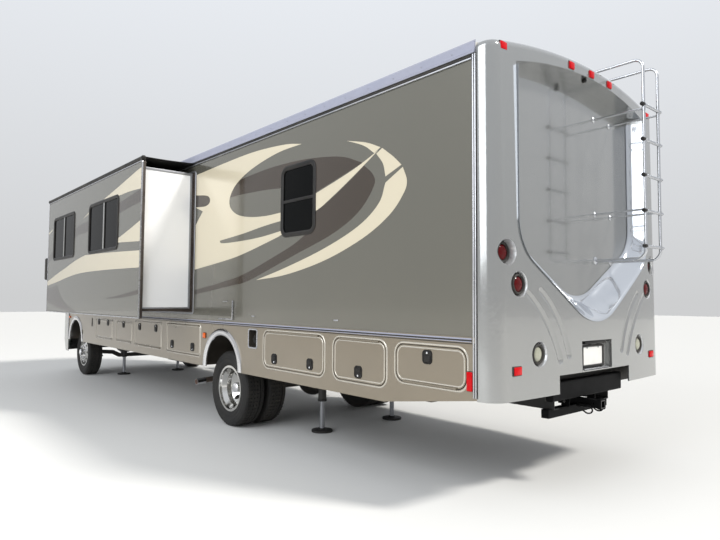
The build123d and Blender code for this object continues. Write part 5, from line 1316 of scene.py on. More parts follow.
sealant = surface("lap_sealant", rgb(206, 204, 196), 0.45, dust=0.45, mottle=0.12, grain=90.0, bump=0.2)
roof_plastic = surface("roof_cover_plastic", rgb(216, 215, 208), 0.42, dust=0.22, mottle=0.06, grain=260.0, bump=0.12)
louvre_black = surface("louvre_black", rgb(24, 24, 25), 0.6, dust=0.25, mottle=0.1)
dress(roof_plastic, "roof_units")
cooler_stations, hatch_stations = (-7.6, -2.9), (-5.6, -1.5)
beads, louvres, dark_slots, cover_ribs = [], [], [], []
for y in cooler_stations:
    beads.append(bead([(p.x, p.y) for p in rounded(-0.375, 0.375, y - 0.525, y + 0.525, 0.12, 5)], 0.014))
    for side, turn in ((1, to_left), (-1, to_right)):
        dark_slots.append(bar(side * 0.368, side * 0.3715, y - 0.33, y + 0.33, 3.46, 3.585, 0.001))
        louvres.append(grown(slat_row, start=(side * 0.3725, y - 0.32, 3.5225), step=(0, 0.02, 0), count=33,
                             size=(0.006, 0.006, 0.122), material=roof_plastic))
    for x in (-0.20, -0.10, 0.0, 0.10, 0.20):
        cover_ribs.append(bar(x - 0.008, x + 0.008, y - 0.42, y + 0.42, 3.668, 3.6745, 0.003))
    for x, side_y in ((-0.30, y - 0.44), (0.30, y - 0.44), (-0.30, y + 0.44), (0.30, y + 0.44)):
        cover_ribs.append(turned([(0, 0), (0.012, 0), (0.010, 0.004), (0, 0.005)], (x, side_y, 3.6655), up_way, 12))
for y in hatch_stations:
    beads.append(bead([(p.x, p.y) for p in rounded(-0.235, 0.235, y - 0.235, y + 0.235, 0.02, 4)], 0.012))
    cover_ribs.append(bar(-0.20, 0.20, y - 0.20, y + 0.20, 3.4835, 3.4885, 0.004))
    for shift in (-0.10, 0.0, 0.10):
        cover_ribs.append(bar(shift - 0.006, shift + 0.006, y - 0.19, y + 0.19, 3.4875, 3.4915, 0.0015))
    for side in (-1, 1):
        dark_slots.append(bar(side * 0.229, side * 0.2315, y - 0.19, y + 0.19, 3.425, 3.445, 0.0006))
        dark_slots.append(bar(-0.19, 0.19, y + side * 0.229, y + side * 0.2315, 3.425, 3.445, 0.0006))
piece("roof_sealant", beads, sealant)
piece("cover_ribs", cover_ribs, roof_plastic)
piece("cover_slots", dark_slots, louvre_black)
piece("cover_louvres", louvres, roof_plastic)
screw_lines = [screw_row((x, y - 0.18, 3.4625), (0, 0.09, 0), 5, upright, 0.005, 0.003, 8)
               for y in hatch_stations for x in (-0.215, 0.215)]
piece("hatch_screws", screw_lines, screw_metal)
lap_half, lap_w, lap_steps = 1.24, 0.05, 20
seams = []
for y in (-9.88, -0.07):
    edge = [(x / lap_steps * lap_half, y) for x in range(-lap_steps, lap_steps + 1)]
    seams.append(bead(edge + [(x, y + lap_w) for x, _ in reversed(edge)], 0.006))
piece("membrane_laps", seams, sealant)


# Ladder: bright anodised tube bent over the roof, with black clamps where the rungs cross, rubber
# tips on the rungs, and round feet that are screwed to the cap and the roof.
ladder_metal = surface("ladder_tube", rgb(196, 198, 202), 0.2, dust=0.1, mottle=0.04, grain=300.0, bump=0.03,
                       Metallic=0.95)
dress(ladder_metal, "ladder")
ladder_stiles = (-0.62, -0.34)
ladder_y = 0.44
rung_heights = (1.9, 2.19, 2.48, 2.775, 3.065)
tube_r = 0.0125
tube_skin = tube_r + 0.0003
clamps, collars, grips = [], [], []
for x in ladder_stiles:
    for z in rung_heights:
        clamp = turned([(tube_skin, -0.0095), (tube_r + 0.0035, -0.009), (tube_r + 0.0035, 0.009), (tube_skin, 0.0095)],
                       (x, ladder_y, z), up_way, 20)
        (clamps if x == ladder_stiles[1] else collars).append(clamp)
    for z in (2.2, 3.03):
        collars.append(turned([(tube_skin, -0.012), (tube_r + 0.0025, -0.011), (tube_r + 0.0025, 0.011),
                               (tube_skin, 0.012)], (x, ladder_y, z), up_way, 20))
for z in rung_heights:
    clamps.append(turned([(0, -0.028), (tube_r + 0.0030, -0.028), (tube_r + 0.0040, -0.020), (tube_r + 0.0040, 0.003),
                          (tube_r, 0.008), (0, 0.009)], (ladder_stiles[1] + 0.030, ladder_y, z), left_way, 20))
    collars.append(turned([(0, -0.010), (tube_r + 0.0015, -0.010), (tube_r + 0.0015, 0.002), (tube_r - 0.001, 0.005),
                           (0, 0.006)], (ladder_stiles[0] - 0.045, ladder_y, z), right_way, 20))
    for step in range(12):
        x = ladder_stiles[0] + 0.035 + step * 0.0195
        grips.append(turned([(tube_r + 0.0001, -0.0035), (tube_r + 0.0012, -0.002), (tube_r + 0.0012, 0.002),
                             (tube_r + 0.0001, 0.0035)], (x, ladder_y, z), left_way, 20))
piece("ladder_clamps", clamps, paddle_black)
piece("ladder_collars", collars, ladder_metal)
piece("rung_ridges", grips, ladder_metal)
roof_foot_y = -0.22
feet, foot_screws = [], []
for x in ladder_stiles:
    for z, radius in ((1.8, 0.034), (2.2, 0.026), (3.03, 0.026)):
        y = cap_face_y(x, z)
        feet.append(turned([(0, -0.004), (radius, -0.004), (radius, 0.004), (radius - 0.008, 0.008), (0.014, 0.012),
                            (0, 0.012)], (x, y, z), rear_way, 28))
        for k in range(3):
            angle = math.radians(90 + 120 * k)
            spot = (x + (radius - 0.009) * math.cos(angle), y + 0.006, z + (radius - 0.009) * math.sin(angle))
            foot_screws.append(turned([(0, 0), (0.004, 0), (0.003, 0.003), (0, 0.003)], spot, rear_way, 8))
    feet.append(turned([(0, -0.003), (0.036, -0.003), (0.036, 0.004), (0.020, 0.010), (0, 0.010)],
                       (x, roof_foot_y, roof_z(x, roof_foot_y) + 0.004), up_way, 28))
piece("ladder_feet", feet, ladder_metal)
piece("ladder_foot_screws", foot_screws, screw_metal)


# Entry door on the passenger's side: a flush handle and lock in a black housing, a folding grab
# handle on the wall, an aluminium frame round the opening, and a ribbed pull-out step.
door_frame = moulding(rounded(*door_opening, 8), [(0.001, 0.0004), (0.003, 0.006), (0.020, 0.007), (0.028, 0.0004)],
                      wall_x, -1)
piece("door_frame", door_frame, bright_metal)
door_edge = moulding(rounded(*door_leaf, 8), [(-0.030, 0.0004), (-0.026, 0.004), (-0.004, 0.0045), (-0.002, 0.0004)],
                     wall_x, -1)
piece("door_edge", door_edge, satin_metal, "door_entry")
handle_y, handle_z = -8.0, 1.92
plate_x = -(wall_x + 0.012)
handle = [bar(-(wall_x + 0.001), plate_x, handle_y - 0.045, handle_y + 0.045, handle_z - 0.085, handle_z + 0.085, 0.008,
              3),
          bar(plate_x, -(wall_x + 0.030), handle_y - 0.034, handle_y + 0.030, handle_z + 0.012, handle_z + 0.034, 0.006,
              3),
          bar(plate_x, -(wall_x + 0.026), handle_y + 0.018, handle_y + 0.032, handle_z - 0.010, handle_z + 0.030,
              0.005)]
piece("door_handle", handle, paddle_black, "door_entry")
locks = [turned([(0, 0), (0.012, 0), (0.012, 0.004), (0.009, 0.006), (0, 0.006)], (plate_x, handle_y, z), right_way, 24)
         for z in (handle_z - 0.025, handle_z - 0.060)]
piece("door_locks", locks, lock_chrome, "door_entry")


def bent_tube(points, radius, sides=14, steps=8):
    """A round tube that follows a smooth run of points, with closed ends."""
    run = flow(points, steps)
    rings = []
    lift = Vector((0, 0, 1))
    for i, point in enumerate(run):
        along = (run[min(i + 1, len(run) - 1)] - run[max(i - 1, 0)]).normalized()
        across = along.cross(lift)
        if across.length < 0.1:
            across = along.cross(Vector((0, 1, 0)))
        across.normalize()
        over = across.cross(along).normalized()
        lift = over
        rings.append([point + radius * (math.cos(2 * math.pi * j / sides) * across
                                        + math.sin(2 * math.pi * j / sides) * over) for j in range(sides)])
    return skinned(rings, closed=False)


grab_y, grab_low, grab_high = -7.80, 1.32, 1.92
grab_line = ((0.004, grab_low), (0.040, 1.335), (0.060, 1.38), (0.062, 1.55), (0.062, 1.72), (0.060, 1.86),
             (0.040, 1.905), (0.004, grab_high))
grab = bent_tube([(-(wall_x + off), grab_y, z) for off, z in grab_line], 0.014)
grab_feet = [bar(-wall_x, -(wall_x + 0.010), grab_y - 0.026, grab_y + 0.026, z - 0.040, z + 0.040, 0.004)
             for z in (grab_low, grab_high)]
piece("grab_handle", [grab, *grab_feet], bright_metal)
step_paint = surface("step_paint", rgb(22, 22, 23), 0.5, dust=0.35, mottle=0.12, grain=200.0, bump=0.15)
dress(step_paint, "entry_step")
step_top = 0.430
treads = grown(slat_row, start=(-1.345, -8.25, step_top + 0.0008), step=(-0.012, 0, 0), count=19,
               size=(0.005, 0.54, 0.003), material=shadow_black)
piece("step_tread", treads, shadow_black, "step_entry")
step_nose = bar(-1.566, -1.574, -8.50, -8.00, 0.4065, 0.4305, 0.002)
piece("step_nosing", step_nose, satin_metal, "step_entry")


# Wheels: aluminium discs with eight hand holes, ten lug nuts on each and a chromed hub cover. The
# valve stem comes out between two holes, and brake dust settles in the bowl.
ring_row, given = geometry_tree("ring_row", Centre=(0, 0, 0), Radius=0.1, Count=10, Size=(0.01, 0.01, 0.01), Phase=0.0)
circle = add(ring_row, "GeometryNodeMeshCircle", Vertices=given["Count"], Radius=given["Radius"])
block = add(ring_row, "GeometryNodeMeshCube", Size=given["Size"])
here = add(ring_row, "GeometryNodeInputPosition")
outward = add(ring_row, "FunctionNodeAlignRotationToVector", {"axis": "Z", "pivot_axis": "AUTO"},
              Vector=here.outputs[0])
placed = add(ring_row, "GeometryNodeInstanceOnPoints", Points=circle.outputs[0], Instance=block.outputs[0],
             Rotation=outward.outputs[0])
square_to = add(ring_row, "ShaderNodeCombineXYZ", X=given["Phase"], Y=math.pi / 2, Z=0.0)
spun = add(ring_row, "GeometryNodeRotateInstances", Instances=placed.outputs[0], Rotation=square_to.outputs[0],
           Local_Space=False)
moved = add(ring_row, "GeometryNodeTranslateInstances", Instances=spun.outputs[0], Translation=given["Centre"],
            Local_Space=False)
end_tree(ring_row, given, moved.outputs[0])

wheel_finish = surface("polished_wheel", rgb(204, 203, 200), 0.14, dust=0.04, mottle=0.02, grain=180.0, bump=0.0,
                       Metallic=1.0)
hub_chrome = surface("hub_chrome", rgb(226, 227, 230), 0.08, dust=0.1, mottle=0.02, bump=0.0, Metallic=1.0)
rubber = surface("tyre_rubber", rgb(15, 15, 15), 0.75, dust=0.05, mottle=0.12, grain=320.0, bump=0.35, distance=0.0008)
tread_rubber = surface("tread_rubber", rgb(18, 18, 17), 0.8, dust=0.1, mottle=0.15, grain=260.0, bump=0.4)
axle_z = 0.425
bead_r = 0.2485
carcass_profile = [(bead_r, -0.092), (0.262, -0.094), (0.272, -0.104), (0.283, -0.1095), (0.300, -0.1145),
                   (0.304, -0.1165), (0.309, -0.1150), (0.335, -0.1205), (0.345, -0.1222), (0.349, -0.1235),
                   (0.353, -0.1222), (0.372, -0.1205), (0.378, -0.1212), (0.384, -0.1190), (0.398, -0.1125),
                   (0.404, -0.1120), (0.412, -0.1035), (0.4165, -0.096)]
crown_profile = []
for centre in (-0.056, -0.019, 0.019, 0.056):
    crown_profile += [(0.4225, centre - 0.0065), (0.4110, centre - 0.0040), (0.4110, centre + 0.0040),
                      (0.4225, centre + 0.0065)]
tyre_steps = 96
inner_profile = [(bead_r, 0.075), (0.30, 0.084), (0.345, 0.106), (0.392, 0.094), (0.405, 0.070)]


def tyre_shapes(x_mid, station):
    """The carcass with its grooves, and its five rows of tread blocks."""
    outer = carcass_profile + [(0.4195, -0.088)] + crown_profile + [(0.4195, 0.088)]
    loop = outer + [(r, -w) for r, w in reversed(carcass_profile)] + inner_profile
    loop += [(r, -w) for r, w in reversed(inner_profile)]
    turns = [2 * math.pi * step / tyre_steps for step in range(tyre_steps)]
    carcass = skinned([[(x_mid + w, station + r * math.cos(turn), axle_z + r * math.sin(turn)) for r, w in loop]
                       for turn in turns])
    blocks = [grown(ring_row, centre=(x_mid + wide, station, axle_z), radius=0.4205, count=60,
                    size=(width, 0.034, 0.0072), phase=phase, material=tread_rubber)
              for wide, width, phase in ((-0.079, 0.030, 0.0), (-0.0375, 0.023, 0.05), (0.0, 0.023, 0.02),
                                         (0.0375, 0.023, 0.05), (0.079, 0.030, 0.0))]
    return carcass, blocks


valve_reach, valve_turn = 0.196, 0.39


def nuts(x, station, side, reach=0.115):
    """Ten hexagonal lug nuts with washers, round the hub."""
    shapes = []
    way = side_ways[side]
    for step in range(10):
        angle = 2 * math.pi * (step + 0.5) / 10
        at = (x, station + reach * math.cos(angle), axle_z + reach * math.sin(angle))
        shapes.append(turned([(0, 0), (0.0185, 0), (0.0185, 0.003), (0, 0.003)], at, way, 16))
        shapes.append(turned([(0, 0.002), (0.0155, 0.002), (0.0155, 0.020), (0.0125, 0.024), (0, 0.025)], at, way, 6))
    return shapes


# A row is a wheel's name, side, station, the middles of its tyres, and how far out from the first
# of them lie its face, the end of its hub and the foot of its valve, with its node's ending and body.
front_reach, rear_reach = (0.112, 0.157, 0.080), (-0.1425, 0.025, 0.030)
wheel_rows = (("front_left", 1, front_axle_y, (1.042,), front_reach, "", "wheel_front_left"),
              ("front_right", -1, front_axle_y, (1.042,), front_reach, "", "wheel_front_right"),
              ("rear_left", 1, rear_axle_y, (1.085, 0.800), rear_reach, "s", "wheels_rear_left"),
              ("rear_right", -1, rear_axle_y, (1.085, 0.800), rear_reach, "s", "wheels_rear_right"))
for word, side, station, mids, (face, hub_end, valve), plural, body in wheel_rows:
    dress(wheel_finish, f"{word}_wheel{plural}")
    way = side_ways[side]
    carcasses, treads = [], []
    for mid in mids:
        carcass, blocks = tyre_shapes(side * mid, station)
        carcasses.append(carcass)
        treads += blocks
    tyre_piece = piece(f"{word}_tyre_rubber", carcasses, rubber, body)
    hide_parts(f"{word}_tyre{plural}")
    piece(f"{word}_tread_blocks", treads, tread_rubber, body)
    piece(f"{word}_lug_nuts", nuts(side * (mids[0] + face), station, side), hub_chrome, body)
    end_x = side * (mids[0] + hub_end)
    cover = [turned([(0, -0.0005), (0.0585, -0.0005), (0.0585, 0.006), (0.052, 0.013), (0.030, 0.016), (0, 0.0165)],
                    (end_x, station, axle_z), way, 40)]
    for step in range(8):
        angle = 2 * math.pi * step / 8
        spot = (end_x + side * 0.006, station + 0.046 * math.cos(angle), axle_z + 0.046 * math.sin(angle))
        cover.append(turned([(0, 0), (0.005, 0), (0.005, 0.008), (0.003, 0.010), (0, 0.010)], spot, way, 6))
    piece(f"{word}_hub_cover", cover, hub_chrome, body)
    valve_at = (side * (mids[0] + valve), station + valve_reach * math.cos(valve_turn),
                axle_z + valve_reach * math.sin(valve_turn))
    stem = turned([(0, -0.03), (0.0042, -0.03), (0.0042, 0.012), (0.0055, 0.014), (0.0055, 0.024), (0, 0.025)],
                  valve_at, way, 12)
    piece(f"{word}_valve", stem, screw_metal, body)


# Chassis and running gear: black painted channels and axles, dusty from the road, springs of
# stacked leaves, a cast engine and gearbox, a steel shaft, a strapped tank and a heat-stained pipe.
frame_black = surface("chassis_paint", rgb(9, 9, 10), 0.65, dust=0.03, mottle=0.15, grain=120.0, bump=0.2)
axle_black = surface("axle_paint", rgb(20, 20, 21), 0.55, dust=0.18, mottle=0.18, grain=100.0, bump=0.25)
cast_iron = surface("cast_iron", rgb(74, 72, 70), 0.6, dust=0.35, mottle=0.2, grain=90.0, bump=0.4, Metallic=0.4)
oiled_steel = surface("oiled_steel", rgb(92, 92, 94), 0.4, dust=0.3, mottle=0.15, grain=160.0, bump=0.1, Metallic=0.8)
tank_black = surface("tank_coating", rgb(26, 26, 27), 0.42, dust=0.4, mottle=0.12, grain=140.0, bump=0.15)
galvanised = surface("bay_sheet", rgb(122, 124, 126), 0.45, dust=0.3, mottle=0.2, grain=40.0, bump=0.08, Metallic=0.6)
floor_board = surface("sealed_underfloor", rgb(26, 25, 24), 0.65, dust=0.15, mottle=0.15, grain=60.0, bump=0.2)
dress(frame_black, "chassis_frame")
dress(axle_black, "front_axle", "rear_axle")
dress(cast_iron, "engine")
dress(oiled_steel, "drive_shaft", "left_knuckle", "right_knuckle")
dress(tank_black, "fuel_tank")
dress(galvanised, "storage_bays")
dress(other_side(floor_board, rgb(150, 128, 98), 0.0, "Z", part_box("floor")[1].z - 0.155), "floor")

leafed, given, where = surface_group("stacked_leaves", Colour=(0.05, 0.05, 0.05, 1), Thickness=0.012)
layers = maths(leafed, "DIVIDE", split(leafed, where)["Z"], given["Thickness"])
gaps = ranged(leafed, maths(leafed, "PINGPONG", layers, 0.5), 0.0, 0.12)
rust = ranged(leafed, noise(leafed, where, Scale=14.0, Detail=6.0, Roughness=0.7), 0.55, 0.8, 0.0, 0.6)
rusty = blended(leafed, rust, given["Colour"], (*rgb(92, 62, 44), 1))
end_group(leafed, brightened(leafed, ranged(leafed, gaps, to_low=0.25), rusty),
          ranged(leafed, rust, to_low=0.5, to_high=0.85), gaps)
spring_steel = finish_of("spring_steel", leafed, {"Colour": (*rgb(44, 43, 43), 1), "Thickness": 0.012},
                         {"Metallic": 0.4}, 0.5, 0.002)
dress(spring_steel, "leaf_springs")

heated, given, where = surface_group("heat_stain", Colour=(0.3, 0.28, 0.26, 1), Rust=0.5)
stains = ranged(heated, noise(heated, where, Scale=5.0, Detail=6.0, Roughness=0.65), 0.42, 0.72)
amount = maths(heated, "MULTIPLY", stains, given["Rust"])
end_group(heated, blended(heated, amount, given["Colour"], (*rgb(104, 66, 44), 1)),
          ranged(heated, amount, to_low=0.35, to_high=0.85), noise(heated, where, Scale=150.0, Detail=3.0))
exhaust_steel = finish_of("exhaust_pipe", heated, {"Colour": (*rgb(120, 112, 104), 1), "Rust": 0.7}, {"Metallic": 0.7},
                          0.25, 0.001)
dress(exhaust_steel, "exhaust")
pipe_end = (1.2, -4.43, 0.41)
pipe_way = Vector((1.2 - 0.62, 0.05, -0.04)).normalized()
pipe_turn = turn_to(pipe_way)
tip_at = Vector(pipe_end) + pipe_way * 0.001
tail_tip = turned([(0.0335, -0.12), (0.0372, -0.12), (0.0372, 0.0), (0.0335, 0.0)], tip_at, pipe_turn, 28)
piece("tail_pipe_tip", tail_tip, polished_steel)
tip_bore = turned([(0, -0.0002), (0.0332, -0.0002), (0.0332, 0.0006), (0, 0.0006)], tip_at, pipe_turn, 28)
soot = finish_of("pipe_bore", heated, {"Colour": (*rgb(34, 24, 20), 1), "Rust": 0.8}, {"Metallic": 0.0}, 0.3, 0.001)
piece("tail_pipe_bore", tip_bore, soot)

jack_finish = other_side(surface("jack_cylinder", rgb(14, 14, 15), 0.5, dust=0.08, mottle=0.1), rgb(150, 152, 156), 0.9,
                         "Z", 0.331, above=False)
dress(jack_finish, "levelling_jacks")
jack_rings, foot_rims = [], []
for y in (-8.95, -2.7):
    for x in (-0.535, 0.535):
        for z, half, rim in ((0.345, 0.012, 0.050), (0.84, 0.016, 0.053)):
            jack_rings.append(turned([(0.0455, -half), (rim, 0.002 - half), (rim, half - 0.002), (0.0455, half)],
                                     (x, y, z), up_way, 28))
        foot_rims.append(turned([(0.028, 0.0), (0.115, 0.0), (0.1165, 0.004), (0.115, 0.0215), (0.108, 0.0235),
                                 (0.045, 0.0235), (0.034, 0.040), (0.028, 0.040)], (x, y, 0.0003), up_way, 40))
piece("jack_collars", jack_rings, frame_black)
piece("jack_feet", foot_rims, frame_black)
straps = []
for y in (-2.3, -1.6):
    straps.append(bar(-0.3575, 0.3575, y - 0.022, y + 0.022, 0.4755, 0.4795, 0.001))
    for side in (-1, 1):
        straps.append(bar(side * 0.3572, side * 0.3602, y - 0.022, y + 0.022, 0.54, 0.745, 0.001))
piece("tank_straps", straps, galvanised)


# Tow bar receiver at the rear: black coated square tube with a worn bright mouth, a collar, chain
# loops and bolted gussets.
hitch_black = surface("hitch_coating", rgb(6, 6, 7), 0.6, dust=0.0, mottle=0.1, grain=150.0, bump=0.15,
                      Specular_IOR_Level=0.12)
dress(hitch_black, "hitch_receiver")
# A black panel across the notch behind the hitch: partly a real closing panel, partly a dark sheet painted in for the
# shade that fills the notch.
notch_shade_panel = [bar(x0, x1, y0, y1, z0, 0.94, 0.001) for x0, x1, y0, y1, z0 in (
    (-0.535, 0.535, 0.046, 0.052, 0.70), (-0.92, -0.535, 0.0462, 0.0518, 0.752), (0.535, 0.92, 0.0462, 0.0518, 0.752))]
piece("rear_notch_shade_panel", notch_shade_panel, shadow_black)
tube_mouth_y = 0.230
collar_profile = [(0.0004, -0.030), (0.0075, -0.030), (0.0085, -0.002), (0.006, 0.0015), (0.0004, 0.0015)]
collar_ring = moulding(rounded(-0.0325, 0.0325, 0.6075, 0.6725, 0.004, 3), collar_profile, 0.0, 1)
collar = on_rear(collar_ring, tube_mouth_y)
piece("receiver_collar", collar, hitch_black)
lip_ring = moulding(rounded(-0.0255, 0.0255, 0.6145, 0.6655, 0.002, 2),
                    [(0.0003, -0.012), (0.0003, 0.0012), (0.0058, 0.0012), (0.0058, 0.0004)], 0.0, 1)
lip = on_rear(lip_ring, tube_mouth_y)
piece("receiver_mouth", lip, oiled_steel)
loops = [bent_tube([(x, 0.120, 0.630), (x, 0.165, 0.622), (x, 0.185, 0.600), (x, 0.172, 0.576),
                    (x, 0.140, 0.570), (x, 0.110, 0.585)], 0.006, 10) for x in (-0.085, 0.085)]
loops += [bar(x - 0.03, x + 0.03, 0.06, 0.145, 0.618, 0.628, 0.002) for x in (-0.07, 0.07)]
piece("chain_loops", loops, hitch_black)
bolt_heads = [turned([(0, 0), (0.011, 0), (0.011, 0.008), (0, 0.009)], (side * 0.2105, y, z), side_ways[side], 6)
              for side in (-1, 1) for y, z in ((0.02, 0.66), (0.02, 0.74), (0.045, 0.70))]
piece("gusset_bolts", bolt_heads, oiled_steel)


# Front cap: the screen sits in a thick black rubber gasket, with two long wipers parked along its
# foot, twin-bowl headlamps behind clear covers, a slatted grille and five amber brow lamps.
front_surfaces = [faces_of(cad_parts[node].data) for node in ("front_cap", "windshield")]


def front_at(x, z, rise=0.0):
    """A point that stands a rise proud of the front's outer face, and the face's outward way."""
    best = None
    for surface_tree in front_surfaces:
        hit, way = surface_tree.ray_cast(to_frame @ Vector((x, -12.0, z)), Vector((0, 1, 0)))[:2]
        if hit is not None and (best is None or hit.y < best[0].y):
            best = (hit, way)
    hit, way = best
    if way.y > 0:
        way = -way
    return hit - to_frame.translation + way * rise, way


def front_moulding(points, profile):
    """A closed moulding on the front's curved face, from (x, z) points and (outward, rise) pairs."""
    return carried(points, profile, lambda spot, rise: front_at(*spot, rise)[0])


def round_corners(corners, radius, steps=8, side_steps=24):
    """A polygon in x and z, anticlockwise, with rounded corners and evenly divided sides."""
    arcs = [corner_arc(corners[i - 1], corners[i], corners[(i + 1) % len(corners)], radius, steps)
            for i in range(len(corners))]
    points = []
    for arc, next_arc in zip(arcs, arcs[1:] + arcs[:1]):
        points += arc + [arc[-1].lerp(next_arc[0], step / side_steps) for step in range(1, side_steps)]
    return points


screen_ring = round_corners([(-1.165, 1.49), (1.165, 1.49), (1.110, 2.57), (-1.110, 2.57)], 0.11)
gasket_profile = [(-0.020, 0.0004), (-0.018, 0.005), (-0.006, 0.009), (0.004, 0.011), (0.016, 0.006), (0.019, 0.0004)]
piece("screen_gasket", front_moulding(screen_ring, gasket_profile), shadow_black)
grille_ring = round_corners([(-0.43, 0.70), (0.43, 0.70), (0.43, 1.11), (-0.43, 1.11)], 0.06, 6, 10)
grille_profile = [(0.001, 0.0004), (0.001, 0.006), (0.010, 0.008), (0.018, 0.0004)]
piece("grille_surround", front_moulding(grille_ring, grille_profile), bright_metal)
grille_finish = surface("grille_plastic", rgb(20, 20, 21), 0.38, dust=0.25, mottle=0.08, grain=240.0, bump=0.1)
dress(grille_finish, "grille")
brights = []
above_grille_z, slat_face_y = 1.118, -10.4895
bow_mid_y = front_at(0.0, above_grille_z)[0].y
for row in range(5):
    z = 0.765 + 0.072 * row
    rings = []
    for step in range(17):
        x = -0.405 + 0.81 * step / 16
        y = slat_face_y + front_at(x, above_grille_z)[0].y - bow_mid_y
        rings.append([(x, y - back, z + up) for back, up in ((0.0, -0.006), (0.0035, -0.005), (0.0035, 0.005),
                                                             (0.0, 0.006))])
    brights.append(skinned(rings, closed=False))
piece("grille_brights", brights, bright_metal)
upright_bars = grown(slat_row, start=(-0.41, -10.415, 0.905), step=(0.02, 0, 0), count=42, size=(0.004, 0.012, 0.36),
                     material=grille_finish)
piece("grille_bars", upright_bars, grille_finish)
bar_backing = bar(-0.425, 0.425, -10.402, -10.399, 0.71, 1.10, 0.0005)
piece("grille_backing", bar_backing, louvre_black)


# Headlamps: a clear moulded cover over a black housing, with two bright reflector bowls and an
# amber turn lamp at the outer end.
def front_skin(points, rise, thickness, divisions=10):
    """A thin shell that fills an outline in x and z and follows the front's curved face."""
    x_mid = sum(p[0] for p in points) / len(points)
    z_mid = sum(p[1] for p in points) / len(points)
    x0, z0 = min(p[0] for p in points), min(p[1] for p in points)
    x1, z1 = max(p[0] for p in points), max(p[1] for p in points)
    edge_y = {}
    for x in (x0 - 0.004, x1 + 0.004):
        for z in (z0 - 0.004, z1 + 0.004):
            edge_y[(x < x_mid, z < z_mid)] = front_at(x, z)[0].y
    middle_low = front_at(x_mid, z0 - 0.004)[0].y
    bow = middle_low - (edge_y[(True, True)] + edge_y[(False, True)]) / 2

    def face_y(x, z):
        across, up = (x - x0) / (x1 - x0), (z - z0) / (z1 - z0)
        low = edge_y[(True, True)] * (1 - across) + edge_y[(False, True)] * across
        high = edge_y[(True, False)] * (1 - across) + edge_y[(False, False)] * across
        return low * (1 - up) + high * up + bow * 4 * across * (1 - across) - rise

    shape = bmesh.new()
    shells = []
    for back in (0.0, thickness):
        rings = [[shape.verts.new((x_mid, face_y(x_mid, z_mid) + back, z_mid))]]
        for step in range(1, divisions + 1):
            part = step / divisions
            rings.append([shape.verts.new((x_mid + (x - x_mid) * part,
                                           face_y(x_mid + (x - x_mid) * part, z_mid + (z - z_mid) * part) + back,
                                           z_mid + (z - z_mid) * part)) for x, z in points])
        for near, far in zip(rings, rings[1:]):
            for i in range(len(points)):
                j = (i + 1) % len(points)
                ring = [near[i % len(near)], far[i], far[j], near[j % len(near)]]
                shape.faces.new(list(dict.fromkeys(ring)))
        shells.append(rings[-1])
    for i in range(len(points)):
        j = (i + 1) % len(points)
        shape.faces.new((shells[0][i], shells[1][i], shells[1][j], shells[0][j]))
    bmesh.ops.recalc_face_normals(shape, faces=shape.faces)
    return shape


lamp_glass = surface("headlamp_cover", rgb(236, 240, 242), 0.04, dust=0.02, mottle=0.02, bump=0.0, IOR=1.45,
                     Transmission_Weight=0.92)
bowl_profile = [(0.0, 0.001), (0.020, 0.003), (0.045, 0.014), (0.064, 0.031), (0.067, 0.031), (0.047, 0.011),
                (0.020, 0.0), (0, -0.001)]
bulb_profile = [(0, 0), (0.008, 0), (0.008, 0.016), (0.005, 0.022), (0, 0.023)]
turn_lamp_profile = [(0, 0), (0.033, 0), (0.033, 0.012), (0.028, 0.020), (0, 0.024)]
lamp_z, lamp_face_z, lamp_behind = 0.915, 0.812, 0.047
covers, housings, bowls, bulbs, turn_lamps = [], [], [], [], []
for side in (-1, 1):
    x0, x1 = sorted((side * 0.642, side * 1.058))
    ring = round_corners([(x0, 0.822), (x1, 0.822), (x1, 1.008), (x0, 1.008)], 0.058, 6, 6)
    covers.append(front_skin(ring, -0.001, 0.004))
    housings.append(front_skin(ring, -0.046, 0.003))
    for x, profile, steps, lamps in ((0.735, bowl_profile, 32, bowls), (0.735, bulb_profile, 16, bulbs),
                                     (0.885, bowl_profile, 32, bowls), (0.885, bulb_profile, 16, bulbs),
                                     (1.0, turn_lamp_profile, 28, turn_lamps)):
        centre = (side * x, front_at(side * x, lamp_face_z)[0].y + lamp_behind, lamp_z)
        lamps.append(turned(profile, centre, front_way, steps))
cover = piece("headlamp_covers", covers, lamp_glass)
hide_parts("headlamps")
piece("headlamp_housings", housings, louvre_black)
piece("headlamp_bowls", bowls, hub_chrome)
piece("headlamp_bulbs", bulbs, clear_lens)
piece("front_turn_lamps", turn_lamps, amber_lens)
rings = []
for side in (-1, 1):
    x0, x1 = sorted((side * 0.64, side * 1.06))
    ring = round_corners([(x0, 0.82), (x1, 0.82), (x1, 1.01), (x0, 1.01)], 0.06, 6, 6)
    rings.append(front_moulding(ring, [(0.0003, 0.0004), (0.001, 0.004), (0.009, 0.004), (0.011, 0.0004)]))
piece("headlamp_bezels", rings, shadow_black)
brow, brow_pads = [], []
for x in (-1.0, -0.30, 0.0, 0.30, 1.0):
    at, way = front_at(x, 3.22)
    for target, size, low, high, bevel in ((brow, 0.027, -0.002, 0.016, 0.006),
                                           (brow_pads, 0.032, -0.004, 0.004, 0.002)):
        block_shape = bar(-size * 1.5, size * 1.5, -size * 0.8, size * 0.8, low, high, bevel)
        bmesh.ops.transform(block_shape, matrix=Matrix.Translation(at) @ turn_to(way), verts=block_shape.verts)
        target.append(block_shape)
piece("brow_lamps", brow, amber_lens)
piece("brow_lamp_pads", brow_pads, shadow_black)


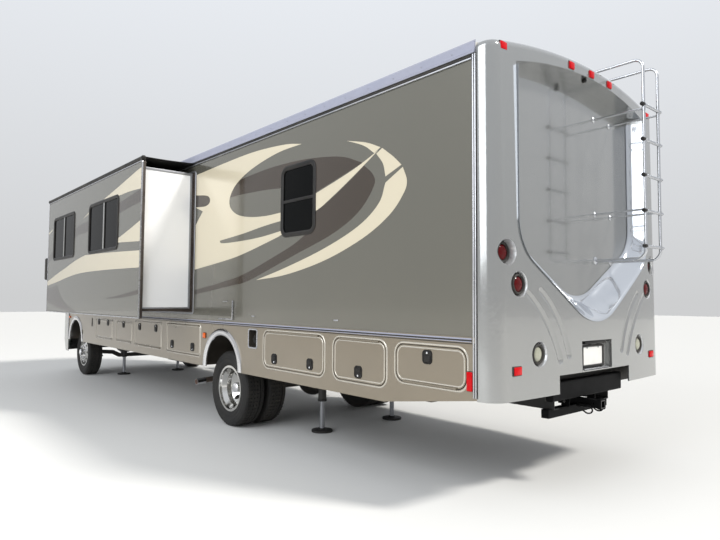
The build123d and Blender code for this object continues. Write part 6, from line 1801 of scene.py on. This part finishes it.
def blade_between(start, end, width, low, high, steps=14):
    """A bar that lies over the screen from one (x, z) point to another, a rise off its face."""
    start, end = Vector(start), Vector(end)
    across = Vector((-(end - start).y, (end - start).x)).normalized() * width / 2
    rings = []
    for step in range(steps + 1):
        here = start.lerp(end, step / steps)
        taper = 1.0 if 0 < step < steps else 0.6
        rings.append([front_at(*(here + across * taper), low)[0], front_at(*(here + across * 0.5 * taper), high)[0],
                      front_at(*(here - across * 0.5 * taper), high)[0], front_at(*(here - across * taper), low)[0]])
    return skinned(rings, closed=False)


pivot_profile = [(0, -0.002), (0.026, -0.002), (0.026, 0.016), (0.020, 0.032), (0, 0.034)]
elbow_profile = [(0, 0.012), (0.012, 0.012), (0.012, 0.032), (0, 0.032)]
wiper_parts, wiper_rubbers = [], []
for side in (-1, 1):
    wiper_rubbers.append(blade_between((side * 0.24, 1.575), (side * 0.98, 1.545), 0.008, 0.001, 0.012))
    wiper_parts.append(blade_between((side * 0.25, 1.5748), (side * 0.97, 1.5455), 0.020, 0.0125, 0.019))
    pivot, elbow = (side * 0.08, 1.425), (side * 0.61, 1.56)
    wiper_parts.append(blade_between(pivot, elbow, 0.016, 0.022, 0.030))
    for spot, profile, steps in ((pivot, pivot_profile, 24), (elbow, elbow_profile, 16)):
        at, way = front_at(*spot)
        wiper_parts.append(turned(profile, at, turn_to(way), steps))
piece("wiper_arms", wiper_parts, paddle_black)
piece("wiper_blades", wiper_rubbers, shadow_black)


# Mirrors: black textured heads on bent arms, each with a flat glass over a small convex one.
mirror_case = surface("mirror_case", rgb(24, 24, 25), 0.45, dust=0.15, mottle=0.05, grain=420.0, bump=0.25)
dress(mirror_case, "mirrors")
mirror_glass = surface("mirror_glass", rgb(232, 235, 238), 0.03, dust=0.03, mottle=0.01, bump=0.0, Metallic=1.0)
mirror_face_y, mirror_arm_z = -10.20, 2.05
panes, pane_edges, arm_bases = [], [], []
for side in (-1, 1):
    for z0, z1, pane_t in ((1.955, 2.205, 0.0022), (1.825, 1.930, 0.0040)):
        x0, x1 = sorted((side * 1.475, side * 1.645))
        ring = rounded(x0, x1, z0, z1, 0.025, 5)
        panes.append(on_rear(slab(ring, 0.0004, pane_t), mirror_face_y))
        edge = moulding(ring, [(-0.002, 0.0004), (-0.002, 0.004), (0.005, 0.004), (0.008, 0.0004)], 0.0, 1)
        pane_edges.append(on_rear(edge, mirror_face_y))
    arm_ends = [(side * 1.285, -10.045, mirror_arm_z), (side * 1.262, -10.02, mirror_arm_z)]
    arm_bases.append(bent_tube(arm_ends, 0.030, 20))
piece("mirror_panes", panes, mirror_glass)
piece("mirror_edges", pane_edges, shadow_black)
piece("mirror_bases", arm_bases, mirror_case)


# Soft furnishings: leather cab seats, a three-place sofa in the slide-out room, and the bed. The
# covers are swollen over foam by a cloth simulation, and piped seams and sewn channels follow.
hide, given, where = surface_group("leather_grain", Colour=(0.3, 0.25, 0.2, 1), Wear=0.2)
pebbles = add(hide, "ShaderNodeTexVoronoi", {"feature": "DISTANCE_TO_EDGE"}, Vector=where, Scale=420.0)
creases = noise(hide, where, Scale=22.0, Detail=6.0, Roughness=0.6)
tone = brightened(hide, ranged(hide, creases, 0.3, 0.75, 0.88, 1.1), given["Colour"])
sheen = ranged(hide, maths(hide, "MULTIPLY", creases, given["Wear"]), to_low=0.52, to_high=0.3)
end_group(hide, tone, sheen, ranged(hide, pebbles.outputs["Distance"], 0.0, 0.08))
leather = finish_of("seat_leather", hide, {"Colour": (*rgb(136, 122, 104), 1), "Wear": 0.3}, {}, 0.25, 0.0008)
piping = finish_of("seat_piping", hide, {"Colour": (*rgb(88, 76, 64), 1), "Wear": 0.3}, {}, 0.2, 0.0006)
sofa_cloth = cloth("sofa_cloth", rgb(148, 134, 114), 0.8, 900)
bed_cloth = cloth("mattress_quilt", rgb(206, 200, 188), 0.8, 1100)
pillow_cloth = cloth("pillow_cotton", rgb(226, 222, 214), 0.75, 1500)


def foam(x, y, z, round_by=0.35, segments=3):
    """A foam block from its three spans, with rounded edges."""
    return bar(*x, *y, *z, round_by * min(x[1] - x[0], y[1] - y[0], z[1] - z[0]), segments)


cover_frames = 20


def swollen(shape, name, voxel, cap, pressure=4.0):
    """The block remeshed and swollen by its cover, as one even closed mesh."""
    thing = bpy.data.objects.new(name, to_mesh(shape, name))
    scene.collection.objects.link(thing)
    remesh = thing.modifiers.new("even", "REMESH")
    remesh.mode = "VOXEL"
    remesh.voxel_size = voxel
    remesh.use_smooth_shade = True
    start = evaluated(thing)
    thing.modifiers.clear()
    thing.data = start
    before = [v.co.copy() for v in start.vertices]
    cover = thing.modifiers.new("cover", "CLOTH").settings
    cover.use_pressure = True
    cover.uniform_pressure_force = pressure
    cover.quality = 4
    cover.mass = 0.3
    cover.tension_stiffness = 15
    cover.compression_stiffness = 15
    cover.effector_weights.gravity = 0.0
    for frame_at in range(1, cover_frames + 1):
        scene.frame_set(frame_at)
    puffed = evaluated(thing)
    for vertex, old in zip(puffed.vertices, before):
        shift = vertex.co - old
        if shift.length > cap:
            vertex.co = old + shift.normalized() * cap
    scene.frame_set(1)
    thing.modifiers.clear()
    thing.data = puffed
    smooth = thing.modifiers.new("smooth", "SMOOTH")
    smooth.factor = 0.5
    smooth.iterations = 4
    done = evaluated(thing)
    bpy.data.objects.remove(thing)
    return done


def extent(mesh):
    """The lowest and highest places of a mesh along each axis."""
    return ([low(v.co[k] for v in mesh.vertices) for k in range(3)] for low in (min, max))


def sewn(mesh, lines, depth, spread=0.012):
    """Presses sewn channels into a cushion, where a line is an axis, its place and the side it is on."""
    lows, highs = extent(mesh)
    for axis, place, face, up in lines:
        middle = (lows[face] + highs[face]) / 2
        half = (highs[face] - lows[face]) / 2
        for vertex in mesh.vertices:
            towards = (vertex.co[face] - middle) / half * up
            if towards > 0.1:
                near = math.exp(-((vertex.co[axis] - place) / spread) ** 2)
                vertex.co[face] -= up * depth * near * min(1.0, (towards - 0.1) * 1.6)
    mesh.update()
    return mesh


def seam_round(mesh, flat_axis, level, radius, steps=72):
    """A piping cord round a cushion at a level, laid on its surface."""
    others = [k for k in range(3) if k != flat_axis]
    faces = faces_of(mesh)
    middle = [(low + high) / 2 for low, high in zip(*extent(mesh))]
    middle[flat_axis] = level
    points = []
    for step in range(steps):
        turn = 2 * math.pi * step / steps
        way = Vector((0, 0, 0))
        way[others[0]], way[others[1]] = math.cos(turn), math.sin(turn)
        hit = faces.ray_cast(Vector(middle) + way * 3.0, -way)[0]
        points.append(hit + way * radius * 0.3)
    lift = Vector((0, 0, 0))
    lift[flat_axis] = 1.0
    rings = []
    for i, point in enumerate(points):
        out = (points[(i + 1) % steps] - points[i - 1]).normalized().cross(lift).normalized()
        rings.append([point + radius * (math.cos(math.pi * j / 4) * out + math.sin(math.pi * j / 4) * lift)
                      for j in range(8)])
    return skinned(rings)


def shifted(mesh, name, by=(0, 0, 0), mirrored=False):
    """A copy of a mesh that is moved, or mirrored across the coach."""
    copy = mesh.copy()
    copy.name = name
    for vertex in copy.vertices:
        if mirrored:
            vertex.co.x = -vertex.co.x
        vertex.co += Vector(by)
    if mirrored:
        copy.flip_normals()
    return copy


seat_cushion = sewn(swollen(foam((0.300, 0.820), (-9.42, -8.90), (1.525, 1.645)), "seat_foam", 0.008, 0.016),
                    [(0, 0.42, 2, 1), (0, 0.70, 2, 1), (1, -9.05, 2, 1)], 0.010)
back_cushion = sewn(swollen(foam((0.312, 0.808), (-8.965, -8.845), (1.66, 2.12)), "back_foam", 0.008, 0.014),
                    [(0, 0.42, 1, -1), (0, 0.70, 1, -1), (2, 1.80, 1, -1), (2, 1.93, 1, -1)], 0.009)
head_cushion = swollen(foam((0.44, 0.68), (-8.955, -8.865), (2.15, 2.30), 0.45), "head_foam", 0.008, 0.012)
seat_seams = joined([seam_round(seat_cushion, 2, 1.600, 0.004), seam_round(back_cushion, 1, -8.925, 0.004)])
arm_rest = swollen(foam((0.255, 0.300), (-9.36, -8.95), (1.80, 1.865), 0.45), "arm_foam", 0.006, 0.008)
arm_gap = 0.565


def pad_piece(name, mesh, material, body):
    """A padded piece."""
    pad = piece(name, mesh, material, body, 80)
    return pad


for word, side in (("driver", 1), ("passenger", -1)):
    for name, mesh, fill, shift in (("seat_cushion", seat_cushion, 0.7, 0.0), ("seat_back", back_cushion, 0.7, 0.0),
                                    ("head_rest", head_cushion, 0.6, 0.0), ("arm_rest_inner", arm_rest, 0.6, 0.0),
                                    ("arm_rest_outer", arm_rest, 0.6, arm_gap)):
        moved_mesh = shifted(mesh, name, (side * shift, 0, 0), side < 0)
        pad_piece(f"{word}_{name}", moved_mesh, leather, "root")
    piece(f"{word}_seat_piping", shifted(seat_seams, "piping", mirrored=side < 0), piping, sharp=60)
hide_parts("cab_seats")
pedestals = []
seat_x = 0.56
pedestal_parts = ((0.17, -9.33, -8.99, 1.262, 1.275, 0.004), (0.14, -9.30, -9.02, 1.275, 1.47, 0.02),
                  (0.19, -9.38, -8.94, 1.47, 1.505, 0.006), (0.23, -9.40, -8.92, 1.505, 1.528, 0.006),
                  (0.20, -8.925, -8.885, 1.50, 1.72, 0.01))
for side in (-1, 1):
    x = side * seat_x
    for half, y0, y1, z0, z1, bevel in pedestal_parts:
        pedestals.append(bar(x - half, x + half, y0, y1, z0, z1, bevel))
    for post in (-0.05, 0.05):
        pedestals.append(turned([(0, 0), (0.006, 0), (0.006, 0.08), (0, 0.08)], (x + post, -8.91, 2.09), up_way, 12))
seat_black = surface("seat_frame", rgb(30, 30, 31), 0.5, dust=0.1, mottle=0.06, grain=300.0, bump=0.15)
piece("seat_pedestals", pedestals, seat_black)

sofa_base_z = 1.585
sofa_seat = swollen(foam((1.325, 1.735), (-6.49, -5.91), (sofa_base_z, 1.745)), "sofa_foam", 0.010, 0.020)
sofa_back = swollen(foam((1.755, 1.915), (-6.49, -5.91), (1.765, 2.105)), "sofa_back_foam", 0.010, 0.020)
sofa_place_w = 0.60
sofa_pads, sofa_seams = [], []
for place in range(3):
    shift = (0, sofa_place_w * place, 0)
    for name, mesh, fill in (("sofa_seat", sofa_seat, 0.7), ("sofa_back", sofa_back, 0.6)):
        pad_mesh = shifted(mesh, name, shift)
        sofa_pads.append(pad_piece(f"{name}_{place + 1}", pad_mesh, sofa_cloth, "slide_out_room"))
    for mesh, axis, level in ((sofa_seat, 2, 1.70), (sofa_seat, 2, 1.63), (sofa_back, 0, 1.80)):
        cord_shape = seam_round(mesh, axis, level, 0.004)
        bmesh.ops.translate(cord_shape, vec=shift, verts=cord_shape.verts)
        sofa_seams.append(cord_shape)
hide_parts("sofa")
piece("sofa_piping", sofa_seams, piping, "slide_out_room", 60)

stained, given, where = surface_group("wood_grain", Light=(0.3, 0.16, 0.08, 1), Dark=(0.12, 0.06, 0.03, 1), Scale=9.0)
along_grain = add(stained, "ShaderNodeVectorMath", {"operation": "MULTIPLY"}, n0=where, n1=(1.0, 1.0, 0.08)).outputs[0]
swirl = noise(stained, along_grain, Detail=8.0, Roughness=0.6, Distortion=0.8, Scale=given["Scale"])
fibres = noise(stained, along_grain, Scale=160.0, Detail=4.0)
mask = ranged(stained, maths(stained, "MULTIPLY_ADD", fibres, 0.35, swirl), 0.45, 0.9)
end_group(stained, blended(stained, mask, given["Light"], given["Dark"]),
          ranged(stained, fibres, to_low=0.28, to_high=0.45), fibres)
wood_tones = {"Light": (*rgb(124, 78, 46), 1), "Dark": (*rgb(70, 40, 24), 1), "Scale": 7.0}
cabinet_wood = finish_of("cabinet_wood", stained, wood_tones, {"Coat Weight": 0.3}, 0.1, 0.0005)
worktop = surface("worktop", rgb(176, 166, 150), 0.25, dust=0.03, mottle=0.25, grain=500.0, bump=0.02)
appliance = surface("appliance_steel", rgb(150, 151, 153), 0.3, dust=0.05, mottle=0.05, grain=300.0, bump=0.03,
                    Metallic=0.85)


# Fixed furniture: the galley with its worktop, sink and hob, the fridge, the bulkhead and the bed
# base, all in stained wood with framed doors and bright pulls.
wood_parts, pulls = [], []
cabin_floor_z, room_floor_z, worktop_z = 1.2605, 1.3405, 2.168
plinth_z, bulkhead_y, fridge_x, galley_x = 1.30, -4.098, -0.605, -0.690


def fronts(x, spans, z_spans):
    """Framed doors on a face at x, one for each span of y and z, each with a pull near its top."""
    leaf_x, rail_x = x + 0.018, x + 0.024
    for y0, y1 in spans:
        for z0, z1 in z_spans:
            wood_parts.append(bar(x, leaf_x, y0 + 0.004, y1 - 0.004, z0 + 0.004, z1 - 0.004, 0.003))
            if z1 - z0 > 0.25:
                for a0, a1, b0, b1 in ((y0 + 0.008, y1 - 0.008, z1 - 0.06, z1 - 0.008),
                                       (y0 + 0.008, y1 - 0.008, z0 + 0.008, z0 + 0.06),
                                       (y0 + 0.008, y0 + 0.06, z0 + 0.06, z1 - 0.06),
                                       (y1 - 0.06, y1 - 0.008, z0 + 0.06, z1 - 0.06)):
                    wood_parts.append(bar(leaf_x, rail_x, a0, a1, b0, b1, 0.002))
            z, middle = z1 - 0.03, (y0 + y1) / 2
            pulls.append(bar(x + 0.034, x + 0.042, middle - 0.05, middle + 0.05, z - 0.005, z + 0.005, 0.002))
            for y in (middle - 0.045, middle + 0.045):
                pulls.append(bar(leaf_x, x + 0.036, y - 0.004, y + 0.004, z - 0.004, z + 0.004, 0.001))


wood_parts += [bar(-1.238, galley_x, -7.498, -5.702, plinth_z, 2.130),
               bar(-1.238, -0.74, -7.49, -5.71, cabin_floor_z, plinth_z),
               bar(-1.238, fridge_x, -5.688, -4.702, cabin_floor_z, 3.058, 0.004),
               bar(-0.198, 1.238, bulkhead_y, -4.052, cabin_floor_z, 3.148, 0.003),
               bar(-0.755, 0.755, -2.095, -0.255, cabin_floor_z, 1.60, 0.006)]
fronts(galley_x, [(-7.49, -6.90), (-6.895, -6.305), (-6.30, -5.71)], [(1.32, 1.94), (1.945, 2.125)])
for z0, z1 in ((1.2625, plinth_z), (2.98, 3.05)):
    wood_parts.append(bar(-0.19, 1.23, -4.118, bulkhead_y, z0, z1, 0.002))
for x in (-0.12, 0.40, 0.92):
    wood_parts.append(bar(x, x + 0.05, -4.112, bulkhead_y, plinth_z, 2.98, 0.002))
piece("galley_and_bulkhead", wood_parts, cabinet_wood)
piece("cabinet_pulls", pulls, lock_chrome)
worktop_slab = bar(-1.239, -0.645, -7.499, -5.701, 2.130, worktop_z, 0.005)
piece("galley_worktop", worktop_slab, worktop)
steel_parts = [bar(fridge_x, -0.566, -5.680, -4.710, plinth_z, 2.36, 0.008),
               bar(fridge_x, -0.566, -5.680, -4.710, 2.37, 3.04, 0.008),
               bar(-1.13, -0.76, -7.42, -6.98, worktop_z, 2.171, 0.001)]
for z0, z1 in ((1.95, 2.30), (2.43, 2.70)):
    steel_parts.append(bar(-0.545, -0.530, -4.80, -4.785, z0, z1, 0.005))
    for z in (z0 + 0.02, z1 - 0.02):
        steel_parts.append(bar(-0.566, -0.535, -4.80, -4.785, z - 0.008, z + 0.008, 0.002))
steel_parts.append(bent_tube([(-1.17, -7.2, 2.17), (-1.17, -7.2, 2.33), (-1.14, -7.2, 2.40), (-1.07, -7.2, 2.41),
                              (-1.02, -7.2, 2.36), (-1.015, -7.2, 2.32)], 0.010))
piece("galley_steel", steel_parts, appliance)
hob_z = 2.174
hob_parts = [bar(-1.14, -0.74, -6.60, -6.10, worktop_z, hob_z, 0.002)]
for x, y, size in ((-1.03, -6.48, 0.07), (-1.03, -6.22, 0.05), (-0.86, -6.35, 0.08)):
    at = (x, y, hob_z)
    hob_parts.append(turned([(size, 0), (size + 0.006, 0), (size + 0.006, 0.012), (size, 0.012)], at, up_way, 28))
    hob_parts.append(turned([(0, 0), (0.022, 0), (0.022, 0.010), (0, 0.012)], at, up_way, 20))
sink_bowl = bar(-1.10, -0.79, -7.38, -7.02, 2.1712, 2.1722, 0.0004)
piece("galley_hob", hob_parts, louvre_black)
piece("galley_sink", sink_bowl, oiled_steel)

mattress = bmesh.new()
half_x, y_low, y_high, z_low, z_high = 0.745, -2.09, -0.26, 1.60, 1.815
bmesh.ops.create_cube(mattress, size=1.0)
bmesh.ops.subdivide_edges(mattress, edges=mattress.edges, cuts=34, use_grid_fill=True)
for vertex in mattress.verts:
    x, y, z = vertex.co * 2
    round_x = math.copysign(min(abs(x), 1.0) ** 0.95, x)
    edge = max(abs(x), abs(y))
    pull = 1.0 - 0.030 * (1 - z * z) * (1 if edge > 0.98 else 0)
    tuft = math.cos(round_x * 6 * math.pi) * math.cos(y * 7 * math.pi)
    crown_by = 0.010 * (1 - x ** 6) * (1 - y ** 6) + 0.004 * tuft * (1 - edge ** 8)
    vertex.co.x = round_x * half_x * pull - 0.014 * x * abs(z) ** 6 * (1 if edge > 0.98 else 0)
    vertex.co.y = (y_low + y_high) / 2 + y * (y_high - y_low) / 2 * pull
    vertex.co.z = (z_low + z_high) / 2 + z * ((z_high - z_low) / 2 - 0.012) + (crown_by if z > 0.9 else 0)
bmesh.ops.recalc_face_normals(mattress, faces=mattress.faces)
mattress_mesh = to_mesh(mattress, "mattress")
edges_of = [seam_round(mattress_mesh, 2, level, 0.005, 120) for level in (1.625, 1.785)]
mattress_pad = pad_piece("mattress", mattress_mesh, bed_cloth, "root")
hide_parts("furniture")
piece("mattress_piping", edges_of, bed_cloth, sharp=60)
pillow_mesh = swollen(foam((-0.66, -0.06), (-0.68, -0.30), (1.835, 1.925), 0.48), "pillow_foam", 0.010, 0.030, 6.0)
for place, shift in (("left", 0.72), ("right", 0.0)):
    pad_piece(f"pillow_{place}", shifted(pillow_mesh, "pillow", (shift, 0, 0)), pillow_cloth, "root")
table_top = bar(1.372, 1.926, -7.895, -7.005, 2.021, 2.054, 0.008)
piece("dinette_top", table_top, cabinet_wood, "slide_out_room")
table_leg = turned([(0, 0), (0.10, 0), (0.095, 0.010), (0.03, 0.02), (0.03, 0.66), (0.06, 0.675), (0.06, 0.681),
                    (0, 0.681)], (1.649, -7.45, room_floor_z), up_way, 28)
piece("dinette_leg", table_leg, appliance, "slide_out_room")
sofa_base = [bar(1.335, 1.925, -6.495, -4.705, room_floor_z, sofa_base_z, 0.012),
             bar(1.745, 1.927, -6.495, -4.705, sofa_base_z, 1.76, 0.008)]
piece("sofa_base", sofa_base, sofa_cloth, "slide_out_room")


# Dashboard: a grained black top with an instrument hood, two dials, a screen, air vents and a
# leather-wrapped wheel.
dash_black = surface("dash_plastic", rgb(34, 33, 33), 0.55, dust=0.06, mottle=0.06, grain=360.0, bump=0.3)
wheel_leather = finish_of("wheel_leather", hide, {"Colour": (*rgb(26, 25, 25), 1), "Wear": 0.4}, {}, 0.3, 0.0006)
dress(dash_black, "dashboard")
dress(wheel_leather, "steering_wheel")
hood_section = ((-10.03, 1.500), (-10.02, 1.58), (-9.93, 1.625), (-9.85, 1.630), (-9.85, 1.618), (-9.90, 1.610),
                (-9.905, 1.497))
hood = skinned([[(x, y, z) for y, z in hood_section] for x in (0.30, 0.82)], closed=False)
piece("dash_hood", hood, dash_black)
dials, dial_rims = [], []
dial_y, dial_z = -9.905, 1.552
for x, size in ((0.44, 0.044), (0.56, 0.026), (0.68, 0.044)):
    at = (x, dial_y, dial_z)
    dials.append(turned([(0, 0), (size, 0), (size, 0.002), (0, 0.002)], at, rear_way, 32))
    dial_rims.append(turned([(size, 0.0), (size + 0.004, 0.0), (size + 0.003, 0.006), (size, 0.006)], at, rear_way, 32))
    dial_rims.append(bar(x - 0.0012, x + 0.0012, -9.9028, -9.9018, dial_z, dial_z + size * 0.8, 0.0003))
piece("dash_dials", dials, louvre_black)
piece("dash_dial_rims", dial_rims, lock_chrome)
piece("dash_screen", bar(-0.16, 0.16, -9.835, -9.815, 1.425, 1.525, 0.006), screen_glass)
vent_slats = [grown(slat_row, start=(x, -9.95, 1.5075), step=(0, 0.012, 0), count=6, size=(0.16, 0.004, 0.006),
                    material=louvre_black) for x in (-0.80, -0.40, 0.92)]
piece("dash_vents", vent_slats, louvre_black)
